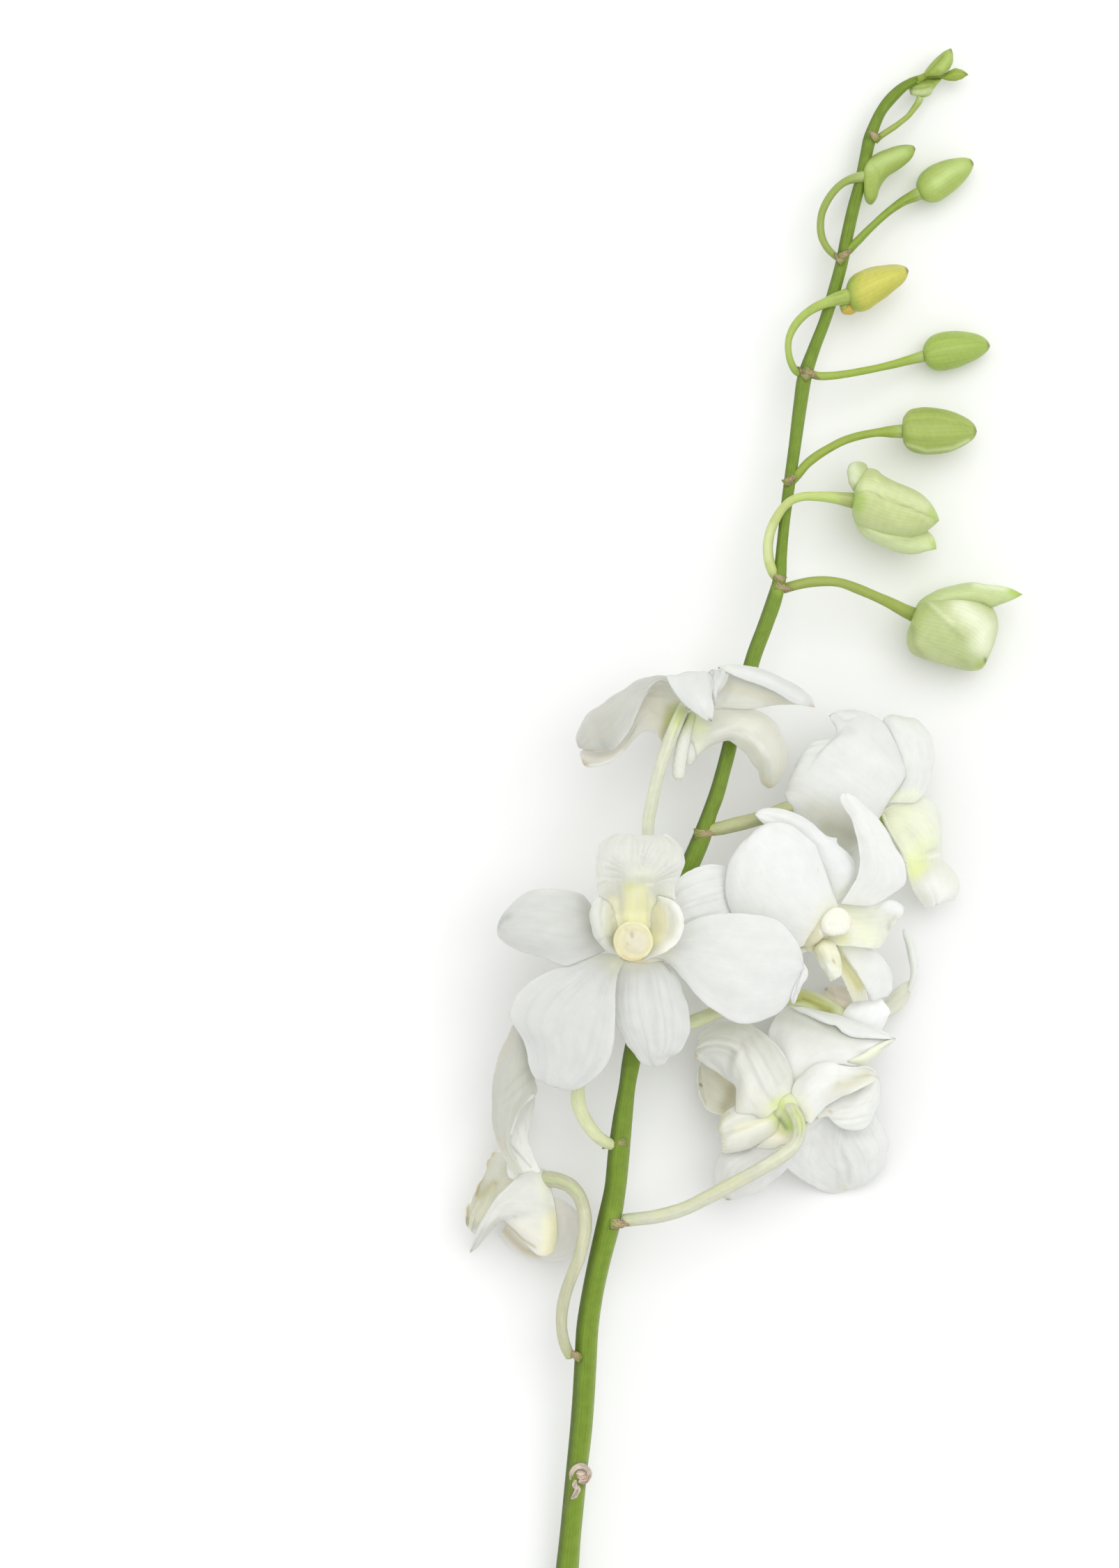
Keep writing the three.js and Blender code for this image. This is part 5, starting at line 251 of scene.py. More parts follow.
  { 'L': [[1215,414],[1218,402],[1226,393],[1240,386],[1260,381],[1280,379],[1295,380],[1304,388]], 'R': [[1205,436],[1210,448],[1225,449],[1240,448],[1256,440],[1271,430],[1286,419],[1297,407],[1304,388]], 'z': [[0,10.4,2],[0.15,10,3.8],[0.4,9.8,4.6],[0.7,9.8,3.8],[0.9,9.8,1.8],[1,9.8,0.4]], 'c': 'y', 'k': 'blob' },
 ],
 'bud_06': [
  { 'path': [[1209,368,9.4,0.8],[1218,358,9.8,0.82],[1230,346,9.8,0.85],[1248,327,9.2,0.9],[1266,308,8.4,0.95],[1282,296,7.8,1.05],[1298,286,7.2,1.2],[1312,279,6.6,1.35],[1324,274,6.2,1.5]], 'c': 'p', 'k': 'tube' },
  { 'L': [[1317,276],[1315,262],[1320,250],[1335,240],[1350,232],[1370,227],[1388,226],[1398,232]], 'R': [[1324,286],[1334,291],[1345,289],[1356,282],[1370,272],[1383,260],[1393,248],[1398,232]], 'z': [[0,5.6,1.9],[0.15,5.4,3.6],[0.4,5.2,4.2],[0.7,5.2,3.5],[0.9,5.2,1.7],[1,5.2,0.4]], 'c': 'g', 'k': 'blob' },
 ],
 'bud_07': [
  { 'path': [[1206,372,9.4,0.8],[1195,366,10.2,0.82],[1184,356,10.4,0.85],[1176,342,10.2,0.88],[1173,322,10,0.9],[1176,303,10,0.95],[1184,287,10.1,1],[1196,271,10.3,1.05],[1210,260,10.4,1.15],[1225,254,10,1.25],[1240,252,9.4,1.35]], 'c': 'p', 'k': 'tube' },
  { 'L': [[1238,246],[1246,230],[1258,220],[1275,213],[1290,208],[1305,207],[1314,211]], 'R': [[1240,262],[1240,278],[1243,290],[1250,294],[1258,285],[1262,272],[1267,262],[1275,253],[1290,243],[1303,233],[1314,211]], 'z': [[0,8.6,1.6],[0.2,8.2,3.4],[0.45,8,4],[0.7,8,3.4],[0.9,8,1.6],[1,8,0.4]], 'c': 'g', 'k': 'blob' },
 ],
 'bud_08': [
  { 'path': [[1256,203,7.6,0.6],[1263,194,8,0.6],[1276,187,7.8,0.62],[1290,178,7.4,0.7],[1303,166,7,0.8],[1314,153,6.6,0.9],[1321,142,6.3,1]], 'c': 'p', 'k': 'tube' },
  { 'L': [[1307,141],[1302,132],[1305,121],[1320,117],[1340,116],[1352,115]], 'R': [[1326,142],[1334,138],[1338,130],[1345,122],[1352,115]], 'z': [[0,5.6,1],[0.3,5.2,1.9],[0.7,5,1.6],[1,5,0.4]], 'c': 'g', 'k': 'blob' },
 ],
 'bud_09': [
  { 'path': [[1314,117,6,0.6],[1330,112,5.2,0.6],[1345,109,4.8,0.65],[1356,109,4.8,0.75]], 'c': 'p', 'k': 'tube' },
  { 'L': [[1352,108],[1361,102],[1372,98],[1382,101],[1390,107]], 'R': [[1352,113],[1362,116],[1372,116],[1381,113],[1390,107]], 'z': [[0,4.8,0.8],[0.4,4.8,1.4],[0.8,4.8,1],[1,4.8,0.3]], 'c': 'g', 'k': 'blob' },
 ],
 'bud_10': [
  { 'path': [[1312,119,7.2,0.7],[1320,112,7.4,0.75],[1326,107,7.4,0.8]], 'c': 'p', 'k': 'tube' },
  { 'L': [[1323,112],[1326,100],[1335,88],[1345,77],[1357,71],[1368,69]], 'R': [[1340,112],[1356,108],[1364,100],[1367,90],[1368,80],[1368,69]], 'z': [[0,7.2,1.4],[0.3,7,2.5],[0.7,6.8,2.1],[1,6.6,0.35]], 'c': 'g', 'k': 'blob' },
 ],
}

# Pieces with layers of their own that a single closed solid doesn't show
VIS = {}
VIS['bud_02'] = [PIECES['bud_02'][0],
  {'k': 'blob', 'L': [[1224,713],[1227,700],[1231,686],[1241,673],[1257,673],[1268,682],[1282,690],[1300,697],[1315,704],[1330,715],[1340,728],[1346,740],[1348,747]],
   'R': [[1223,728],[1224,741],[1232,753],[1246,764],[1270,772],[1302,775],[1320,769],[1336,758],[1348,747]],
   'z': [[0,13.6,2.2],[.12,13.2,6],[.35,12.8,8.6],[.6,12.6,8.6],[.85,12.8,5.4],[.96,13,2.2],[1,13,.4]], 'c': 'b'},
  {'k': 'blob', 'L': [[1224,732],[1240,742],[1280,756],[1318,756],[1332,762],[1341,772],[1344,788]],
   'R': [[1224,742],[1230,757],[1240,770],[1252,777],[1266,784],[1285,792],[1300,795],[1315,795],[1330,791],[1344,788]],
   'z': [[0,12,2.2],[.3,11,6.4],[.6,10.8,6],[.85,11,2.4],[.95,11,1],[1,11,.3]], 'c': 'b'},
  {'k': 'blob', 'L': [[1227,708],[1220,697],[1216,682],[1217,670],[1222,664],[1230,662]],
   'R': [[1236,704],[1240,694],[1246,684],[1246,672],[1240,664],[1230,662]],
   'z': [[0,13,2],[.3,12.8,4.4],[.6,12.6,4.6],[.85,12.6,2.4],[1,12.6,.4]], 'c': 'b'}]
VIS['bud_01'] = [PIECES['bud_01'][0],
  {'k': 'blob', 'L': [[1310,884],[1318,868],[1331,858],[1350,850],[1375,849],[1400,855],[1420,866],[1430,882],[1432.6,903],[1426,926],[1418,944]],
   'R': [[1308,893],[1302,907],[1302,926],[1308,937],[1320,944],[1336,949],[1358,955],[1380,961],[1396,963],[1410,959],[1418,944]],
   'z': [[0,9.9,2.2],[.12,9.7,6],[.3,9.5,9],[.55,9.5,9.2],[.75,9.5,7.6],[.9,9.5,4.4],[.97,9.5,2],[1,9.5,.4]], 'c': 'b'},
  {'k': 'blob', 'L': [[1311,880],[1320,862],[1338,850],[1360,841.6],[1401,835.5],[1413,838],[1430,840],[1447,843],[1468,853]],
   'R': [[1318,884],[1345,876],[1380,868],[1408,868],[1422,872],[1440,866],[1455,860],[1468,853]],
   'z': [[0,10,2],[.2,10.6,4.6],[.5,11,5],[.7,11.4,3.2],[.85,11.4,1.6],[1,11.2,.3]], 'c': 'b'}]
VIS['bud_05'] = PIECES['bud_05'] + [{'k': 'blob', 'L': [[1222,428],[1212,434],[1206,443],[1209,450]], 'R': [[1232,440],[1228,448],[1218,452],[1209,450]],
   'z': [[0,9.4,1.6],[.5,9.2,1.8],[1,9,.5]], 'c': 'y'}]

def P_(s):
    return [[float(c) for c in q.split(',')] for q in s.split()]

def sh(L, R, z, M=None, **k):
    d = dict(k='sheet', L=P_(L), R=P_(R), z=P_(z), c='w')
    if M: d['M'] = P_(M)
    d.update(k); return d

def rw(*rows, **k):
    return dict(dict(k='rows', rows=[P_(r) for r in rows], c='l'), **k)

def bl(L, R, z, **k):
    return dict(dict(k='blob', L=P_(L), R=P_(R), z=P_(z), c='w'), **k)

def tb(path, **k):
    return dict(dict(k='tube', path=P_(path), c='p'), **k)

def flatter(p, k, lift=0.0):
    """A copy of a row sheet whose cross rows are less deep."""
    q = dict(p); q['rows'] = []
    for r in p['rows']:
        e = (r[0][2] + r[-1][2]) / 2
        q['rows'].append([[a[0], a[1], e + (a[2] - e) * k + lift] for a in r])
    return q

# flower 3: the one that faces the eye
VIS['flower_3_petal_2'] = [sh(
 "922,1362 948,1351 970,1335 985,1325 1000,1318 1025,1312 1050,1310 1075,1311 1095,1313 1115,1320 1130,1333 1143,1350 1150,1370 1153,1392",
 "924,1378 948,1375 965,1387 975,1398 985,1410 995,1423 1010,1438 1025,1450 1040,1460 1055,1467 1070,1469 1087,1467 1105,1460 1118,1453 1131,1440 1141,1425 1149,1408 1153,1392",
 "0,34.8,34.8,34.8 .1,36.4,37,36.2 .25,38.4,39.2,38 .48,39.6,41.4,39 .7,39.6,41.8,39 .9,39,40.2,38.2 1,38,38,38"),
 sh("1152,1380 1158,1392 1158,1402 1150,1416 1144,1428 1138,1440", "1148,1384 1149,1396 1144,1408 1138,1420 1134,1430 1138,1440", "0,38,38,38 .5,38.4,40.2,39.6 1,38,38.4,38")]
VIS['flower_3_column'] = []

# flower 7
VIS['flower_7_column'] = [bl("1262,1160 1270,1157 1282,1156 1292,1160 1298,1168", "1266,1172 1274,1178 1284,1180 1293,1176 1298,1168", "0,18,1 .5,18,1.4 1,18,.5", c='y')]

# flower 5
VIS['flower_5_dorsal_sepal'] = [sh(
 "984,1014 966,992 956,970 963,984 974,1001 985,1013 998,1023 1010,1031 1021,1035", "1004,1012 1022,986 1026,962 1024,975 1023,988 1022,1000 1024,1010 1024,1022 1021,1035",
 "0,34,34,34 .22,36.4,37,36.4 .36,39.8,41,40 .46,40.2,41.8,40 .7,40.6,42,40.6 1,41,41,41", M="991,1013 990,988 992,964 996,978 1002,994 1008,1010 1014,1022 1021,1035"),
 sh("1014,1000 1018,982 1020,962 1020,972 1019,984 1021,992 1024,1002 1025,1012", "1026,1000 1040,978 1045,966 1044,974 1040,982 1034,990 1029,998 1025,1012",
 "0,33,33,33 .25,36.6,38,36 .42,39.6,40.6,38.6 .6,39.8,40.2,38.8 .8,40,40.4,39.4 1,40,40,40", M="1020,1000 1030,980 1033,960 1033,971 1030,982 1027,992 1026,1002 1025,1012")]

# ---------------------------------------------------------------- surface maths
def world(P):
    P = np.asarray(P, float); z = P[..., 2]; f = (D - z) / D
    return np.stack([(P[..., 0] - CX) * S * f, (CY - P[..., 1]) * S * f, z], -1)

def pixels(W):
    f = (D - W[..., 2]) / D
    return np.stack([W[..., 0] / (S * f) + CX, CY - W[..., 1] / (S * f)], -1)

def slopes(T, V):
    n = len(T)
    if n == 2:
        return np.array([(V[1] - V[0]) / (T[1] - T[0])] * 2)
    sl = [(V[i + 1] - V[i]) / (T[i + 1] - T[i]) for i in range(n - 1)]
    m = [0] * n
    for i in range(1, n - 1):
        h0 = T[i] - T[i - 1]; h1 = T[i + 1] - T[i]
        m[i] = (sl[i - 1] * h1 + sl[i] * h0) / (h0 + h1)
    m[0] = sl[0] * 1.5 - m[1] * .5; m[n - 1] = sl[n - 2] * 1.5 - m[n - 2] * .5
    return np.array(m)

def herm(T, V, q):
    T = np.asarray(T, float); V = np.asarray(V, float); q = np.asarray(q, float)
    m = slopes(T, V); i = np.clip(np.searchsorted(T, q, side='right') - 1, 0, len(T) - 2)
    h = T[i + 1] - T[i]; s = (q - T[i]) / h; sh = s.shape + (1,) * (V.ndim - 1)
    s = s.reshape(sh); h = h.reshape(sh)
    return ((1 + 2 * s) * (1 - s) ** 2 * V[i] + s * (1 - s) ** 2 * h * m[i]
            + s * s * (3 - 2 * s) * V[i + 1] + s * s * (s - 1) * h * m[i + 1])

def knots(P, a=0.6):
    d = np.maximum(np.linalg.norm(np.diff(P, axis=0), axis=-1), 1e-3)
    if d.ndim > 1:
        d = d.mean(axis=tuple(range(1, d.ndim)))
    t = np.concatenate([[0], np.cumsum(d ** a)])
    return t / t[-1]

def curve(pts, v):
    P = np.asarray(pts, float)[:, :2]; T = knots(P); q = np.linspace(0, 1, len(P) * 16 + 1); C = herm(T, P, q)
    s = np.concatenate([[0], np.cumsum(np.linalg.norm(np.diff(C, axis=0), axis=1))]); s /= s[-1]
    return np.stack([np.interp(v, s, C[:, 0]), np.interp(v, s, C[:, 1])], -1)

def sheet_grid(p, v, u):
    if p['k'] == 'rows':
        R = np.array(p['rows'], float); W = R * np.array([S, S, 1.0]); T = knots(W, .8)
        A = herm(T, R, v); K = R.shape[1]
        return np.moveaxis(herm(np.linspace(-1, 1, K), np.moveaxis(A, 1, 0), u), 0, 1)
    L = curve(p['L'], v); R = curve(p['R'], v); z = np.array(p['z'], float); Z = herm(z[:, 0], z[:, 1:], v)
    M = curve(p['M'], v) if 'M' in p else (L + R) / 2
    L = np.concatenate([L, Z[:, 0:1]], 1); M = np.concatenate([M, Z[:, 1:2]], 1); R = np.concatenate([R, Z[:, 2:3]], 1)
    U = u[None, :, None]
    return L[:, None] * (U * U - U) / 2 + M[:, None] * (1 - U * U) + R[:, None] * (U * U + U) / 2

def tube_grid(p, v, th, ribs=0, rib=0.0):
    a = np.array(p['path'], float)
    W = a[:, :3] * np.array([S, S, 1.0]); T = knots(W, .8)
    A = herm(T, a, v); C = world(A[:, :3]); r = np.maximum(A[:, 3], .1); r2 = np.maximum(A[:, 4] if a.shape[1] > 4 else A[:, 3], .1)
    G = world(herm(T, a[:, :3], np.clip(v + 1e-3, 0, 1))) - world(herm(T, a[:, :3], np.clip(v - 1e-3, 0, 1)))
    G /= np.linalg.norm(G, axis=1)[:, None]
    n = np.cross(G[0], [0.3, 0.2, 1.0]); n /= np.linalg.norm(n); out = []; N = []
    for i in range(len(v)):
        n = n - G[i] * np.dot(n, G[i]); n /= np.linalg.norm(n); b = np.cross(G[i], n)
        k = 1 + rib * np.cos(ribs * th + 2.2 * v[i])
        d = np.outer(np.cos(th) * r[i] * k, n) + np.outer(np.sin(th) * r2[i] * k, b)
        out.append(C[i] + d); N.append(d / np.linalg.norm(d, axis=1, keepdims=True))
    return np.array(out), np.array(N)

def blob_grid(p, v, th):
    L = curve(p['L'], v); R = curve(p['R'], v); z = np.array(p['z'], float); Z = herm(z[:, 0], z[:, 1:], v)
    c = (L + R) / 2; h = (R - L) / 2
    hz = np.maximum(Z[:, 1], .05)
    P = np.stack([c[:, 0:1] + h[:, 0:1] * np.cos(th), c[:, 1:2] + h[:, 1:2] * np.cos(th), Z[:, 0][:, None] + hz[:, None] * np.sin(th)], -1)
    return world(P)

def waves(seed, *xs, n=5, f=(1.0, 4.0)):
    """Smooth seeded wobble of one or two coordinates, about -1 to 1."""
    g = np.random.RandomState(seed); t = 0.0
    for i in range(n):
        a = g.uniform(.6, 1.0); ph = g.uniform(0, 6.283)
        arg = ph
        for x in xs:
            arg = arg + g.uniform(*f) * (1 if g.rand() > .5 else -1) * 6.283 * x
        t = t + a * np.sin(arg)
    return t / (n * .55)

def near(XY, path):
    """Distance in pixels from each point to a line of pixels, the share along it, and the side."""
    P = np.array([[float(c) for c in q.split(',')] for q in path.split()]) if isinstance(path, str) else np.asarray(path, float)
    best = np.full(XY.shape[:-1], 1e9); at = np.zeros_like(best); side = np.ones_like(best)
    seg = np.linalg.norm(np.diff(P, axis=0), axis=1); tot = seg.sum() + 1e-9; acc = 0.0
    if len(P) == 1:
        return np.linalg.norm(XY - P[0], axis=-1), np.full(XY.shape[:-1], .5), side
    for a, b, l in zip(P[:-1], P[1:], seg):
        d = b - a; w = XY - a; t = np.clip((w @ d) / (d @ d + 1e-9), 0, 1)
        e = XY - (a + t[..., None] * d); q = np.linalg.norm(e, axis=-1)
        k = q < best
        best = np.where(k, q, best); at = np.where(k, (acc + t * l) / tot, at)
        side = np.where(k, np.sign(d[0] * w[..., 1] - d[1] * w[..., 0]), side); acc += l
    return best, at, side

def smooth(x):
    x = np.clip(x, 0, 1)
    return x * x * (3 - 2 * x)

def unit(a):
    return a / np.maximum(np.linalg.norm(a, axis=-1, keepdims=True), 1e-12)

def grid_normals(G):
    dv = np.gradient(G, axis=0); du = np.gradient(G, axis=1)
    n = np.cross(du, dv); l = np.linalg.norm(n, axis=-1)
    good = l > 1e-4 * np.median(l)
    n = unit(n)
    for i in range(len(G) - 2, len(G)):
        n[i] = np.where(good[i][:, None], n[i], n[i - 1])
    s = np.sign(n[..., 2].sum()) or 1.0
    return n * s, s

def srgb(r, g, b):
    c = np.array([r, g, b], float) / 255
    return np.where(c <= .04045, c / 12.92, ((c + .055) / 1.055) ** 2.4)

# ---------------------------------------------------------------- mesh building
class Build:
    """Vertices, faces and colours of one piece."""
    def __init__(self):
        self.v = []; self.f = []; self.c = []; self.uv = []; self.n = 0; self.m = []

    def add(self, V, F, C, UV, mat):
        self.v.append(V.reshape(-1, 3)); self.f += [tuple(i + self.n for i in q) for q in F]
        self.c.append(C.reshape(-1, 3)); self.uv.append(UV.reshape(-1, 2)); self.m += [mat] * len(F)
        self.n += V.reshape(-1, 3).shape[0]

    def make(self, name, mats):
        me = bpy.data.meshes.new(name)
        V = np.concatenate(self.v) + SHIFT; V[:, 2] = np.maximum(V[:, 2], .03); V = V * 1e-3
        me.from_pydata(V.tolist(), [], self.f)
        col = me.color_attributes.new("tint", 'FLOAT_COLOR', 'POINT')
        C = np.concatenate(self.c); C = np.concatenate([np.clip(C, 0, 1), np.ones((len(C), 1))], 1)
        col.data.foreach_set("color", C.astype(np.float32).ravel())
        uv = me.uv_layers.new(name="lanes"); U = np.concatenate(self.uv)
        idx = np.zeros(len(me.loops), np.int32); me.loops.foreach_get("vertex_index", idx)
        uv.data.foreach_set("uv", U[idx].astype(np.float32).ravel())
        me.polygons.foreach_set("use_smooth", np.ones(len(me.polygons), bool))
        for m in mats:
            me.materials.append(m)
        me.polygons.foreach_set("material_index", np.array(self.m, np.int32))
        me.update(); me.validate()
        o = bpy.data.objects.new(name, me)
        bpy.context.scene.collection.objects.link(o)
        return o

def quads(n, m, wrap=False, flip=False, base=0):
    F = []
    for i in range(n - 1):
        for j in range(m if wrap else m - 1):
            k = (j + 1) % m
            q = (base + i * m + j, base + i * m + k, base + (i + 1) * m + k, base + (i + 1) * m + j)
            F.append(q[::-1] if flip else q)
    return F

def shell(b, G, n, s, t, C, UV, mat):
    """Closes a sheet: G mid surface, n normals, t thickness."""
    a, m = G.shape[:2]
    top = G + n * t[..., None] / 2; bot = G - n * t[..., None] / 2
    V = np.concatenate([top.reshape(-1, 3), bot.reshape(-1, 3)])
    F = quads(a, m, flip=s < 0) + quads(a, m, flip=s > 0, base=a * m)
    ring = [(0, j) for j in range(m)] + [(i, m - 1) for i in range(1, a)] + [(a - 1, j) for j in range(m - 2, -1, -1)] + [(i, 0) for i in range(a - 2, 0, -1)]
    ids = [i * m + j for i, j in ring]; o = a * m
    for p, q in zip(ids, ids[1:] + ids[:1]):
        F.append((p, p + o, q + o, q) if s > 0 else (q, q + o, p + o, p))
    b.add(V, F, np.concatenate([C[0].reshape(-1, 3), C[1].reshape(-1, 3)]), np.concatenate([UV.reshape(-1, 2)] * 2), mat)

def closed_tube(b, G, C, UV, mat, flip=False):
    n, m = G.shape[:2]
    F = quads(n, m, wrap=True, flip=flip)
    V = np.concatenate([G.reshape(-1, 3), G[0].mean(0)[None], G[-1].mean(0)[None]])
    a, z = n * m, n * m + 1
    for j in range(m):
        k = (j + 1) % m
        F.append((a, k, j) if not flip else (a, j, k))
        F.append((z, (n - 1) * m + j, (n - 1) * m + k) if not flip else (z, (n - 1) * m + k, (n - 1) * m + j))
    cc = np.concatenate([C.reshape(-1, 3), C[0].mean(0)[None], C[-1].mean(0)[None]])
    uu = np.concatenate([UV.reshape(-1, 2), UV[0].mean(0)[None], UV[-1].mean(0)[None]])
    b.add(V, F, cc, uu, mat)

def signed_volume(G):
    n, m = G.shape[:2]; A = G[:-1]; B = np.roll(G, -1, 1)[:-1]; Cc = np.roll(G, -1, 1)[1:]; Dd = G[1:]
    return float((np.einsum('ijk,ijk->ij', A, np.cross(B, Cc)) + np.einsum('ijk,ijk->ij', A, np.cross(Cc, Dd))).sum())

# ---------------------------------------------------------------- colours
WHITE = np.array([.80, .81, .79])
PAL = dict(w=WHITE, l=np.array([.80, .81, .76]), y=np.array([.80, .80, .64]), c=np.array([.81, .78, .63]),
           p=np.array([.68, .71, .45]), s=np.array([.21, .34, .032]), g=np.array([.46, .58, .155]),
           b=np.array([.62, .72, .36]), yb=np.array([.60, .58, .10]), br2=np.array([.70, .65, .60]))

def mixc(C, col, k):
    k = np.clip(k, 0, 1)[..., None]
    return C * (1 - k) + np.asarray(col, float) * k

def features(node, i, XY, G, N, C, side=None):
    """Folds, ridges and tints drawn as lines of pixels over one surface. Tints and darkenings give the tissue's own
    colours and marks, and also painted shade in creases, hollows and under neighbouring parts, and a few painted
    highlights. C is [upper, lower].
    """
    dz = np.zeros(XY.shape[:-1])
    for f in FEATURES.get(node, []) + FEATURES.get('%s.%d' % (node, i), []):
        d, t, sd = near(XY, f[1]) if f[0] != 'fan' else (0, 0, 0)
        if f[0] == 'ridge':      # path, width px, height mm
            dz += f[3] * .8 * np.exp(-(d / f[2]) ** 2) * smooth(np.minimum(t, 1 - t) * 6 + .15)
        elif f[0] == 'fan':      # centre, lines in a turn, height mm, shade, inner and outer radius px, which half
            cx, cy = [float(a) for a in f[1].split(',')]; wx = XY[..., 0] - cx; wy = XY[..., 1] - cy
            r = np.hypot(wx, wy) + 1e-6; a = np.arctan2(wx, -wy) + .10 * np.sin(r / 21.0 + 2 * np.cos(3 * np.arctan2(wx, -wy)))
            k = smooth((r - f[5]) / 14) * smooth((f[6] - r) / 22) * smooth(-wy * f[7] / 14 + .4)
            lobe = np.abs(np.cos(a * f[2] / 2 + .8 * np.sin(a * 3.1 + 1))); k = k * (.65 + .35 * np.sin(a * 5.3 + .7))
            dz += f[3] * (lobe ** 1.4 - .6) * k
            # painted shade between the radial ribs
            for q in (0, 1):
                C[q] = C[q] * (1 - f[4] * .7 * (1 - lobe) ** 1.5 * k)[..., None]
        elif f[0] == 'step':     # path, width px, height mm: one side stands higher
            dz += f[3] * sd * (1 - np.exp(-(d / f[2]))) * np.exp(-(d / (f[2] * 6)) ** 2) * smooth(np.minimum(t, 1 - t) * 6 + .1)
        # tint: the tissue's own colour, or painted shade or a painted highlight where the colour is darker or lighter
        # than the tissue
        elif f[0] == 'tint':     # path, width px, colour, strength
            k = f[4] * np.exp(-(d / f[2]) ** 2)
            for q in ((0, 1) if len(f) < 6 else f[5]):
                C[q] = mixc(C[q], np.minimum(np.array(f[3]) * 1.07, .93), k)
        # dark: painted shade along creases and under overlapping parts, and also real dark marks
        elif f[0] == 'dark':     # path, width px, factor
            k = 1 - f[3] * .6 * np.exp(-(d / f[2]) ** 2)
            for q in ((0, 1) if len(f) < 5 else f[4]):
                C[q] = C[q] * k[..., None]
    return dz

# ---------------------------------------------------------------- looks by piece
AMBIENT = .80
SUNS = [('key_soft', 1.15, 50, (.22, .28, 1.0)), ('fill_soft', .20, 60, (-.6, .3, .7))]
# tone: factor on the base colour, which on some pieces paints the whole piece darker as painted shade or lighter as
# painted light; foot: colour at the base; ribs and veins in millimetres; veinc: painted shade in the grooves between
# the veins
DEF = dict(nt=70, nu=46, thick=.42, edge=.16, broad=.12, ruffle=.22, rpow=2.5, rfreq=3.0, tipruf=.25, veins=11, vein=.04, veinc=.015, keel=.04,
           rag=.07, tone=(1, 1, 1), foot=(.70, .76, .42), footk=.25, footv=.2, rimc=(.80, .80, .78), rimk=.3, under=(.985, .99, .96), mat=None,
           tn=90, tm=24, ribs=6, rib=.03, bn=96, bm=88, lump=.04, bvein=.05, bveins=22, seams=[], tipc=(.5, .45, .2), tipk=0.0, tipv=.93)
LOOK = {
 '_lip': dict(ruffle=.25, rfreq=5.0, veins=15, vein=.06, veinc=.04, rag=.1, tipruf=.25, footk=.7, footv=.4, foot=(.76, .79, .40)),
 '_pedicel': dict(tn=110, tm=28, foot=(.42, .52, .12), footk=.3, footv=.12),
 '_column': dict(lump=.05, tn=44, tm=32),
 'main_stem': dict(lump=.06, footk=0.0),
 'flower_3_dorsal_sepal': dict(vein=.11, veins=11, veinc=.06, keel=.0, footk=.12, broad=.2),
 'flower_3_petal_1': dict(vein=.10, veins=17, veinc=.06, broad=.2),
 'flower_3_petal_2': dict(vein=.03, veins=19, veinc=.02, broad=.22, footk=.1),
 'flower_3_petal_2.1': dict(vein=.0, veinc=0, broad=.05, ruffle=.05, keel=0),
 'flower_3_lateral_sepals.0': dict(vein=.07, veins=11, veinc=.05, broad=.2),
 'flower_3_lateral_sepals.1': dict(vein=.12, veins=8, veinc=.07, broad=.2),
 'flower_3_lip': dict(nt=110, nu=80, vein=.13, veins=19, veinc=.07, ruffle=.22, rfreq=5, tipruf=.3, foot=(.78, .77, .34), footk=.75, footv=.45, rag=.10),
 'flower_7_lip': dict(vein=.05, veins=17, ruffle=.3, rfreq=4, tipruf=.3, tone=(.97, 1.0, .80), footk=.3),
 'flower_6_lip.0': dict(vein=.03, veins=11, ruffle=.2, rfreq=3, tipruf=.25, tone=(.98, 1.0, .84), footk=.5),
 'flower_6_lip.1': dict(vein=.03, veins=7, ruffle=.5, rfreq=9, rpow=1.0, tipruf=.4, tone=(1.0, .98, .66), footk=.5, foot=(.80, .76, .40)),
 # painted shade: a tone well below 1 here darkens a whole piece that lies in shade
 'flower_5_petal_1': dict(tone=(.84, .84, .82), vein=.10, veins=9, veinc=.06, broad=.25),
 'flower_5_lateral_sepals.0': dict(tone=(.95, .94, .88), vein=.05),
 'flower_5_lateral_sepals.1': dict(tone=(.97, .97, .92), vein=.10, veins=7, veinc=.05),
 'flower_1_petal_1': dict(tone=(.84, .85, .83), vein=.09, veins=9, veinc=.06, broad=.3),
 'flower_1_dorsal_sepal': dict(vein=.10, veins=9, veinc=.08),
 'flower_2_lateral_sepals.0': dict(tone=(1.0, .99, .93), vein=.20, veins=9, veinc=.10, nt=90, nu=60),
 'flower_2_lateral_sepals.2': dict(tone=(.97, .96, .95), vein=.08),
 'flower_2_petal_1': dict(vein=.05, broad=.15),
 'flower_2_petal_2.0': dict(vein=.16, veins=19, veinc=.10, ruffle=.35, rfreq=4),
 'flower_2_petal_2.1': dict(vein=.06, veins=7),
 'flower_2_lip': dict(tone=(.74, .71, .55), vein=.03, ruffle=.15),
 'flower_4_petal_2': dict(tone=(.80, .80, .68)),
 'flower_4_dorsal_sepal': dict(vein=.0, veinc=0, ruffle=.08, broad=.05, keel=0, tone=(.92, .94, .92)),
 'flower_1_lip': dict(tone=(.95, .94, .85)),
}
for k in range(1, 11):
    LOOK['bud_%02d' % k] = dict(bvein=.018, bveins=26, seams=[], foot=(.36, .52, .08), footk=.6, footv=.3, tipc=(.40, .46, .12), tipk=.6, tipv=.9, lump=.05)
for k, sm in {3: [(66, .07), (112, .07), (240, .12), (300, .1)], 4: [(75, .06), (105, .06), (240, .15), (300, .12)], 5: [(100, .1), (240, .12)],
              6: [(240, .12)], 7: [(240, .12)], 1: [(250, .2)], 2: [(250, .2)], 10: [(95, .12), (250, .1)]}.items():
    LOOK['bud_%02d' % k]['seams'] = sm
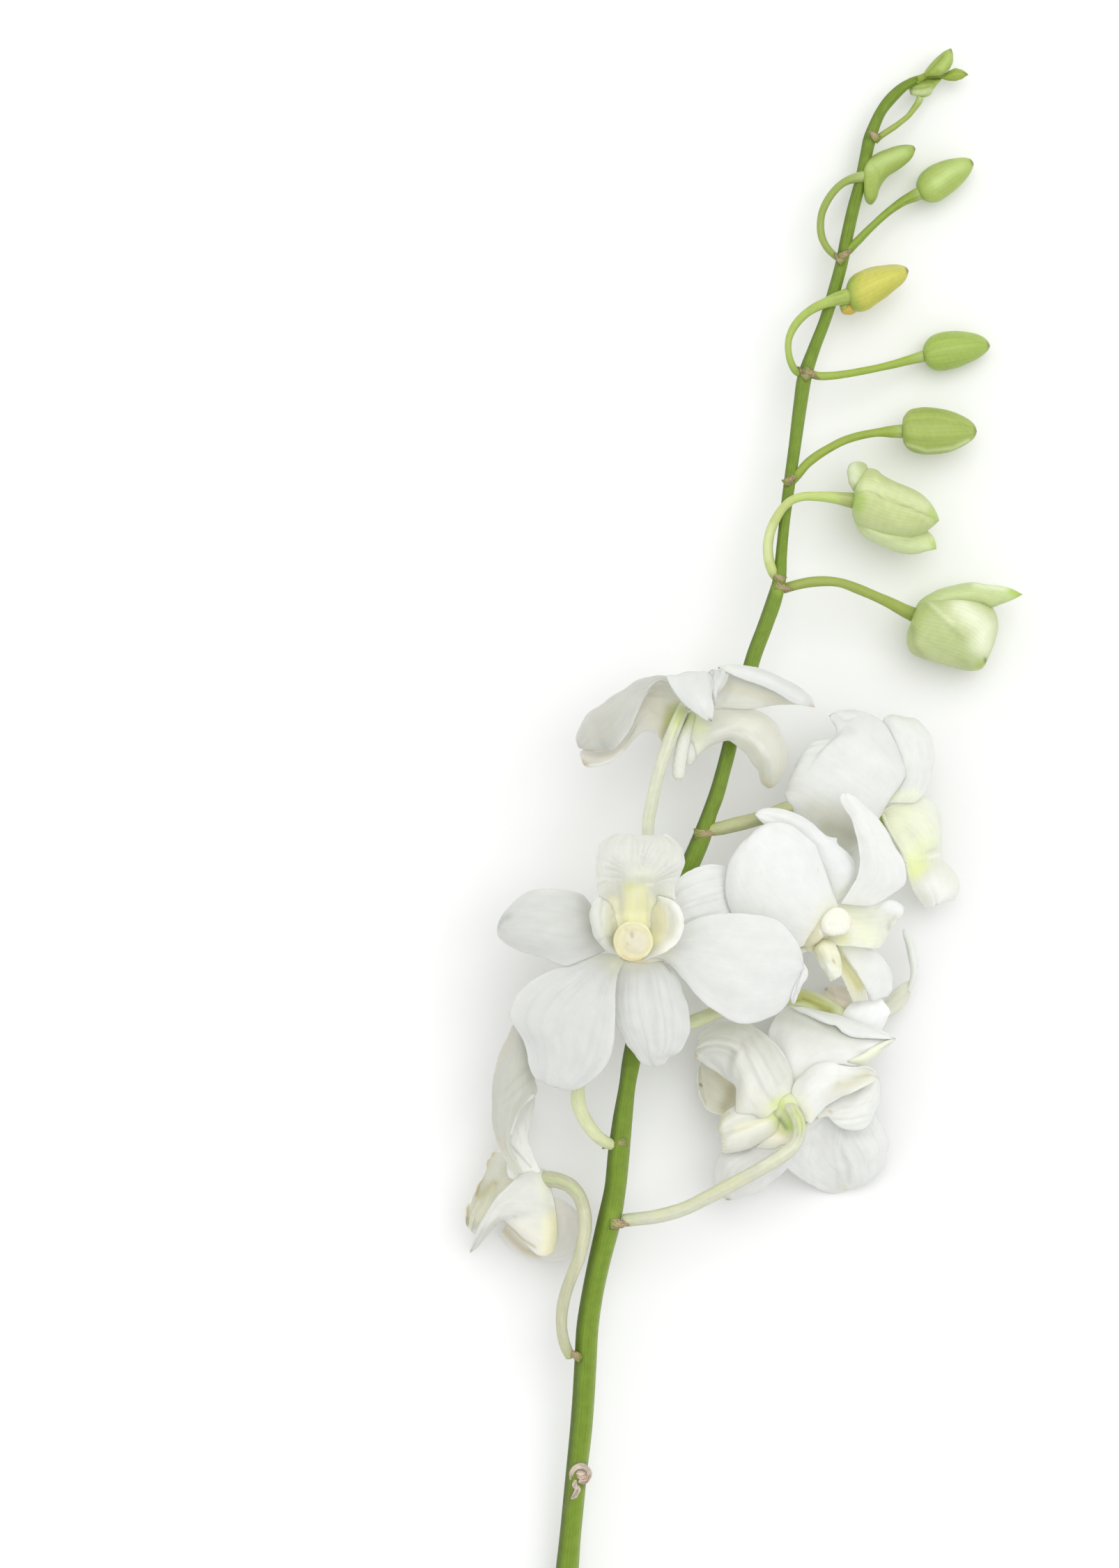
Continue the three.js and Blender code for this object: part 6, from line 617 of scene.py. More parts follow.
for k in range(1, 11):
    LOOK['bud_%02d.0' % k] = dict(tone=(.80, .92, .52) if k > 2 else (.95, 1.02, .75), foot=(.30, .42, .06), footk=.5, footv=.3, tipc=(.58, .68, .34), tipk=.5, tipv=.75, rib=.035, tn=70, tm=20)
FEATURES = {
 'bud_02.1': [('ridge', "1226,706 1250,707 1287,721 1304,728 1340,743", 2.2, -.45), ('ridge', "1228,711 1250,713 1286,728 1304,735 1336,748", 4, .3), ('dark', "1226,706 1250,707 1287,721 1304,728 1340,743", 1.6, .3),
              ('tint', "1232,700 1260,700 1290,708 1325,728", 12, (.80, .86, .60), .35), ('tint', "1230,738 1262,758 1300,764", 12, (.66, .74, .42), .3), ('tint', "1338,735 1348,748", 7, (.42, .58, .13), .7), ('tint', "1226,716 1240,722", 9, (.45, .60, .14), .5)],
 'bud_02.2': [('tint', "1235,765 1300,790 1335,788", 10, (.76, .84, .54), .6), ('dark', "1232,753 1246,764 1270,772 1302,775 1336,762", 5, .25), ('tint', "1340,780 1345,789", 5, (.42, .58, .13), .8)],
 'bud_02.3': [('tint', "1222,668 1224,690", 9, (.80, .86, .64), .7)],
 'bud_01.1': [('ridge', "1328,859 1348,878 1370,897 1386,915", 3.2, .42), ('dark', "1326,864 1345,882 1366,901 1382,917", 4, .16), ('tint', "1328,859 1348,878 1370,897", 1.8, (.84, .88, .66), .7),
              ('tint', "1380,870 1412,900 1410,925", 20, (.84, .89, .70), .8), ('tint', "1318,900 1330,925 1360,942", 16, (.62, .72, .36), .5), ('tint', "1404,955 1416,949", 7, (.40, .54, .12), .8), ('dark', "1414,947 1415,951", 2.4, .5),
              ('ridge', "1322,895 1350,915 1385,938 1405,950", 5, -.16), ('ridge', "1340,868 1380,885 1410,915 1414,940", 6, .16)],
 'bud_01.2': [('tint', "1400,838 1450,846", 5, (.80, .86, .62), .6), ('tint', "1452,848 1468,853", 7, (.40, .54, .10), .85), ('dark', "1425,870 1440,866", 4, .15)],
 'bud_03.1': [('dark', "1345,590 1368,600 1390,612", 1.6, .12), ('ridge', "1298,636 1330,645 1368,641 1392,628", 2.4, -.2), ('tint', "1300,637 1330,646 1368,642", 3, (.70,.78,.42), .6)],
 'bud_04.1': [('ridge', "1335,489 1370,483 1400,488", 1.6, -.18), ('ridge', "1336,512 1370,506 1404,500", 1.6, -.2)],
 'bud_10.1': [('ridge', "1330,108 1342,98 1352,84 1366,72", 2.0, .3), ('dark', "1328,106 1340,96 1350,82", 2, .2)],
}
EXTRA = {}

def lathe(b, c, z, prof, tilt=(0, 0), mat=0, sx=1.0, m=72, seed=5):
    """A turned form about a line of sight near c: profile of (radius mm, height mm, colour)."""
    R = np.array([q[0] for q in prof], float); H = np.array([q[1] for q in prof], float); K = np.array([q[2] for q in prof], float)
    s = np.linspace(0, 1, len(prof)); v = np.linspace(0, 1, len(prof) * 5)
    r = np.maximum(herm(s, R[:, None], v)[:, 0], .02); h = herm(s, H[:, None], v)[:, 0]; k = herm(s, K, v)
    th = np.linspace(0, 2 * math.pi, m, endpoint=False); V, T = np.meshgrid(v, th, indexing='ij')
    rr = r[:, None] * (1 + .035 * waves(seed, np.cos(T) * .3, np.sin(T) * .3, V)); o = world(np.array([c[0], c[1], z]))
    x = rr * np.cos(T) * sx; y = rr * np.sin(T); zz = np.repeat(h[:, None], m, 1) + x * tilt[0] + y * tilt[1] + .06 * waves(seed + 1, x * .12, y * .12)
    G = np.stack([o[0] + x, o[1] + y, z + zz], -1)
    C = np.repeat(k[:, None, :], m, 1)
    return G, C, T, V

def column_3(b):
    rim = np.array([.78, .76, .50]); dish = np.array([.735, .70, .47]); body = np.array([.78, .76, .54])
    prof = [(2.4, -16, body), (2.9, -12, body), (3.5, -7, body), (4.1, -3, body), (4.34, -1.2, body), (4.42, -.5, rim), (4.30, -.12, rim), (4.1, -.02, rim), (3.9, -.08, dish),
            (3.4, -.14, dish), (2.6, -.14, dish), (1.6, -.14, dish), (.1, -.14, dish)]
    G, C, T, V = lathe(b, (908.5, 1350.5), 50.2, prof, tilt=(0, -.05), seed=5); XY = pixels(G); up = V > .4
    d, t, sd = near(XY, "911,1350.5 916,1352"); q = np.exp(-(d / 15) ** 4) * up; G[..., 2] += .2 * q; C = mixc(C, (.70, .67, .535), .8 * q)
    C = mixc(C, (.60, .55, .36), .3 * np.exp(-((d - 16) / 2.6) ** 2) * up)
    for path, w_, col, k in (("884,1334 882,1346 885,1358 892,1368", 6, (.68, .63, .37), .6), ("906.5,1340 907,1344", 2.6, (.42, .37, .25), .55), ("900,1353 901,1356", 2, (.48, .42, .26), .4), ("898,1333 900,1335", 2.2, (.54, .49, .28), .4),
                             ("895,1371 903,1376 914,1377 924,1373", 2.0, (.62, .47, .16), .55), ("899,1326 909,1323.5 921,1325", 1.6, (.80, .78, .46), .7), ("931,1338 935,1350 932,1362", 2.4, (.76, .72, .40), .6)):
        d, t, sd = near(XY, path); C = mixc(C, col, k * np.exp(-(d / w_) ** 2))
    d, t, sd = near(XY, "906.5,1342"); G[..., 2] -= .18 * np.exp(-(d / 4) ** 2)
    flip = signed_volume(G - G.mean((0, 1))) < 0
    closed_tube(b, G, C, np.stack([(G[..., 0] + 40) * .25, (G[..., 1] + 40) * .25], -1), 0, flip=flip)
EXTRA['flower_3_column'] = column_3

# flower 3: channel and middle lobe, two side lobes that stand up beside the column
VIS['flower_3_lip'] = [rw(
 "884,1360,38 886,1352,38 898,1347,37 910,1345,36.4 924,1347,37 936,1352,38 940,1360,38",
 "870,1344,43.6 873,1338,42.8 890,1333,41 911,1330,40.2 932,1333,41 950,1338,42.8 956,1344,43.6",
 "862,1316,45.4 870,1314,44.4 887,1309,42.2 912,1305,41.6 938,1309,42.4 957,1313,44.6 967,1317,45.6",
 "860,1294,46.8 869,1293,46 888,1290,44.2 913,1287,43.8 939,1289,44.8 959,1292,46.2 970,1294,47",
 "858,1278,48.2 866,1277,48.4 888,1273,47 915,1268,46.8 941,1270,47.6 959,1275,48.2 968,1278,48",
 "857,1262,48.6 866,1259,49.8 888,1256,49.8 916,1253,49.8 944,1255,49.8 966,1259,49.4 974,1263,48.4",
 "856,1240,47.6 866,1237,49.6 889,1234,51 917,1231,51.2 946,1233,51 971,1237,49.8 982,1240,47.6",
 "858,1222,46 868,1219,48.2 891,1217,50 917,1215,50.4 944,1216,49.6 969,1219,47.8 981,1224,46",
 "866,1206,44 876,1204,45.8 894,1203,47.4 918,1203,47.6 941,1203,46.8 961,1205,45.4 973,1209,44.2",
 "880,1198,43.2 887,1196,44.3 897,1197,45.8 916,1199,46.1 936,1199,45.2 950,1198,44.4 961,1199.5,43.6"),
 sh("886,1368 877,1366 868,1361 858,1351 851,1336 847,1320 847,1306 850,1295 856,1287 862,1281", "886,1368 885,1356 882,1342 879,1328 876,1314 873,1303 870,1294 866,1286 862,1281",
    "0,42,42,42 .2,45,46.6,46.4 .5,47,50.4,49.6 .8,48,50.4,49.4 1,48.6,48.6,48.6", M="886,1368 879,1362 871,1353 864,1341 861,1327 860,1312 860,1300 861,1290 862,1281"),
 sh("934,1374 936,1362 938,1348 937,1334 934,1318 933,1304 934,1294 938,1287 946,1283", "934,1374 950,1370 963,1361 972,1350 978,1336 980,1320 978,1306 973,1295 964,1287 946,1283",
    "0,41,41,41 .15,44.4,45.4,46.4 .5,46,47.4,49.4 .8,47.6,48.8,50 1,49,49,49")]
VIS['flower_3_lateral_sepals'] = PIECES['flower_3_lateral_sepals'] + [bl("880,1376 892,1368 908,1366 926,1367 944,1371 956,1378", "880,1376 893,1386 908,1388 926,1387 942,1384 956,1378", "0,34,.5 .2,34.4,1.4 .5,34.8,2 .8,34.4,1.4 1,34,.4")]
# painted shade: the olive tints inside the lip's right side lobe are partly the throat's own yellow and partly shade in
# the hollow; the dark marks on the left lateral sepal's tip and the dorsal sepal's edge are painted shade
FEATURES.update({
 'flower_3_lip.0': [('fan', '917,1266', 34, .20, .13, 10, 66, 1), ('fan', '917,1270', 13, .16, .05, 14, 70, 1),
   ('tint', "900,1330 900,1300 905,1276", 12, (.66, .68, .30), .75), ('tint', "926,1330 926,1300 923,1276", 12, (.68, .70, .32), .75), ('tint', "880,1330 872,1306 874,1288", 9, (.74, .72, .40), .6),
   ('tint', "913,1264 921,1256", 11, (.74, .80, .56), .6), ('ridge', "898,1324 897,1300 900,1278", 2.6, .55), ('ridge', "931,1322 932,1300 930,1278", 2.6, .55), ('ridge', "915,1322 915,1296 914,1274", 3.4, .35),
   ('ridge', "897,1272 906,1268 918,1269 932,1271", 2.2, .5), ('dark', "896,1277 900,1275", 4, .25), ('tint', "930,1269 936,1270", 2, (.92, .93, .80), .8), ('dark', "889,1268 891,1290 893,1316", 2.4, .22),
   ('dark', "935,1272 937,1290 936,1312", 2.4, .14), ('ridge', "917,1252 921,1228 920,1206", 5, .25), ('tint', "918,1250 921,1228 920,1206", 5, (.88, .88, .84), .45), ('dark', "876,1303 877,1305", 2.6, .4), ('dark', "861,1263 868,1266 874,1268", 2, .2), ('dark', "857,1268 861,1270", 2, .35),
   ('ridge', "888,1290 886,1300 880,1310", 3, .3), ('dark', "955,1242 957,1243", 2, .12)],
 'flower_3_lip.1': [('tint', "866,1350 858,1330 856,1308 860,1292", 9, (.84, .87, .78), .7), ('tint', "880,1364 874,1356", 5, (.80, .80, .66), .4), ('dark', "872,1303 876,1316 879,1330 881,1344", 2.4, .16),
   ('tint', "870,1318 872,1300 866,1288", 5, (.78, .78, .56), .5), ('ridge', "874,1356 868,1338 866,1316 867,1298", 3.4, .3), ('dark', "862,1283 858,1288", 2, .2)],
 'flower_3_lip.2': [('tint', "948,1300 952,1318 948,1336 942,1350", 13, (.56, .53, .22), .85), ('tint', "941,1300 938,1320 938,1345", 6, (.62, .60, .28), .6), ('tint', "958,1356 972,1340 976,1320 974,1304", 4.5, (.82, .84, .74), .8),
   ('tint', "946,1284 960,1288", 6, (.72, .78, .56), .5), ('tint', "945,1366 956,1362", 7, (.80, .82, .72), .6)],
 'flower_3_column': [],
 'flower_3_lateral_sepals.0': [('dark', "716,1326 722,1320 730,1316", 6, .3), ('dark', "850,1330 870,1345 890,1362", 10, .14), ('tint', "868,1352 884,1366 900,1372", 3, (.66, .50, .20), .6), ('dark', "834,1292 844,1320 852,1340", 8, .14)],
 'flower_3_lateral_sepals.1': [('dark', "978,1300 996,1318", 8, .12)],
 'flower_3_lateral_sepals.3': [('tint', "890,1371 905,1373 920,1374", 4, (.80, .70, .36), .6)],
 'flower_3_dorsal_sepal': [('tint', "896,1382 912,1381 930,1381", 5, (.80, .74, .46), .5), ('dark', "948,1378 956,1386 962,1394", 2, .35), ('ridge', "930,1500 942,1512 950,1516", 4, .3), ('tint', "935,1522 944,1527", 4, (.62, .56, .38), .4), ('dark', "940,1510 948,1512", 2.4, .15)],
 'flower_3_petal_1': [('tint', "890,1374 880,1384", 7, (.80, .80, .60), .4), ('dark', "893,1400 894,1440 888,1470", 3.4, .12), ('dark', "860,1520 840,1548", 6, .08)],
 'flower_3_petal_2.0': [('tint', "934,1362 948,1364 960,1368", 9, (.74, .72, .50), .4), ('dark', "950,1352 966,1358 990,1362", 6, .07), ('dark', "944,1378 952,1384 960,1391", 1.6, .3)],
 'flower_3_petal_2.1': [('tint', "1150,1384 1156,1396", 2.6, (.78, .82, .70), .4)],
})

# flower 5: the left lateral sepal's inner face shows between the folded petal and the dorsal sepal
VIS['flower_5_lateral_sepals'] = [sh(
 "986,1020 972,1001 959,982 948,973 938,979 928,990 919,1003 910,1032 902,1048 894,1061 874,1075 853,1076 834,1078 838,1097",
 "984,1040 966,1060 952,1066 943,1053 933,1049 923,1050 910,1061 903,1070 895,1079 886,1086 877,1093 859,1099 846,1101 838,1097",
 "0,32,32,32 .25,31,31.6,31 .5,29.8,30.6,30.6 .75,28.6,29.8,29.6 .92,27,28.6,28 1,27,27,27"),
 PIECES['flower_5_lateral_sepals'][1],
 bl("990,1034 982,1044 974,1054 969,1070 965,1088 963,1102 965,1114 973,1121", "990,1034 995,1046 992,1060 989,1074 986,1090 984,1104 980,1115 973,1121", "0,33,.5 .15,33,2.2 .4,33.4,2.2 .8,33.4,1.7 1,33.4,.4"),
 bl("1000,1034 992,1042 986,1056 984,1072 983,1088 984,1096 988,1101", "1000,1034 1008,1044 1004,1060 1000,1078 997,1090 993,1098 988,1101", "0,31.8,.5 .2,31.8,2 .5,31.9,1.7 1,31.8,.4")]
# painted shade: the grey tints on flower 5's folded petal 1 and the olive and grey tints on the left lateral sepal near
# the stalk stand for shade
FEATURES.update({
 'flower_5_petal_1': [('tint', "848,1040 870,1018 900,1000", 13, (.55, .55, .49), .45), ('tint', "856,1062 872,1050", 9, (.50, .50, .44), .35), ('ridge', "905,1000 896,1025 889,1048 876,1070", 6, .8), ('tint', "900,1008 893,1030 886,1052", 6, (.82, .82, .80), .55),
   ('dark', "868,1060 874,1074", 3, .2), ('tint', "834,1076 853,1077 874,1076", 1.8, (.46, .38, .26), .55), ('ridge', "866,1040 880,1020 905,992", 4, -.3), ('tint', "939,978 928,990 920,1003 911,1032 902,1048 894,1061", 1.5, (.87, .87, .84), .7)],
 'flower_5_lateral_sepals.0': [('tint', "938,990 935,1010 942,1030", 15, (.62, .60, .51), .75), ('tint', "950,976 958,990 968,1004", 7, (.66, .64, .58), .6), ('tint', "962,1018 958,1040 954,1060", 9, (.44, .43, .24), .8), ('tint', "974,1014 966,1028 962,1040", 8, (.42, .48, .14), .7),
   ('tint', "915,1025 918,1045", 9, (.68, .66, .60), .5), ('tint', "842,1084 860,1090 880,1084 898,1068", 7, (.72, .68, .60), .5), ('tint', "843,1098 860,1097 878,1090 893,1078", 2.4, (.86, .86, .82), .6), ('ridge', "926,994 942,996 958,994", 2.4, .3),
   ('dark', "926,997 942,999 956,998", 2.4, .15), ('ridge', "930,1018 944,1028 958,1032", 4, -.3), ('tint', "838,1093 842,1097", 4, (.50, .38, .24), .6)],
 'flower_5_lateral_sepals.1': [('ridge', "1020,1050 1043,1051 1067,1055 1088,1068 1102,1088 1106,1108", 5, .6), ('tint', "1030,1052 1050,1052 1068,1056 1088,1068 1100,1084", 4, (.84, .83, .78), .5), ('tint', "1066,1066 1082,1082 1092,1102", 6, (.60, .58, .48), .6), ('tint', "1086,1036 1104,1052 1117,1080", 8, (.66, .64, .56), .55),
   ('tint', "1120,1090 1117,1108 1108,1122", 6, (.58, .56, .46), .5), ('tint', "1092,1114 1100,1124 1104,1130", 8, (.50, .43, .28), .65), ('dark', "1098,1080 1103,1098 1103,1118", 2.4, .22), ('tint', "996,1034 1004,1042", 11, (.72, .78, .42), .7),
   ('tint', "1030,1030 1060,1034 1080,1044", 10, (.77, .76, .66), .45), ('ridge', "1034,1030 1066,1032 1090,1042", 4, -.25), ('tint', "1001,1072 996,1084", 7, (.74, .78, .54), .6)],
 'flower_5_lateral_sepals.2': [('tint', "988,1040 980,1056", 8, (.74, .80, .42), .5), ('tint', "975,1060 970,1090 969,1112", 5, (.86, .86, .68), .5), ('dark', "986,1056 982,1084 979,1108", 3, .08)],
 'flower_5_lateral_sepals.3': [('tint', "998,1040 998,1054", 8, (.58, .68, .28), .6), ('tint', "990,1080 988,1098", 5, (.76, .78, .56), .4)],
 'flower_5_dorsal_sepal.0': [('tint', "968,985 985,1000 1005,1012", 18, (.80, .82, .82), .4), ('dark', "1019,976 1022,990 1023,1000", 1.8, .22), ('tint', "1019,1033 1022,1035", 2.4, (.25, .20, .12), .7), ('ridge', "990,985 1004,1004 1014,1022", 5, .25)],
 'flower_5_dorsal_sepal.1': [('ridge', "1026,990 1027,1004 1026,1018", 2.2, .45), ('dark', "1031,992 1030,1008 1029,1018", 2.4, .25), ('dark', "1036,990 1042,982", 2, .18), ('ridge', "1040,958 1030,972 1024,984", 3, -.2)],
 'flower_5_petal_2': [('tint', "1044,984 1070,990 1100,1000 1125,1008", 8, (.66, .64, .52), .8), ('tint', "1032,1000 1060,1008 1090,1010", 6, (.76, .75, .66), .4), ('ridge', "1046,966 1067,975 1093,984 1116,996 1139,1010", 2.8, .45), ('tint', "1046,966 1067,975 1093,984 1116,996 1139,1010 1158,1013", 1.5, (.52, .50, .40), .5),
   ('tint', "1050,959 1075,963 1100,972 1125,984 1146,998 1158,1008", 5, (.86, .87, .87), .6), ('tint', "1164,1011 1168,1014", 3, (.55, .42, .32), .6), ('dark', "1048,970 1052,990 1044,1002", 5, .12)],
})

# flower 7
VIS['flower_7_lip'] = [rw(
 "1266,1164,20 1266,1167,19.6 1267,1171,19.4 1268,1175,19.6 1268,1179,20", "1284,1152,21 1287,1162,19.6 1285,1174,18.8 1280,1185,19.2 1273,1190,20.6",
 "1308,1144,20.6 1310,1160,19.4 1304,1178,18.6 1294,1192,18.8 1281,1203,20", "1336,1149,19 1333,1168,18.8 1321,1188,18 1306,1204,17.8 1289,1220,19",
 "1352,1178,17 1345,1192,17.4 1332,1208,16.6 1315,1222,16.6 1297,1236,17.6", "1350,1208,15.6 1344,1218,15.8 1332,1228,15.2 1317,1238,15 1301,1250,15.6",
 "1356,1232,13.4 1347,1238,14.2 1334,1245,14.4 1320,1253,13.8 1304,1264,13", "1374,1258,10.6 1361,1262,12.4 1344,1267,13 1328,1272,12.2 1311,1281,10.6",
 "1375,1280,8.8 1362,1284,10.4 1348,1287,10.8 1335,1290,10.2 1320,1295,8.8", "1364,1292,8 1356,1294,8.8 1346,1296,9 1339,1303,8.6 1331,1307,7.8"),
 rw("1262,1160,20.6 1265,1165,21 1270,1170,20.4", "1268,1178,20.2 1272,1182,21.4 1278,1186,20.4", "1280,1200,19.6 1283,1203,20.8 1289,1206,19.8", "1290,1218,18.6 1293,1221,19.6 1298,1224,18.8", "1297,1236,17.6 1299,1237,18 1302,1239,17.6")]
# painted shade: the grey and olive tints on flower 7's petal 1 stand for the shadow of flower 6 above it, and the grey
# tints and dark lines on flower 6's petals and dorsal sepal for shade
FEATURES.update({
 'flower_7_lip.0': [('tint', "1318,1232 1322,1240 1312,1246", 12, (.74, .84, .20), .95), ('tint', "1326,1204 1318,1222", 13, (.78, .86, .42), .75), ('tint', "1300,1160 1320,1170 1330,1188", 16, (.80, .86, .56), .8), ('tint', "1288,1176 1298,1196 1304,1214", 10, (.80, .86, .58), .75),
   ('tint', "1335,1266 1350,1280 1340,1298", 16, (.82, .83, .77), .9), ('ridge', "1302,1225 1325,1224 1345,1216", 3, -.45), ('ridge', "1306,1232 1326,1229 1345,1225", 2.4, .5), ('tint', "1334,1229 1346,1225", 2.4, (.88, .90, .74), .7), ('dark', "1330,1222 1342,1216", 2.4, .16),
   ('tint', "1344,1297 1346,1299", 2, (.22, .17, .10), .8), ('ridge', "1300,1158 1316,1182 1322,1204", 7, -.4), ('fan', '1318,1248', 22, .10, .05, 14, 60, -1), ('dark', "1354,1232 1364,1246", 4, .08)],
 'flower_7_lip.1': [('tint', "1266,1166 1276,1186 1290,1212 1299,1232", 2.6, (.60, .62, .34), .6), ('tint', "1271,1168 1284,1190 1297,1220", 1.8, (.88, .90, .80), .7)],
 'flower_7_petal_1': [('tint', "1168,1160 1190,1166 1215,1176 1236,1184", 15, (.62, .62, .52), .7), ('tint', "1192,1184 1215,1190", 12, (.48, .48, .36), .6), ('tint', "1136,1150 1142,1128 1158,1096", 12, (.72, .73, .69), .5), ('tint', "1190,1105 1215,1120 1235,1140", 20, (.82, .84, .77), .4),
   ('dark', "1160,1068 1176,1064", 6, .06), ('ridge', "1150,1105 1180,1110 1215,1130 1250,1160", 12, .35)],
 'flower_7_dorsal_sepal': [('tint', "1198,1030 1215,1036 1235,1048", 12, (.78, .80, .72), .5), ('dark', "1192,1026 1200,1034", 5, .12), ('tint', "1270,1136 1262,1156 1258,1168", 6, (.74, .80, .46), .7), ('dark', "1216,1022 1240,1030 1262,1040", 3, .05)],
 'flower_7_petal_2': [('tint', "1276,1140 1290,1138 1310,1134", 9, (.76, .82, .52), .7), ('tint', "1290,1030 1310,1036 1325,1052", 9, (.76, .78, .72), .5), ('tint', "1284,1070 1296,1096 1300,1116", 4, (.62, .64, .52), .45), ('ridge', "1300,1040 1318,1070 1314,1110", 8, .4)],
 'flower_6_petal_2': [('tint', "1206,1142 1213,1159 1222,1175 1228,1195 1233,1220 1234,1240 1230,1258 1222,1273", 3, (.88, .89, .85), .6), ('tint', "1222,1150 1236,1166 1250,1184", 9, (.72, .74, .71), .5), ('dark', "1214,1148 1226,1166", 5, .1), ('tint', "1216,1286 1240,1290 1262,1284", 9, (.80, .84, .68), .5),
   ('tint', "1290,1240 1288,1262 1276,1278", 9, (.74, .76, .76), .4), ('ridge', "1236,1196 1240,1230 1236,1256", 7, -.3)],
 'flower_6_dorsal_sepal': [('tint', "1176,1198 1196,1222 1212,1246", 12, (.80, .82, .83), .5), ('dark', "1186,1200 1192,1204 1203,1204", 3, .14), ('tint', "1090,1168 1110,1166 1132,1170", 6, (.78, .79, .76), .5), ('ridge', "1096,1168 1130,1172 1160,1188 1184,1216 1200,1250", 5, .35),
   ('dark', "1217,1226 1226,1244 1222,1264 1204,1286", 4, .16)],
 'flower_6_petal_1': [('dark', "1050,1300 1046,1275 1050,1245", 6, .08), ('dark', "1060,1222 1076,1204", 5, .07), ('tint', "1180,1300 1172,1326 1160,1346", 9, (.82, .82, .70), .5), ('dark', "1196,1284 1190,1262 1182,1240", 2, .16), ('tint', "1089,1252 1091,1253", 2, (.66, .62, .56), .6), ('tint', "1098,1302 1100,1303", 2, (.66, .62, .56), .6),
   ('tint', "1174,1248 1175,1250", 1.6, (.62, .60, .52), .6)],
})

# flower 6, lower half
VIS['flower_6_column'] = [
 bl("1148,1361 1155,1350 1163,1339 1172,1328 1180,1320 1190,1311 1200,1304 1208,1304", "1148,1361 1162,1359 1174,1352 1182,1345 1190,1341 1198,1336 1206,1326 1208,1304", "0,29.4,.4 .2,30.2,1.6 .5,31.2,2.4 .8,32,2.6 1,32,.5", c='c'),
 bl("1177,1330 1180,1318 1188,1308 1199,1304 1210,1306 1219,1314 1223,1325", "1177,1330 1181,1338 1190,1343 1201,1343 1211,1340 1219,1334 1223,1325", "0,33,.4 .2,33.8,1.8 .5,34.4,2.4 .8,34.2,1.8 1,33.6,.4", c='c')]
VIS['flower_6_lip'] = [rw(
 "1198,1300,28.6 1197,1312,28 1194,1326,27.6 1191,1340,27.8 1188,1352,28.6", "1212,1294,29.6 1216,1308,28.2 1216,1326,27.6 1210,1342,27.8 1203,1357,29",
 "1236,1294,30 1240,1308,28.6 1238,1326,27.8 1232,1344,28 1224,1358,29", "1258,1296,29.6 1261,1308,28.6 1258,1325,27.8 1251,1344,27.8 1244,1360,28.4",
 "1276,1291,28.4 1277,1304,27.6 1272,1322,26.8 1265,1342,26.6 1256,1361,27", "1289,1295,27 1287,1306,26.6 1279,1325,25.8 1272,1342,25.4 1264,1358,25.6", "1298,1304,25.6 1295,1312,25.6 1285,1325,25 1276,1338,24.6 1273,1350,24.6"),
 rw("1166,1362,27.6 1172,1354,28.6 1178,1349,29 1188,1347,28.4", "1168,1368,28.4 1174,1362,30.4 1184,1356,31 1198,1354,29.4", "1172,1376,28.6 1180,1370,30.6 1190,1364,31.2 1202,1362,29.2",
    "1177,1384,28.4 1184,1379,30.2 1194,1373,30.6 1205,1370,28.8", "1182,1391,27.8 1189,1387,29.4 1198,1382,29.6 1207,1379,28", "1187,1400,27 1193,1397,28.4 1200,1393,28.6 1208,1389,27", "1192,1408,26 1197,1406,27 1202,1403,27 1208,1399,26"),
 rw("1186,1360,26.6 1194,1358,26.2 1204,1358,26.6", "1192,1374,25.6 1202,1371,25 1213,1370,25.2", "1201,1390,24 1212,1387,23.4 1223,1385,23.6", "1210,1406,22.2 1222,1403,21.6 1234,1401,21.8", "1218,1424,20 1230,1422,19.6 1243,1421,19.8", "1224,1438,18 1234,1437,17.8 1246,1436,18")]
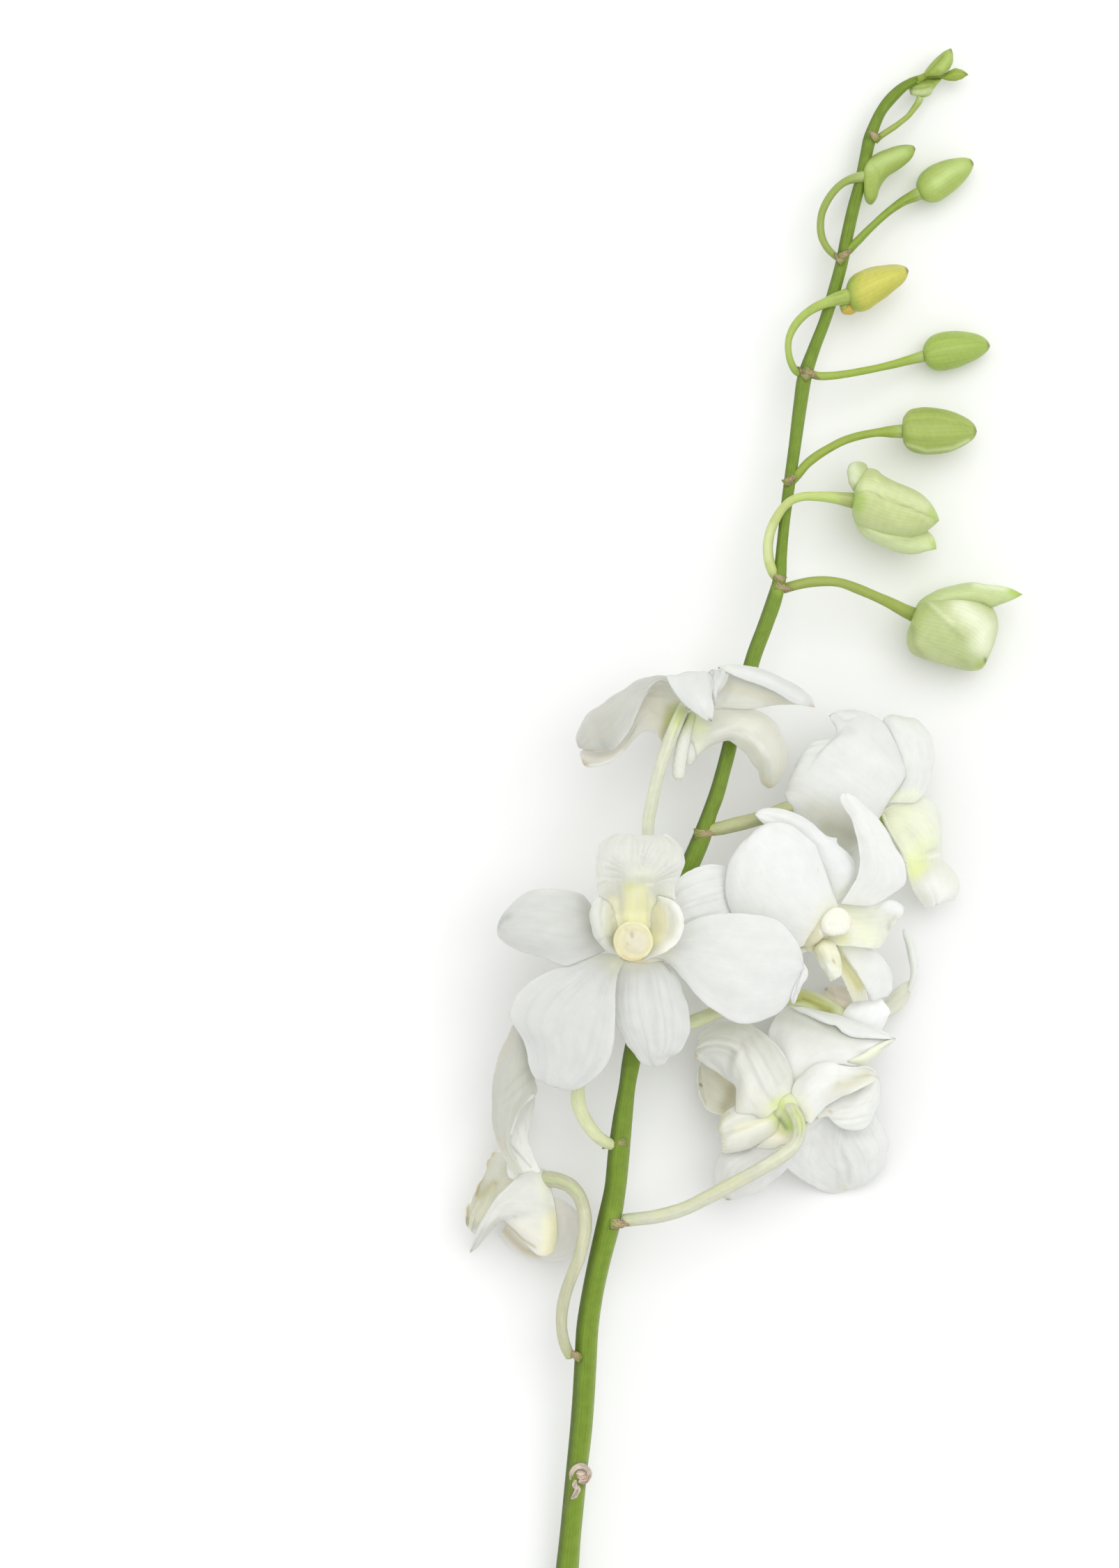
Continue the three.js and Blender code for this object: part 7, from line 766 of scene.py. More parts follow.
# painted shade: the dark lines under the column cap stand for its shadow and the olive strip on the folded lip piece
# for shade on its turned side; the small pale spot on the column is a painted highlight
FEATURES.update({
 'flower_6_column.1': [('tint', "1190,1316 1204,1318 1214,1326", 10, (.84, .77, .66), .6), ('tint', "1218,1324 1221,1328", 3, (.58, .24, .14), .75), ('tint', "1178,1328 1186,1318", 5, (.84, .80, .56), .5), ('tint', "1182,1338 1200,1342 1212,1339", 3, (.70, .60, .34), .5), ('tint', "1194,1330 1206,1330", 6, (.86, .82, .76), .5),
   ('dark', "1190,1343 1202,1344", 2, .3)],
 'flower_6_column.0': [('tint', "1150,1358 1160,1348 1170,1340", 7, (.56, .50, .32), .6), ('tint', "1176,1342 1179,1338", 2.4, (.92, .92, .84), .8), ('dark', "1182,1344 1192,1346", 3, .35), ('tint', "1196,1308 1204,1304", 6, (.82, .82, .66), .5)],
 'flower_6_lip.0': [('tint', "1226,1320 1240,1336 1250,1346", 16, (.76, .82, .52), .7), ('tint', "1278,1300 1290,1303", 9, (.82, .84, .84), .85), ('dark', "1262,1302 1272,1292 1280,1290", 2.4, .12), ('tint', "1210,1344 1206,1354", 8, (.72, .74, .36), .6), ('dark', "1284,1322 1290,1316 1296,1312", 3, .14), ('ridge', "1270,1300 1276,1312 1274,1330", 4, .35)],
 'flower_6_lip.1': [('tint', "1180,1360 1190,1372 1198,1386", 10, (.85, .83, .60), .6), ('tint', "1193,1376 1196,1380 1197,1384", 2, (.16, .11, .03), .9), ('dark', "1188,1378 1180,1381", 2.4, .2), ('ridge', "1176,1362 1186,1366 1196,1362", 2.6, .6), ('ridge', "1180,1376 1190,1374 1198,1368", 2.6, .6), ('ridge', "1188,1388 1196,1384 1203,1378", 2.4, .5),
   ('tint', "1190,1404 1200,1404", 3, (.55, .48, .24), .5), ('dark', "1184,1350 1196,1352", 3, .22), ('tint', "1186,1386 1192,1396 1198,1402", 6, (.80, .84, .70), .6), ('ridge', "1170,1368 1180,1362 1188,1352", 2.2, .45)],
 'flower_6_lip.2': [('tint', "1200,1372 1214,1390 1230,1412", 12, (.55, .52, .14), .85), ('tint', "1198,1384 1208,1402 1222,1428", 5, (.66, .63, .46), .7), ('tint', "1214,1416 1224,1434", 8, (.64, .60, .44), .6), ('dark', "1216,1378 1228,1396 1240,1416", 3, .2)],
 'flower_6_lateral_sepals.0': [('tint', "1204,1358 1220,1364 1240,1362", 7, (.80, .83, .66), .5), ('dark', "1262,1366 1274,1384 1279,1406", 4, .07), ('tint', "1206,1368 1222,1386 1236,1405 1244,1424", 1.8, (.88, .89, .83), .7), ('tint', "1224,1380 1238,1400", 10, (.80, .80, .66), .3)],
 'flower_6_lateral_sepals.2': [('tint', "1156,1344 1170,1350 1190,1352", 14, (.74, .70, .46), .8)],
 'flower_6_lateral_sepals.1': [('tint', "1150,1360 1130,1372", 8, (.72, .76, .52), .5)],
})
P4 = [dict(q) for q in PIECES['flower_4_pedicel']]
P4[0]['path'] = [list(a) for a in P4[0]['path']]
for a, dz_, dr in zip(P4[0]['path'][-5:], (-.8, -2.0, -2.8, -3.4, -3.8), (0, .2, .35, .4, .3)):
    a[2] += dz_; a[3] += dr; a[1] += 1.0
VIS['flower_4_pedicel'] = P4
VIS['flower_4_dorsal_sepal'] = [sh(
 "1300,1420 1305,1408 1307,1396 1306,1384 1303,1370 1300,1356 1297,1345 1296,1336 1297,1333", "1306,1424 1312,1412 1316,1400 1318,1388 1316,1374 1314,1362 1311,1350 1304,1340 1297,1333",
 "0,7.4,8,7.4 .3,8.4,9,8 .7,8.8,9.8,8.6 1,9,9,9")]
# painted light: the pale line along flower 4's stalk is a painted highlight and the dark line beside it painted shade;
# the olive-grey tints on petal 2 are painted shade
FEATURES.update({
 'flower_4_pedicel': [('tint', "1130,1434 1150,1430 1170,1438 1190,1450", 9, (.24, .33, .035), .85), ('tint', "1136,1431 1152,1427 1170,1434 1186,1445", 2.2, (.40, .48, .09), .8), ('tint', "1140,1437 1156,1434 1174,1443 1190,1452", 1.6, (.14, .22, .02), .6), ('tint', "1100,1436 1118,1432", 8, (.40, .48, .10), .5)],
 'flower_4_lateral_sepals.0': [('tint', "1186,1421 1198,1424 1212,1420", 8, (.60, .54, .47), .5), ('dark', "1186,1420 1200,1430 1217,1436", 2, .22), ('tint', "1198,1446 1208,1452", 9, (.50, .42, .34), .5), ('dark', "1184,1418 1187,1420", 2, .5)],
 'flower_4_petal_1': [('tint', "1215,1450 1232,1434 1252,1430", 8, (.84, .84, .80), .5), ('dark', "1214,1462 1240,1470 1262,1476", 6, .10)],
 'flower_4_petal_2': [('tint', "1280,1440 1294,1426 1306,1412", 14, (.47, .47, .35), .75), ('tint', "1276,1456 1290,1450 1302,1438", 5, (.60, .60, .50), .5)],
 'flower_4_dorsal_sepal': [('tint', "1302,1345 1309,1368 1311,1392", 7, (.70, .74, .68), .5)],
 'flower_4_petal_1.0': [],
})

# flower 2: seen from behind, two rounded lobes of the mentum run into the green crown of the stalk
def lift(p, dz):
    q = dict(p); q['rows'] = [[[a[0], a[1], a[2] + dz] for a in r] for r in p['rows']]
    return q
VIS['flower_2_lateral_sepals'] = [PIECES['flower_2_lateral_sepals'][0], PIECES['flower_2_lateral_sepals'][2],
 bl("1124,1596 1108,1588 1088,1590 1066,1594 1048,1600 1037,1608 1031,1618 1036,1630", "1124,1596 1118,1606 1102,1614 1084,1619 1068,1625 1054,1629 1044,1631 1036,1630", "0,20.6,.5 .2,21.4,2.4 .5,21.6,3.4 .8,20.4,3 .94,19.6,1.6 1,19.4,.4"),
 bl("1126,1606 1112,1606 1096,1614 1080,1619 1062,1627 1048,1631 1037,1636 1034,1646 1042,1656", "1126,1606 1126,1622 1114,1634 1100,1640 1088,1640 1074,1648 1060,1654 1050,1656 1042,1656", "0,21,.5 .2,21.2,2.2 .5,21.2,3 .8,20,2.6 .94,19.2,1.4 1,19,.4", c='y'),
 bl("1100,1592 1108,1580 1120,1574 1134,1576 1146,1588 1152,1602", "1100,1592 1106,1606 1116,1618 1130,1626 1144,1622 1152,1602", "0,22,.4 .25,22.8,1.6 .6,23.6,2.2 .85,23.6,1.8 1,23,.5", c='c')]
VIS['flower_2_pedicel'] = [dict(PIECES['flower_2_pedicel'][0])]
VIS['flower_2_pedicel'][0]['path'] = [list(a) for a in PIECES['flower_2_pedicel'][0]['path'] if a[1] > 1640] + [[1128, 1655, 26.6, 1.55], [1140, 1645, 26.8, 1.7], [1147, 1632, 26.4, 1.9], [1150, 1618, 25.6, 2.0], [1148, 1604, 24.8, 2.0], [1141, 1594, 24.4, 1.8], [1134, 1592, 24, 1.4]]
VIS['flower_2_petal_1'] = [PIECES['flower_2_petal_1'][0],
 sh("1132,1441 1145,1439 1158,1444 1172,1449 1188,1453 1204,1457 1220,1462 1236,1468 1252,1475 1268,1482 1285,1491",
    "1132,1441 1140,1448 1150,1453 1160,1457 1174,1464 1189,1470 1200,1472 1210,1482 1223,1488 1250,1490 1285,1491", "0,16,16,16 .15,16.8,18,17.6 .5,17,19.4,19.8 .8,17,19,19.4 1,16.6,16.6,16.6"),
 sh("1285,1490.6 1270,1494 1256,1500 1240,1511 1228,1517 1216,1523", "1285,1490.6 1274,1501 1262,1512 1250,1522 1236,1530 1216,1523", "0,16.6,16.6,16.6 .3,18.2,18.6,17 .7,20.4,20.8,18.4 1,20.6,20.6,20.6")]
LOOK.update({
 'flower_2_petal_1.1': dict(nt=60, nu=20, vein=0, veinc=0, ruffle=.06, broad=.05, keel=0, footk=0, tone=(.97, 1.0, .99)),
 'flower_2_petal_1.2': dict(nt=50, nu=24, vein=.04, veins=5, veinc=.03, ruffle=.06, broad=.05, footk=0, tone=(.93, .98, .72)),
 'flower_2_lateral_sepals.0': dict(tone=(.99, .985, .93), vein=.04, veins=11, veinc=.05, nt=110, nu=80, ruffle=.12, tipruf=.2),
 'flower_2_lateral_sepals.1': dict(tone=(.93, .925, .92), vein=.09, veins=9, veinc=.05),
 'flower_2_lateral_sepals.2': dict(tone=(1.0, .99, .88), bvein=.03, bveins=14, footk=.0, tipk=0, lump=.08),
 'flower_2_lateral_sepals.3': dict(tone=(1.01, 1.0, .92), bvein=.03, bveins=12, footk=.0, tipk=0, lump=.08),
 'flower_2_lateral_sepals.4': dict(tone=(.98, .99, .86), bvein=.03, bveins=12, footk=.0, tipk=0, lump=.05),
 'flower_3_lip.0': dict(nt=150, nu=120, vein=.02, veins=9, veinc=.0, keel=0, ruffle=.14, rfreq=6, tipruf=.20, foot=(.78, .77, .40), footk=.6, footv=.45, rag=.14, tone=(1, 1, .97)),
 'flower_3_lip.1': dict(nt=80, nu=40, vein=.03, veins=5, veinc=.0, keel=0, ruffle=.16, rfreq=6, footk=.3, footv=.2, rag=.12, broad=.1),
 'flower_3_lip.2': dict(nt=80, nu=40, vein=.03, veins=7, veinc=.0, keel=0, ruffle=.16, rfreq=5, footk=.3, footv=.2, rag=.10, broad=.1),
 'flower_3_lateral_sepals.3': dict(bvein=.02, bveins=10, footk=.0, tipk=0, tone=(1.0, .98, .88), lump=.05),
 'flower_5_lateral_sepals.2': dict(bvein=.03, bveins=10, footk=.4, foot=(.68, .76, .36), footv=.3, tipk=0, tone=(1.03, 1.03, .98)),
 'flower_5_lateral_sepals.3': dict(bvein=.03, bveins=10, footk=.5, foot=(.60, .70, .30), footv=.35, tipk=0, tone=(1.02, 1.02, .96)),
 'flower_7_lip.1': dict(nt=40, nu=16, vein=0, veinc=0, broad=.04, ruffle=.05, rag=.04, tone=(.93, .95, .62), footk=.3),
 'flower_6_column.0': dict(bvein=.02, bveins=9, footk=.3, foot=(.58, .52, .32), footv=.4, tipk=0, lump=.08, tone=(.97, .96, .86)),
 'flower_6_column.1': dict(bvein=.0, footk=0, tipk=0, lump=.10, tone=(1.02, 1.0, .98)),
 'flower_7_column': dict(bvein=.0, footk=0, tipk=0),
 'flower_6_lip.2': dict(nt=60, nu=24, vein=.03, veins=5, veinc=.04, broad=.06, ruffle=.06, footk=.5, foot=(.50, .47, .12), tone=(.93, .92, .80)),
 'flower_6_lip.0': dict(nt=90, nu=60, vein=.03, veins=9, veinc=.02, keel=0, ruffle=.14, rfreq=3, tipruf=.18, tone=(.99, 1.0, .90), footk=.5, foot=(.74, .76, .40), footv=.35),
 'flower_7_lip.0': dict(nt=100, nu=70, vein=.03, veins=9, veinc=.02, keel=0, ruffle=.16, rfreq=4, tipruf=.2, tone=(.98, 1.0, .88), footk=.3),
 'flower_4_lateral_sepals.0': dict(nt=50, nu=30, vein=.04, veins=5, ruffle=.08, footk=.3, foot=(.52, .44, .36), tone=(1.06, 1.02, .98)),
 'flower_1_lip': dict(nt=110, nu=60, vein=.03, veins=7, veinc=.03, keel=0, ruffle=.35, rfreq=8, rpow=4, rag=.2, tipruf=.3, tone=(.90, .885, .80), foot=(.66, .60, .40), footk=.4),
 'flower_1_lateral_sepals.0': dict(nt=100, nu=60, vein=.05, veins=9, veinc=.02, tone=(.96, .955, .91), footk=.2, ruffle=.12, broad=.15),
 'flower_1_lateral_sepals.1': dict(nt=90, nu=60, vein=.04, veins=9, veinc=.02, tone=(.93, .90, .91), footk=.15),
 'flower_1_petal_1': dict(nt=110, nu=60, tone=(.86, .865, .845), vein=.03, veins=9, veinc=.03, broad=.3, footk=.1),
 'flower_1_dorsal_sepal': dict(nt=90, nu=40, vein=.10, veins=7, veinc=.08, tone=(.92, .925, .90), footk=.2),
})
# painted shade: on flower 2 the grey tints across petal 1 stand for the shadow of the flowers above it, and the olive
# tints in the dorsal sepal's hollow, the lip's pocket and the dark slit in the green hollow for shade; on flower 1 the
# grey tints on petal 1 and the far lateral sepal are painted shade
FEATURES.update({
 'flower_2_lateral_sepals.0': [
   ('ridge', "1000,1503 1012,1496 1029,1494 1047,1497 1060,1506", 3.4, .7), ('dark', "1003,1509 1014,1502 1029,1500 1046,1503 1057,1511", 2.8, .22), ('ridge', "1008,1489 1026,1482 1045,1481 1062,1486", 5, .35), ('dark', "1012,1512 1028,1508 1044,1512 1053,1520", 2.4, .12),
   ('ridge', "1062,1503 1057,1520 1053,1540 1052,1562", 5, .6), ('dark', "1056,1508 1050,1522 1046,1540 1046,1556", 5, .14), ('tint', "1062,1506 1064,1500", 2.4, (.70, .62, .52), .4),
   ('tint', "1020,1516 1034,1524 1044,1540 1048,1556", 9, (.66, .67, .66), .6), ('ridge', "1018,1512 1034,1522 1044,1538", 2.6, .3), ('dark', "1022,1522 1036,1534 1043,1548", 2, .14),
   ('dark', "1066,1497 1074,1516 1085,1540 1096,1562 1108,1580", 3.6, .17), ('ridge', "1071,1498 1079,1516 1090,1540 1101,1562 1112,1580", 4, .55), ('dark', "1076,1489 1092,1512 1105,1536 1116,1556", 3.2, .17), ('ridge', "1081,1489 1097,1512 1110,1536 1120,1558", 4, .55),
   ('dark', "1084,1482 1101,1501 1116,1525 1126,1546", 2.8, .14), ('ridge', "1089,1483 1106,1502 1121,1526 1130,1548", 3.6, .4), ('dark', "1094,1478 1112,1500 1126,1524", 2.2, .08), ('ridge', "1096,1485 1118,1503 1133,1523 1139,1542 1140,1562", 2.2, .4),
   ('tint', "1097,1486 1118,1503 1133,1523 1139,1542 1140,1562", 1.6, (.90, .90, .87), .7), ('dark', "1060,1530 1064,1552 1072,1574 1086,1590", 3, .10), ('tint', "1072,1560 1084,1574 1092,1584", 10, (.74, .73, .64), .6), ('tint', "1056,1580 1062,1594", 9, (.74, .72, .58), .6),
   ('tint', "1084,1466 1070,1464 1050,1467", 8, (.78, .77, .73), .5), ('tint', "996,1510 999,1515", 3, (.42, .29, .14), .8), ('tint', "1002,1487 999,1500 998,1516", 2.4, (.70, .62, .42), .6), ('tint', "1112,1584 1126,1578 1136,1576", 8, (.66, .76, .28), .7), ('tint', "1100,1596 1112,1600", 9, (.76, .78, .52), .6)],
 'flower_2_lateral_sepals.1': [('tint', "1072,1652 1090,1650 1110,1652", 10, (.60, .59, .58), .7), ('dark', "1040,1654 1060,1655 1075,1650", 4, .15), ('tint', "1042,1722 1046,1722", 4, (.40, .28, .16), .8), ('tint', "1110,1640 1128,1650", 8, (.72, .74, .50), .5), ('ridge', "1036,1668 1060,1678 1090,1684", 7, .3)],
 'flower_2_lateral_sepals.2': [('tint', "1034,1628 1031,1618 1036,1608 1044,1600", 3.4, (.60, .56, .30), .7), ('tint', "1064,1600 1090,1596 1110,1594", 9, (.80, .78, .70), .5), ('tint', "1112,1602 1122,1598", 8, (.74, .80, .40), .7), ('tint', "1062,1622 1084,1616 1104,1610", 4, (.84, .80, .48), .6),
   ('tint', "1040,1612 1046,1622", 6, (.80, .78, .50), .5), ('ridge', "1046,1606 1070,1602 1096,1600", 5, .25), ('dark', "1038,1631 1052,1628 1070,1624 1086,1618 1104,1613", 2.2, .25)],
 'flower_2_lateral_sepals.3': [('tint', "1052,1632 1072,1626 1096,1618", 5, (.85, .82, .50), .6), ('tint', "1100,1634 1116,1626", 8, (.82, .78, .62), .4), ('tint', "1036,1648 1040,1654", 4, (.66, .68, .40), .5), ('dark', "1080,1642 1096,1638", 3, .15), ('ridge', "1050,1642 1074,1634 1096,1624", 6, .25)],
 'flower_2_lateral_sepals.4': [('tint', "1120,1582 1132,1584 1140,1592", 11, (.52, .68, .12), .85), ('tint', "1118,1602 1122,1610 1124,1620", 7, (.50, .55, .12), .8), ('dark', "1121,1601 1126,1609 1131,1619", 2.2, .9), ('tint', "1121,1600 1127,1609 1132,1619", 3.4, (.10, .20, .01), .95),
   ('tint', "1116,1603 1117,1606", 2.2, (.78, .84, .20), .8), ('ridge', "1128,1586 1136,1596 1138,1608 1134,1620", 2.2, .45), ('dark', "1132,1584 1141,1594 1143,1606 1139,1619", 1.6, .25), ('ridge', "1122,1584 1130,1596 1133,1606", 2.2, .4), ('tint', "1104,1590 1110,1602 1112,1614", 6, (.80, .80, .52), .6),
   ('dark', "1126,1588 1133,1600 1134,1612", 1.4, .3)],
 'flower_2_pedicel': [('tint', "1150,1618 1148,1604 1140,1595", 9, (.52, .66, .16), .75), ('dark', "1153,1630 1154,1616 1150,1602 1142,1594", 1.3, .22), ('dark', "1147,1634 1147,1618 1143,1606 1138,1600", 1.2, .22), ('dark', "1142,1640 1130,1650 1110,1660", 1.3, .10),
   ('tint', "1140,1644 1120,1658 1096,1670", 6, (.80, .81, .60), .5), ('tint', "1060,1690 1020,1706 985,1722 940,1738", 9, (.62, .64, .24), .6), ('ridge', "1140,1642 1120,1654 1096,1667", 2.2, .18)],
 'flower_2_petal_1.0': [('tint', "1140,1462 1170,1474 1200,1484 1226,1492", 11, (.60, .60, .54), .8), ('tint', "1120,1462 1135,1456", 9, (.64, .64, .60), .6), ('tint', "1160,1492 1195,1498 1225,1500", 12, (.70, .70, .66), .7), ('tint', "1232,1495 1256,1494 1274,1493", 5, (.60, .60, .57), .7),
   ('tint', "1106,1484 1110,1510 1118,1540", 4, (.90, .90, .87), .6), ('dark', "1103,1482 1104,1490 1108,1506", 2, .14), ('tint', "1150,1540 1158,1552", 10, (.86, .86, .80), .5)],
 'flower_2_petal_1.1': [('tint', "1206,1462 1236,1474 1266,1486", 8, (.72, .75, .74), .75), ('tint', "1134,1441 1150,1440 1180,1451 1204,1458", 2, (.93, .93, .90), .8), ('tint', "1283,1490 1285,1491", 3, (.44, .42, .34), .6)],
 'flower_2_petal_1.2': [('tint', "1228,1520 1246,1510 1264,1500", 7, (.80, .88, .52), .7), ('dark', "1218,1522 1234,1514 1252,1503 1268,1496", 1.6, .12)],
 'flower_2_dorsal_sepal': [('tint', "1206,1560 1226,1552 1244,1542", 11, (.62, .61, .48), .85), ('tint', "1190,1572 1206,1566", 9, (.70, .69, .60), .6), ('tint', "1160,1536 1176,1528 1196,1527", 7, (.88, .88, .84), .5), ('dark', "1205,1530 1202,1550 1196,1566", 2.6, .10),
   ('tint', "1150,1580 1160,1596 1166,1608", 8, (.82, .83, .62), .5), ('tint', "1202,1554 1204,1555", 2.2, (.60, .50, .38), .5), ('tint', "1138,1576 1137,1562 1146,1548 1160,1534 1176,1526 1196,1523", 1.6, (.70, .70, .64), .4), ('ridge', "1150,1566 1176,1556 1204,1546", 7, .3)],
 'flower_2_petal_2.0': [('dark', "1184,1620 1206,1642 1217,1672 1219,1696", 3.4, .20), ('ridge', "1190,1620 1212,1642 1223,1672 1225,1694", 4, .6), ('dark', "1178,1626 1194,1650 1202,1680 1203,1704", 2.4, .14), ('dark', "1196,1616 1222,1634 1238,1656 1246,1680", 2.4, .12), ('ridge', "1200,1614 1228,1632 1244,1654 1254,1676", 4, .4),
   ('tint', "1180,1612 1186,1630 1180,1650", 12, (.64, .64, .63), .55), ('dark', "1200,1624 1228,1628 1252,1627", 4, .18), ('tint', "1160,1650 1165,1680 1175,1700", 8, (.80, .82, .78), .4), ('tint', "1208,1700 1215,1706", 4, (.58, .62, .44), .5), ('ridge', "1160,1640 1152,1664 1158,1690", 5, .35), ('dark', "1166,1636 1160,1664 1168,1694", 2.4, .10)],
 'flower_2_petal_2.1': [('tint', "1190,1594 1193,1597", 3, (.46, .30, .18), .75), ('tint', "1197,1593 1203,1595", 3.5, (.72, .60, .46), .5), ('ridge', "1196,1602 1222,1601 1248,1594", 2.6, .4), ('dark', "1196,1606 1222,1605 1248,1599", 1.8, .14), ('dark', "1202,1590 1226,1588 1250,1580", 1.8, .10), ('ridge', "1202,1612 1226,1611 1250,1604", 2.4, .3),
   ('tint', "1206,1618 1228,1622 1250,1622", 4, (.86, .87, .84), .5)],
 'flower_2_lip': [('tint', "1050,1558 1046,1578 1040,1592", 13, (.33, .28, .11), .8), ('tint', "1012,1534 1014,1560 1022,1584", 10, (.58, .57, .47), .7), ('tint', "1030,1540 1040,1556", 8, (.56, .52, .26), .6), ('tint', "1004,1556 1006,1558", 2.4, (.16, .12, .04), .7), ('tint', "1040,1598 1048,1592", 3, (.30, .24, .12), .5), ('dark', "1003,1530 1006,1556 1012,1582", 2.2, .18)],
 'flower_1_petal_1': [('ridge', "722,1560 740,1540 762,1520", 2.6, .35), ('dark', "724,1566 742,1546 764,1527", 2.2, .12), ('ridge', "720,1578 742,1556 764,1538", 2.6, .35), ('dark', "722,1584 744,1563 764,1546", 2.2, .12), ('ridge', "724,1594 744,1574 762,1556", 2.6, .3), ('ridge', "722,1545 738,1526 756,1506", 2.4, .25), ('dark', "725,1550 740,1532 758,1512", 2, .08),
   ('tint', "736,1476 728,1494 720,1512 714,1530", 5, (.44, .36, .26), .6), ('tint', "741,1488 735,1504 727,1518", 1.8, (.56, .40, .30), .7), ('tint', "709,1570 710,1600 716,1628", 8, (.52, .52, .47), .6), ('tint', "716,1636 722,1646", 6, (.46, .42, .32), .7), ('tint', "766,1570 752,1586 741,1604 733,1626", 1.6, (.86, .86, .83), .6),
   ('dark', "745,1490 756,1506 762,1518", 2, .12), ('ridge', "742,1480 738,1500 730,1520 720,1540", 4, .5), ('tint', "764,1567 767,1570", 2, (.34, .26, .16), .7)],
 'flower_1_dorsal_sepal': [('dark', "732,1641 748,1659 762,1675", 1.6, .5), ('ridge', "735,1641 751,1658 765,1673", 2, .35), ('ridge', "745,1610 752,1640 762,1668", 3, .3), ('dark', "741,1612 747,1640", 1.6, .14), ('dark', "752,1604 757,1634 768,1662", 1.6, .12), ('tint', "738,1684 752,1690", 8, (.78, .78, .72), .4)],
 'flower_1_lip': [('tint', "714,1648 701,1660 694,1680 686,1699 683,1716 671,1727 669,1756 668,1778", 4, (.36, .26, .10), .85), ('dark', "693,1684 690,1694", 3, .5), ('dark', "669,1748 668,1758", 2.6, .6), ('tint', "700,1690 706,1680 712,1668", 9, (.80, .80, .72), .6), ('tint', "676,1744 682,1736", 5, (.74, .72, .52), .6),
   ('tint', "692,1714 702,1706 712,1696", 8, (.64, .58, .40), .5), ('tint', "724,1660 726,1674 730,1690", 4, (.70, .67, .55), .5), ('ridge', "688,1706 700,1694 710,1690", 4, -.35)],
 'flower_1_lateral_sepals.0': [('ridge', "736,1694 722,1712 706,1728 694,1748 684,1772", 4.5, .5), ('tint', "736,1694 722,1710 706,1726 694,1746 684,1770", 4, (.86, .86, .84), .5), ('ridge', "756,1734 736,1738 718,1748", 5, .35), ('dark', "768,1738 746,1744 724,1748", 3, .08), ('tint', "776,1700 780,1720", 8, (.78, .80, .62), .5),
   ('tint', "786,1760 783,1780 782,1794", 8, (.80, .76, .42), .7), ('dark', "738,1745 741,1746", 1.8, .35), ('tint', "760,1752 746,1756 732,1756", 7, (.76, .74, .66), .5), ('tint', "772,1772 762,1764 748,1758", 9, (.84, .82, .70), .5), ('tint', "676,1794 678,1796", 3, (.50, .40, .28), .6),
   ('tint', "712,1757 723,1751 738,1763 755,1779 775,1790", 2.2, (.40, .31, .12), .8)],
 'flower_1_lateral_sepals.1': [('tint', "720,1758 735,1776 752,1792 772,1800", 7, (.40, .33, .14), .75), ('tint', "722,1768 732,1782 750,1796", 4, (.72, .66, .62), .5), ('tint', "806,1732 826,1750 830,1776 822,1800", 13, (.74, .70, .70), .6), ('tint', "792,1720 796,1740", 6, (.76, .76, .62), .5), ('dark', "718,1752 724,1756", 3, .6)],
 'flower_1_lateral_sepals.2': [],
 'flower_1_pedicel': [('tint', "782,1692 800,1692 820,1700 834,1716", 3, (.44, .58, .12), .6), ('dark', "784,1696 802,1696 820,1704 832,1718", 1.4, .2), ('dark', "784,1688 802,1687 822,1694 837,1708", 1.2, .14), ('tint', "778,1690 784,1692", 6, (.60, .68, .30), .6), ('tint', "838,1740 838,1790 832,1840", 6, (.76, .76, .54), .5)],
})
VIS['flower_1_lateral_sepals'] = [PIECES['flower_1_lateral_sepals'][0], PIECES['flower_1_lateral_sepals'][2],
 bl("784,1738 790,1752 796,1768 799,1784 797,1796 789,1804", "784,1738 778,1752 775,1768 774,1782 779,1794 789,1804", "0,17,.4 .3,18,1.8 .7,18.4,1.9 .9,18.4,1.2 1,18.4,.4", c='y')]
LOOK['flower_1_lateral_sepals.2'] = dict(bvein=.02, bveins=8, footk=.2, foot=(.80, .80, .66), tipk=0, lump=.1, tone=(1.02, 1.0, .82))

# ---------------------------------------------------------------- tones by piece, where many tones are painted shade or painted light, soft joins
def chg(key, **k):
    d = LOOK.pop(key, {}); d.update(k); LOOK[key] = d

# flower 3
VIS['flower_3_lip'][1] = sh("886,1368 877,1367 866,1360 857,1350 851,1338 847.5,1322 847,1308 850,1297 855,1290 860,1285", "890,1362 887,1352 884,1340 881,1328 878,1316 876,1306 875,1297 873,1290 868,1286 860,1285",
    "0,41,41,40 .2,44.4,45.6,43 .5,46.6,48.6,45 .8,47.8,48.8,46 1,48,47.6,47", M="887,1366 880,1361 872,1352 866,1340 863,1326 861,1312 861,1301 862,1294 862,1288 860,1285")
VIS['flower_3_lip'][2] = sh("926,1376 926,1362 927,1348 927,1334 926,1320 926,1306 928,1296 934,1289 942,1286", "926,1376 944,1371 960,1363 972,1353 979,1340 982,1325 979,1309 973,1298 960,1289 942,1286",
    "0,39,39.4,40 .15,41,43.2,44.2 .5,41.4,44.6,46.6 .8,42.6,46.4,47.8 1,45,46.6,47.2")
VIS['flower_3_column'] = []
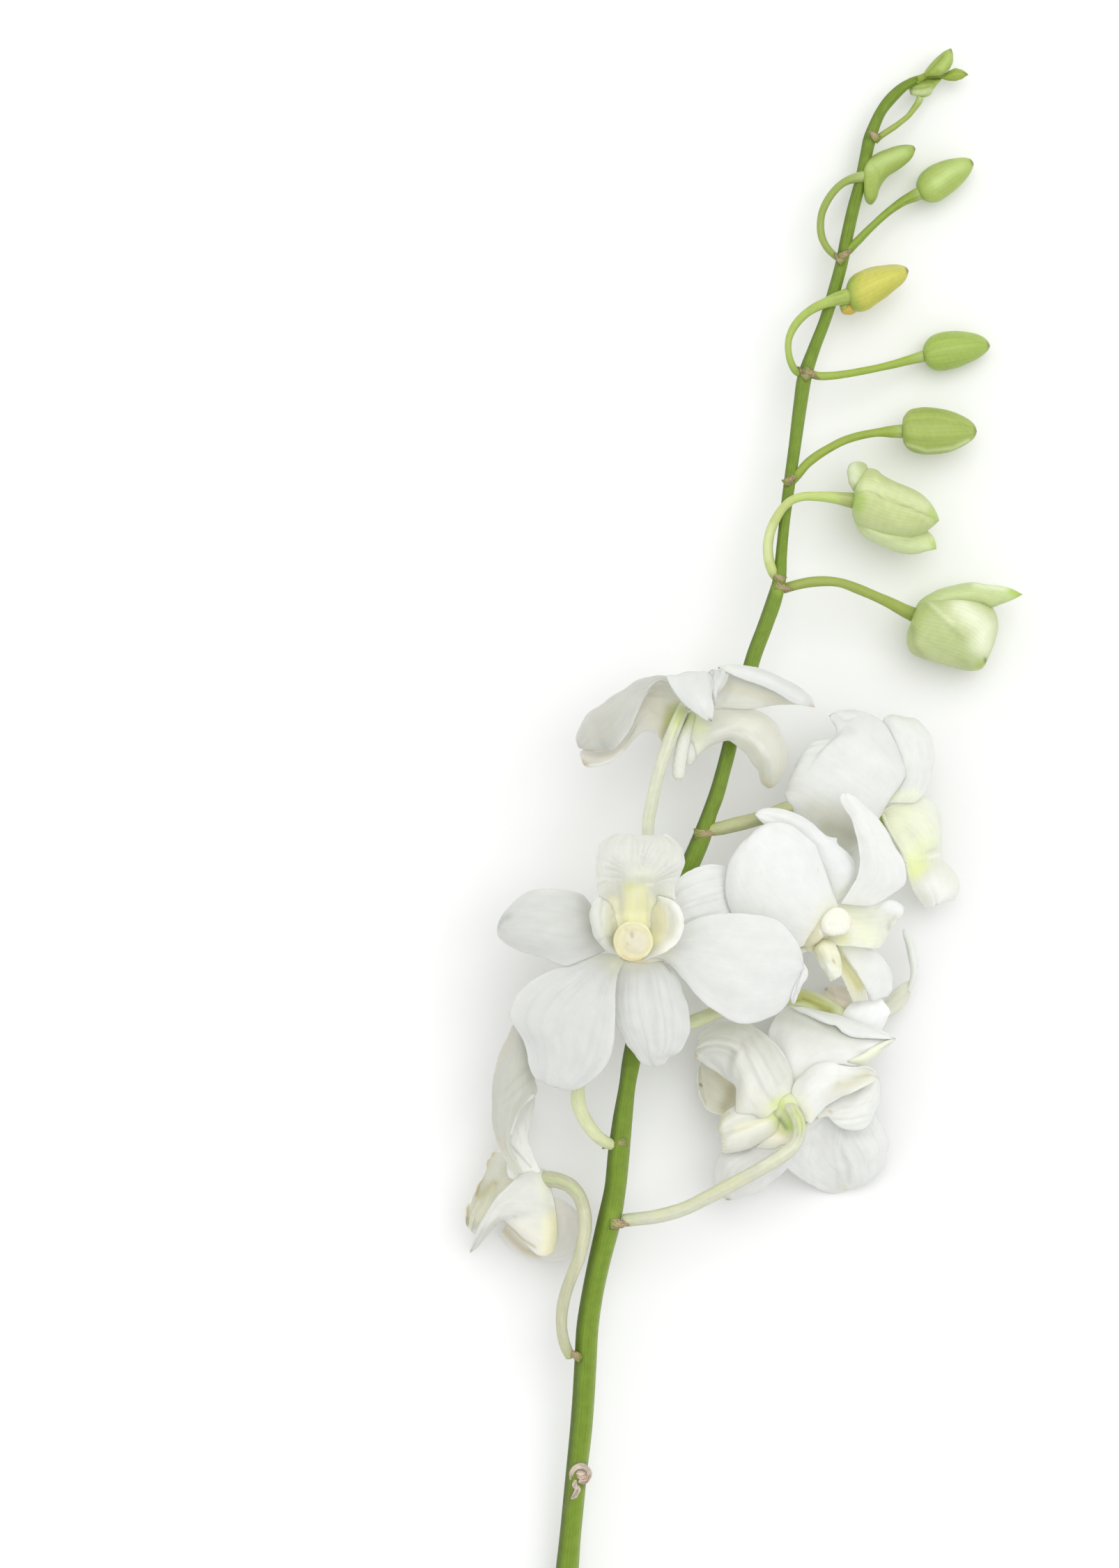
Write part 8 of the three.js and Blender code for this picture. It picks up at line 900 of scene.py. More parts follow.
FEATURES['flower_3_lip.0'] = [('fan', '917,1266', 34, .17, .16, 10, 66, 1), ('fan', '917,1270', 13, .12, .07, 14, 70, 1),
   ('tint', "905,1330 905,1300 906,1276", 11, (.74, .74, .42), .75), ('tint', "924,1330 924,1300 922,1276", 10, (.75, .75, .44), .75), ('tint', "884,1332 876,1308 878,1292", 8, (.76, .75, .50), .6), ('tint', "900,1272 906,1270", 6, (.62, .61, .28), .5),
   ('tint', "908,1258 920,1250 934,1256", 11, (.80, .84, .66), .55), ('ridge', "897,1324 896,1300 898,1276", 3, .35), ('ridge', "932,1322 933,1300 931,1276", 3, .35),
   ('ridge', "899,1270 908,1266 920,1267 931,1269", 3, .35), ('tint', "929,1268 936,1269", 2.4, (.92, .93, .76), .6), ('dark', "889,1272 890,1290 892,1312", 3.4, .10),
   ('dark', "876,1303 877,1305", 2.6, .35), ('tint', "868,1264 862,1268 857,1270", 1.8, (.46, .46, .34), .4), ('dark', "955,1242 957,1243", 2, .12), ('tint', "936,1300 948,1290 958,1284", 9, (.76, .79, .60), .5)]
FEATURES['flower_3_lip.1'] = [('tint', "864,1350 857,1330 855,1308 858,1294", 10, (.76, .80, .71), .7), ('tint', "880,1364 874,1356", 5, (.76, .76, .64), .4), ('tint', "876,1303 879,1316 882,1330 885,1344", 5, (.72, .71, .46), .7),
   ('ridge', "872,1354 867,1338 865,1318 866,1300", 4, .25), ('tint', "848,1300 847,1318 850,1334 856,1348 866,1361", 1.4, (.60, .60, .48), .4)]
# the olive tints inside the right side lobe are partly the throat's own yellow and partly painted shade in its hollow
FEATURES['flower_3_lip.2'] = [('tint', "940,1300 950,1316 950,1332 940,1350", 12, (.68, .65, .34), .85), ('tint', "934,1340 932,1356 928,1368", 7, (.72, .70, .42), .6), ('tint', "958,1360 972,1346 978,1328 976,1310 966,1298", 6, (.78, .79, .66), .75),
   ('tint', "940,1290 956,1293", 6, (.76, .80, .62), .6), ('tint', "935,1372 950,1366 962,1358", 7, (.78, .77, .68), .7)]
FEATURES['flower_3_lateral_sepals.3'] = [('tint', "890,1371 905,1374 920,1375 936,1374", 3, (.70, .58, .30), .5)]
FEATURES['flower_3_dorsal_sepal'] = [('tint', "896,1384 912,1383 930,1384", 6, (.80, .77, .60), .4), ('dark', "948,1378 956,1386 962,1394", 1.6, .35), ('ridge', "930,1500 942,1512 950,1516", 4, .3), ('tint', "935,1526 944,1529", 3, (.66, .62, .46), .35)]
# painted shade: the tones below 1 darken petal 1, the dorsal sepal and the left lateral sepal, which turn away from the
# light
chg('flower_3_petal_2', tone=(.915, .915, .915)); chg('flower_3_petal_1', tone=(.81, .81, .81), vein=.08, veinc=.04)
chg('flower_3_dorsal_sepal', tone=(.85, .85, .85), vein=.09, veinc=.05)
chg('flower_3_lateral_sepals.0', tone=(.79, .79, .78), vein=.05, veinc=.025); chg('flower_3_lateral_sepals.1', tone=(1.0, 1.0, 1.0), vein=.09, veinc=.05)
chg('flower_3_lateral_sepals.3', tone=(.96, .93, .86))
chg('flower_3_lip.0', tone=(.86, .86, .85), rag=.08, ruffle=.12, tipruf=.16, foot=(.76, .74, .46), footk=.5)
chg('flower_3_lip.1', tone=(.86, .87, .82), rag=.03, ruffle=.06, footk=.0, broad=.06)
chg('flower_3_lip.2', tone=(.86, .86, .80), rag=.03, ruffle=.06, footk=.0, broad=.06, veinc=.02)

# flower 5
VIS['flower_5_pedicel'] = [tb("946,1318,25.5,1.2 936,1305,28,1.3 931,1280,30,1.3 930,1245,31.2,1.3 930,1205,32.2,1.3 931,1175,32.9,1.4 936,1150,33.5,1.4 941,1125,34.1,1.4 948,1100,34.7,1.4 956,1075,35.2,1.45 964,1055,35.2,1.5 971,1038,34.6,1.5 978,1022,33,1.4 984,1008,30.6,1.2 989,998,28.6,.9")]
VIS['flower_5_petal_2'] = [sh("1000,1000 1022,970 1036,959 1060,960 1090,965 1120,977 1145,991 1156,1001 1164,1009 1168,1014", "1008,1014 1030,1014 1050,1016 1075,1018 1100,1014 1120,1011 1140,1011 1155,1012 1168,1014",
    "0,33,33,33 .2,33.6,34.6,32.6 .5,33.4,34.6,31.8 .8,31,32,30.4 1,30,30,30"),
    sh("1031,958 1041,954 1067,955 1093,960 1123,973 1152,989 1165,1002 1169,1014.5", "1031,958 1046,966 1067,975 1093,984 1116,995 1139,1009 1156,1013 1169,1014.5", "0,37.4,37.4,37.4 .12,36.8,38,38.6 .5,35.4,36.8,37.6 .85,31.6,32.6,33.2 1,30.6,30.6,30.6")]
FEATURES['flower_5_petal_2'] = []
FEATURES['flower_5_petal_2.0'] = [('tint', "1044,986 1070,992 1100,1000 1125,1008", 8, (.62, .60, .48), .7), ('tint', "1032,1004 1060,1012 1090,1012", 6, (.76, .75, .68), .5), ('dark', "1048,970 1046,990 1040,1002", 5, .14), ('ridge', "1036,1004 1062,1006 1090,1004", 3, .3)]
FEATURES['flower_5_petal_2.1'] = [('tint', "1044,960 1070,966 1100,976 1130,992 1150,1004", 5, (.78, .79, .77), .4), ('tint', "1163,1012 1168,1014.5", 3, (.55, .45, .36), .6), ('dark', "1090,961 1120,972 1148,988", 2, .10)]
VIS['flower_5_lateral_sepals'] = VIS['flower_5_lateral_sepals'][:2] + [
 bl("992,1034 984,1045 977,1056 970,1070 966,1084 964,1099 966,1112 973,1120.5", "992,1034 997,1047 995,1062 991,1076 988,1090 985,1103 981,1114 973,1120.5", "0,32.6,.5 .15,33,2.0 .6,33.4,2.3 .9,33.2,1.8 .97,33,1.2 1,33,.5"),
 bl("1002,1034 994,1044 989,1058 986,1072 984,1084 983,1093 987,1100", "1002,1034 1009,1046 1006,1060 1003,1074 1000,1086 995,1096 987,1100", "0,31.4,.5 .2,31.8,2.0 .6,32.0,2.0 .9,31.8,1.4 1,31.8,.5")]
FEATURES['flower_5_lateral_sepals.2'] = [('tint', "990,1038 982,1052", 8, (.66, .72, .36), .6), ('tint', "978,1062 974,1084 970,1104", 5, (.86, .87, .72), .5), ('dark', "990,1058 986,1080 983,1100", 3, .10), ('tint', "972,1112 974,1118", 5, (.78, .79, .64), .5)]
FEATURES['flower_5_lateral_sepals.3'] = [('tint', "1000,1038 1000,1052", 9, (.62, .70, .34), .6), ('tint', "992,1080 989,1096", 6, (.78, .80, .62), .5), ('tint', "1001,1064 999,1080", 5, (.80, .79, .68), .5)]
FEATURES['flower_5_lateral_sepals.1'] = [('ridge', "1020,1050 1043,1051 1067,1055 1088,1068 1102,1088 1106,1108", 6, .5), ('tint', "1030,1052 1050,1052 1068,1056 1088,1068 1100,1084", 5, (.80, .79, .73), .4), ('tint', "1070,1066 1084,1082 1093,1100", 6, (.60, .58, .48), .4), ('tint', "1086,1036 1104,1052 1117,1080", 10, (.66, .64, .56), .5),
   ('tint', "1120,1090 1117,1108 1108,1122", 6, (.60, .58, .49), .4), ('tint', "1094,1116 1101,1125 1104,1130", 7, (.54, .48, .34), .5), ('dark', "1097,1078 1104,1098 1104,1118", 2.4, .14), ('tint', "996,1034 1004,1044", 12, (.70, .76, .46), .7),
   ('tint', "1030,1030 1060,1034 1080,1044", 10, (.77, .76, .66), .4), ('ridge', "1034,1030 1066,1032 1090,1042", 5, -.2), ('tint', "1001,1072 996,1084", 8, (.76, .78, .60), .6)]
# painted shade: the tones below 1 darken flower 5's petal 1 and lateral sepals, which face away from the light
chg('flower_5_petal_1', tone=(.68, .68, .66), vein=.06, veinc=.03); chg('flower_5_lateral_sepals.0', tone=(.86, .85, .79), vein=.04); chg('flower_5_lateral_sepals.1', tone=(.86, .855, .81), vein=.07, veinc=.03)
chg('flower_5_dorsal_sepal.0', tone=(.88, .885, .885)); chg('flower_5_dorsal_sepal.1', tone=(.88, .885, .885)); chg('flower_5_petal_2.0', tone=(.87, .865, .82), vein=.03); chg('flower_5_petal_2.1', tone=(.81, .82, .81), vein=.02, veinc=0, broad=.05, ruffle=.06, nu=24)
chg('flower_5_lateral_sepals.2', tone=(.93, .93, .87)); chg('flower_5_lateral_sepals.3', tone=(.90, .90, .84)); chg('flower_5_pedicel', tone=(1.02, 1.0, 1.25), foot=(.42, .52, .12))
FEATURES['flower_5_pedicel'] = [('tint', "972,1036 978,1020", 6, (.52, .60, .20), .8), ('tint', "964,1056 970,1040", 4, (.62, .68, .32), .5), ('dark', "968,1058 976,1036", 1.4, .3)]

# flower 7: one broad petal covers most of the dorsal sepal, whose tip shows above it
VIS['flower_7_petal_1'] = [rw(
 "1266,1158,22.6 1264,1162,23 1262,1166,23.2 1260,1170,23 1257,1174,22.6", "1282,1136,22.6 1274,1150,24 1264,1166,25 1254,1182,24.6 1246,1195,22.6", "1300,1112,22.2 1286,1128,24.4 1266,1150,26.4 1247,1180,26.4 1232,1214,23",
 "1294,1090,21.8 1276,1104,24.6 1250,1130,27.4 1230,1168,27.8 1214,1226,23.4", "1284,1064,21 1260,1082,24.6 1230,1112,28.2 1210,1156,28.6 1194,1218,24", "1268,1036,19.8 1242,1060,24.4 1212,1096,28.4 1192,1142,28.6 1176,1200,24.6",
 "1236,1030,20 1222,1054,23.6 1192,1088,27.8 1170,1130,28 1156,1180,24.6", "1208,1056,21 1190,1068,24 1168,1092,26.6 1152,1124,26.6 1141,1165,24.2", "1172,1063,21.8 1160,1074,23.8 1148,1094,25 1139,1120,25 1131,1152,23.6", "1150,1083,22.6 1143,1096,23.2 1136,1112,23.6 1131,1126,23.4 1127,1142,23", c='w')]
VIS['flower_7_dorsal_sepal'] = [sh("1262,1156 1256,1120 1244,1098 1232,1078 1218,1060 1207,1050 1200,1041 1195,1033 1190,1027", "1274,1152 1284,1134 1294,1116 1294,1102 1288,1086 1279,1067 1270,1048 1262,1035 1252,1027 1236,1021 1216,1018 1201,1020 1190,1027",
    "0,20.4,20.4,20.4 .2,20.4,21.4,20.2 .6,20,21,19.4 .8,19,20.6,18.8 1,18,18,18")]
# painted shadow: the grey and olive tints on the lower part of petal 1 stand for the shadow of flower 6 lying over it
FEATURES['flower_7_petal_1'] = [('tint', "1168,1162 1190,1166 1215,1176 1236,1184", 17, (.58, .58, .49), .7), ('tint', "1188,1186 1208,1192 1222,1200", 14, (.44, .44, .34), .7), ('tint', "1210,1216 1196,1206 1180,1192", 14, (.56, .56, .46), .6), ('tint', "1136,1150 1140,1128 1156,1092", 10, (.72, .73, .70), .5),
   ('tint', "1220,1060 1236,1074 1252,1092", 12, (.76, .78, .74), .35), ('dark', "1192,1058 1206,1056 1222,1050", 6, .10), ('ridge', "1206,1058 1222,1072 1240,1092", 8, -.35)]
FEATURES['flower_7_dorsal_sepal'] = [('tint', "1198,1030 1215,1034 1235,1040", 12, (.76, .78, .72), .5), ('dark', "1192,1026 1200,1034", 5, .12)]
chg('flower_7_petal_1', tone=(.93, .93, .92), broad=.2, veinc=.01, vein=.03, nt=110, nu=90); chg('flower_7_dorsal_sepal', tone=(.93, .93, .92)); chg('flower_7_petal_2', tone=(.93, .93, .92))
FEATURES['flower_7_petal_2'] = [('tint', "1276,1142 1292,1142 1312,1138", 8, (.80, .84, .64), .6), ('tint', "1290,1030 1310,1036 1325,1052", 9, (.74, .76, .70), .45), ('tint', "1284,1070 1296,1096 1300,1116", 4, (.62, .64, .54), .45), ('ridge', "1300,1040 1318,1070 1314,1110", 8, .35)]
VIS['flower_7_column'] = [bl("1258,1164 1266,1158 1276,1156 1284,1160 1289,1168", "1258,1164 1264,1174 1272,1179 1281,1177 1289,1168", "0,17,1 .5,17,1.4 1,17,.5", c='y')]
VIS['flower_7_lip'] = [rw(
 "1266,1164,20 1266,1167,19.6 1267,1171,19.4 1268,1175,19.6 1268,1179,20", "1284,1152,20.4 1287,1162,19.8 1285,1174,19.4 1280,1185,19.4 1273,1190,20",
 "1308,1144,19.8 1310,1160,19.8 1304,1178,19.4 1294,1192,19 1281,1203,19.4", "1334,1145,18 1334,1166,18.8 1322,1188,18.4 1307,1204,17.8 1289,1220,18.2",
 "1350,1172,16 1346,1191,17.4 1332,1208,17 1315,1222,16.6 1297,1236,16.8", "1352,1204,14.8 1345,1217,15.6 1332,1228,15.2 1317,1238,14.9 1301,1250,15",
 "1353,1230,13.4 1346,1238,13.8 1333,1247,13.8 1320,1256,13.4 1305,1266,13", "1371,1252,11 1359,1260,12.2 1344,1268,12.6 1329,1275,12.2 1313,1284,11.4",
 "1377,1274,9.4 1364,1281,10.6 1350,1286,11 1336,1290,10.6 1321,1296,9.6", "1370,1291,8.6 1360,1293,9.2 1349,1296,9.4 1338,1300,9 1328,1304,8.4"),
 rw("1262,1160,20.2 1265,1165,20.6 1270,1170,20", "1268,1178,19.8 1272,1182,20.8 1278,1186,20", "1280,1200,19.2 1283,1203,20.2 1289,1206,19.4", "1290,1218,18.2 1293,1221,19 1298,1224,18.4", "1297,1236,17.2 1299,1237,17.6 1302,1239,17.2")]
FEATURES['flower_7_lip.0'] = [('tint', "1312,1234 1320,1242 1314,1248", 11, (.78, .86, .36), .85), ('tint', "1326,1210 1316,1226", 13, (.80, .87, .54), .7), ('tint', "1300,1164 1318,1176 1328,1192", 16, (.84, .88, .68), .6), ('tint', "1288,1178 1298,1198 1304,1216", 9, (.82, .87, .64), .6),
   ('tint', "1336,1268 1350,1280 1342,1296", 18, (.86, .87, .83), .9), ('ridge', "1304,1226 1325,1225 1344,1218", 4, -.3), ('ridge', "1310,1234 1328,1231 1344,1226", 3, .3), ('tint', "1334,1230 1346,1226", 2.4, (.90, .92, .80), .6), ('dark', "1330,1222 1343,1217", 2.4, .16),
   ('tint', "1344,1298 1346,1300", 1.8, (.40, .36, .28), .6), ('ridge', "1300,1158 1316,1182 1322,1204", 8, -.2), ('dark', "1356,1234 1366,1248", 4, .08)]
FEATURES['flower_7_lip.1'] = [('tint', "1266,1166 1276,1186 1290,1212 1299,1232", 2.2, (.66, .68, .46), .5), ('tint', "1271,1168 1284,1190 1297,1220", 1.8, (.88, .90, .82), .7)]
chg('flower_7_lip.0', tone=(1.0, 1.01, .96), ruffle=.06, tipruf=.08, rag=.04, vein=.02, veinc=.01); chg('flower_7_lip.1', tone=(.96, .98, .86))

# flower 6
VIS['flower_6_dorsal_sepal'] = [sh("1190,1296 1174,1272 1154,1244 1130,1218 1110,1196 1096,1182 1089,1176 1084,1168", "1207,1290 1217,1276 1225,1263 1228,1250 1226,1237 1219,1226 1209,1218 1201,1211 1205,1201.5 1196,1202 1186,1201 1178,1193 1168,1183 1157,1175 1144,1168 1130,1163 1116,1160 1104,1159.5 1093,1161.5 1084,1168",
   "0,29,29,29 .3,30.4,31.2,30.2 .6,31.4,32,30.6 .8,31.8,32.2,30.6 1,31,31,31")]
chg('flower_6_dorsal_sepal', tone=(.96, .965, .965), nt=120, rag=.03, ruffle=.08, veinc=.01); chg('flower_6_petal_1', veinc=.01, vein=.03); chg('flower_6_petal_2', tone=(.99, .99, .98))
# painted shade: the dark lines along the lower edge of the column cap stand for its shadow; the small pale tint on the
# column's body is a painted highlight
FEATURES['flower_6_column.1'] = [('tint', "1190,1316 1204,1318 1214,1326", 10, (.80, .76, .66), .5), ('tint', "1220,1325 1221,1329", 2.2, (.66, .46, .36), .6), ('tint', "1178,1328 1186,1318", 5, (.82, .80, .60), .5), ('tint', "1182,1338 1200,1342 1212,1339", 2.4, (.70, .65, .44), .5),
   ('tint', "1196,1303 1208,1306 1216,1314", 2.6, (.84, .82, .66), .6), ('dark', "1190,1343 1202,1344", 2, .3)]
FEATURES['flower_6_column.0'] = [('tint', "1150,1358 1160,1348 1168,1341", 7, (.62, .59, .42), .5), ('tint', "1151,1360 1154,1359", 2, (.36, .32, .18), .6), ('tint', "1178,1336 1180,1344", 2.0, (.90, .90, .80), .8), ('dark', "1182,1344 1192,1346", 3, .3), ('tint', "1196,1308 1204,1304", 6, (.82, .82, .68), .5)]
chg('flower_6_column.0', tone=(.95, .95, .86)); chg('flower_6_column.1', tone=(1.0, 1.0, .98))
FEATURES['flower_6_lip.1'] = [('tint', "1180,1358 1190,1368 1196,1378", 9, (.82, .80, .58), .6), ('tint', "1194,1377 1196,1380 1198,1383", 1.6, (.26, .20, .08), .8), ('ridge', "1174,1362 1184,1367 1194,1364", 3, .3), ('ridge', "1180,1376 1190,1376 1198,1370", 3, .3), ('tint', "1184,1386 1192,1394 1200,1400", 8, (.80, .84, .73), .7),
   ('dark', "1178,1379 1188,1381", 2, .2), ('dark', "1184,1350 1196,1352", 3, .2), ('tint', "1192,1403 1200,1403", 2.2, (.56, .52, .34), .4)]
# painted shade: the olive tints on this folded piece stand for shade on its turned side
FEATURES['flower_6_lip.2'] = [('tint', "1202,1374 1216,1392 1232,1414", 9, (.58, .56, .22), .8), ('tint', "1198,1384 1208,1402 1220,1426", 7, (.72, .71, .54), .7), ('tint', "1212,1420 1222,1434", 9, (.72, .72, .58), .6), ('dark', "1212,1374 1226,1392 1242,1418", 2.4, .3)]
FEATURES['flower_6_lip.0'] = [('tint', "1222,1324 1238,1338 1248,1346", 18, (.78, .82, .60), .6), ('tint', "1276,1298 1288,1303", 10, (.80, .82, .82), .85), ('dark', "1256,1304 1264,1298 1272,1292", 2.4, .16), ('tint', "1212,1346 1206,1356", 8, (.74, .76, .46), .6), ('dark', "1274,1334 1277,1322 1284,1314", 3, .18), ('ridge', "1270,1300 1276,1312 1274,1330", 4, .35),
   ('dark', "1274,1320 1275,1334 1272,1350", 3, .10)]
chg('flower_6_lip.1', ruffle=.10, rfreq=3, tipruf=.12, rag=.04, tone=(1.0, .99, .80), foot=(.80, .78, .52), footk=.4, nu=44, nt=60, vein=.02, veinc=0)
chg('flower_6_lip.0', tone=(1.0, 1.01, .94), foot=(.78, .80, .50), footk=.4); chg('flower_6_lip.2', tone=(.94, .93, .84), foot=(.56, .54, .22))
# painted light: the pale line along the stalk is a painted highlight and the dark line beside it painted shade
FEATURES['flower_4_pedicel'] = [('tint', "1130,1434 1150,1430 1170,1438 1190,1450", 9, (.34, .36, .07), .85), ('tint', "1136,1431 1152,1427 1170,1434 1186,1445", 2.2, (.50, .52, .17), .8), ('tint', "1140,1437 1156,1434 1174,1443 1190,1452", 1.6, (.21, .23, .04), .6), ('tint', "1100,1436 1118,1432", 8, (.44, .46, .12), .5)]
FEATURES['flower_4_lateral_sepals.0'] = [('tint', "1186,1421 1198,1424 1212,1420", 8, (.62, .57, .51), .5), ('dark', "1186,1420 1200,1430 1217,1436", 2, .2), ('tint', "1198,1446 1208,1452", 9, (.56, .50, .43), .5), ('dark', "1184,1418 1187,1420", 2, .5)]
# painted shade: the olive-grey tints and the tone below 1 darken petal 2, which lies behind flower 3's sepal; the tone
# above 1 on petal 1 is painted light
FEATURES['flower_4_petal_2'] = [('tint', "1280,1440 1294,1426 1306,1412", 14, (.58, .58, .47), .6), ('tint', "1276,1456 1290,1450 1302,1438", 5, (.66, .66, .56), .5)]
chg('flower_4_petal_2', tone=(.88, .88, .78)); chg('flower_4_petal_1', tone=(1.04, 1.04, 1.03)); chg('flower_6_lateral_sepals.0', tone=(1.0, 1.0, .99)); chg('flower_4_lateral_sepals.0', tone=(1.0, .98, .96), foot=(.60, .54, .47))

# flower 2: mentum as one folded skin that rises out of the sepal, and the green hollow where the stalk joins
VIS['flower_2_lateral_sepals'] = [PIECES['flower_2_lateral_sepals'][0], PIECES['flower_2_lateral_sepals'][2], rw(
 "1122,1586,21.4 1123,1593,23.2 1124,1600,23 1125,1607,23 1125,1616,22.2 1123,1626,20.6", "1108,1582,20.6 1109,1592,23.4 1110,1602,23 1111,1611,23.6 1111,1623,23 1110,1634,20.2",
 "1088,1580,20.2 1089,1594,23.8 1090,1607,22.9 1091,1616,24 1091,1629,23.2 1090,1641,19.6", "1068,1583,20 1069,1598,23.6 1071,1614,22.6 1072,1623,24 1073,1637,23 1073,1649,19.2",
 "1050,1590,19.8 1050,1605,23 1052,1620,22 1054,1629,23.5 1055,1642,22.6 1054,1653,18.9", "1038,1601,19.4 1037,1613,22 1040,1626,21.2 1043,1635,22.6 1044,1645,21.8 1043,1654,18.6", "1031,1616,18.8 1031,1622,20 1034,1630,19.6 1036,1638,20.6 1036,1646,20.2 1037,1652,18.4", c='w'),
 rw("1110,1576,20.6 1122,1571,21 1134,1570,21 1147,1573,20.8", "1107,1587,22.4 1119,1583,24 1133,1581,24.4 1150,1585,22.6", "1108,1598,22.4 1119,1596,23.4 1134,1594,24 1153,1598,22.6", "1111,1610,21.8 1120,1609,21 1135,1606,22.8 1154,1610,21.6", "1116,1622,21 1124,1621,19.8 1137,1618,21 1153,1622,20.6", c='w')]
VIS['flower_2_pedicel'] = [tb("896,1751,19,1.45 915,1749,20,1.5 940,1746,21,1.55 980,1735,22.2,1.55 1010,1721,23,1.6 1050,1700,24.4,1.6 1085,1681,25.6,1.6 1110,1666.5,26.4,1.6 1127,1655,26.8,1.6 1139,1644,26.9,1.55 1146,1631,26.6,1.55 1147.5,1618,26,1.5 1144,1604,25.2,1.5 1136,1592,24.2,1.4 1126,1584,22.8,1.1 1118,1580,21.4,.8")]
FEATURES['flower_2_lateral_sepals.2'] = [('dark', "1038,1628 1058,1620 1080,1613 1104,1605", 2.0, .22), ('tint', "1034,1630 1031,1619 1036,1607 1046,1598", 3.2, (.60, .57, .36), .7), ('tint', "1056,1622 1080,1614 1106,1606", 5, (.84, .81, .52), .7), ('tint', "1092,1614 1108,1608", 7, (.84, .80, .48), .5),
   ('tint', "1112,1602 1122,1600", 8, (.62, .70, .28), .7), ('tint', "1116,1620 1122,1612", 7, (.66, .66, .30), .6), ('tint', "1090,1640 1108,1632", 8, (.80, .76, .66), .6), ('tint', "1038,1640 1040,1650", 3, (.66, .68, .46), .5), ('tint', "1050,1646 1070,1641", 5, (.84, .85, .74), .5), ('dark', "1056,1653 1074,1648 1090,1640", 2, .2)]
# painted shade: the near-black line in the green hollow where the stalk joins is the shade in its slit
FEATURES['flower_2_lateral_sepals.3'] = [('tint', "1122,1590 1132,1596 1138,1606 1138,1618", 11, (.46, .60, .14), .85), ('tint', "1126,1580 1138,1582 1146,1590", 9, (.62, .72, .30), .7), ('dark', "1120,1605 1125,1612 1131,1621", 3.0, .9), ('tint', "1119.5,1604 1126,1612 1132,1621", 3.2, (.10, .20, .015), .95),
   ('tint', "1116,1604 1117,1606", 1.8, (.76, .82, .30), .8), ('tint', "1112,1612 1118,1622", 5, (.52, .50, .16), .6), ('dark', "1127,1590 1134,1602 1136,1614", 1.4, .3), ('ridge', "1122,1586 1130,1597 1133,1607", 2.6, .3)]
LOOK['flower_2_lateral_sepals.2'] = dict(nt=110, nu=110, vein=.0, veinc=.0, ruffle=.04, tipruf=.1, keel=0, broad=.05, rag=.05, footk=.5, foot=(.66, .72, .34), footv=.12, tone=(.97, .965, .88))
LOOK['flower_2_lateral_sepals.3'] = dict(nt=70, nu=60, vein=.0, veinc=.0, ruffle=.0, tipruf=.0, keel=0, broad=.02, rag=.0, footk=0, rimk=0, tone=(.96, .98, .84))
LOOK.pop('flower_2_lateral_sepals.4', None)
for f in FEATURES['flower_2_lateral_sepals.0']:
    pass
FEATURES['flower_2_lateral_sepals.0'] = [tuple([f[0], f[1], f[2] * 1.15, f[3] * .62] + list(f[4:])) if f[0] in ('dark', 'ridge') else f for f in FEATURES['flower_2_lateral_sepals.0']]
FEATURES['flower_2_petal_2.0'] = [tuple([f[0], f[1], f[2] * 1.15, f[3] * .6] + list(f[4:])) if f[0] in ('dark', 'ridge') else f for f in FEATURES['flower_2_petal_2.0']]
FEATURES['flower_2_petal_2.1'] = [('tint', "1190,1594 1193,1597", 2.4, (.56, .44, .34), .6), ('ridge', "1196,1602 1222,1601 1248,1594", 2.6, .3), ('dark', "1196,1606 1222,1605 1248,1599", 1.8, .12), ('dark', "1202,1590 1226,1588 1250,1580", 1.8, .08), ('ridge', "1202,1612 1226,1611 1250,1604", 2.4, .2)]
FEATURES['flower_2_petal_1.1'] = [('tint', "1206,1462 1236,1474 1266,1486", 8, (.76, .78, .75), .5), ('tint', "1134,1441 1150,1440 1180,1451 1204,1458", 2, (.92, .92, .89), .6), ('tint', "1283,1490 1285,1491", 3, (.44, .42, .34), .6)]
FEATURES['flower_2_petal_1.2'] = [('tint', "1228,1520 1246,1510 1264,1500", 8, (.84, .89, .66), .7), ('dark', "1218,1522 1234,1514 1252,1503 1268,1496", 1.6, .12)]
# painted shade: the dark olive tints stand for shade inside the lip's pocket; the tone above 1 on petal 1 below is
# painted light
FEATURES['flower_2_lip'] = [('tint', "1050,1562 1047,1578 1040,1590", 11, (.46, .42, .26), .7), ('tint', "1012,1534 1014,1560 1022,1584", 10, (.68, .67, .59), .6), ('tint', "1030,1540 1038,1552", 8, (.62, .60, .40), .5), ('tint', "1004,1556 1006,1558", 2.0, (.24, .20, .10), .7), ('dark', "1003,1530 1006,1556 1012,1582", 2.2, .18)]
chg('flower_2_petal_1.0', tone=(1.08, 1.08, 1.06), veinc=.01); chg('flower_2_petal_1.1', tone=(.97, .98, .96)); chg('flower_2_petal_1.2', tone=(1.0, 1.02, .86)); chg('flower_2_dorsal_sepal', tone=(1.03, 1.03, 1.0), veinc=.01)
chg('flower_2_petal_2.0', tone=(.955, .955, .95), vein=.09, veinc=.05, ruffle=.2, rfreq=3); chg('flower_2_petal_2.1', tone=(1.0, 1.0, .97), vein=.04); chg('flower_2_lip', tone=(.90, .88, .78)); chg('flower_2_pedicel', tone=(.95, .92, 1.15))
chg('flower_2_lateral_sepals.1', tone=(.93, .925, .92), vein=.05)
FEATURES['flower_2_dorsal_sepal'] = [tuple([f[0], f[1], f[2], f[3] * .7] + list(f[4:])) if f[0] in ('dark', 'ridge') else f for f in FEATURES['flower_2_dorsal_sepal']]

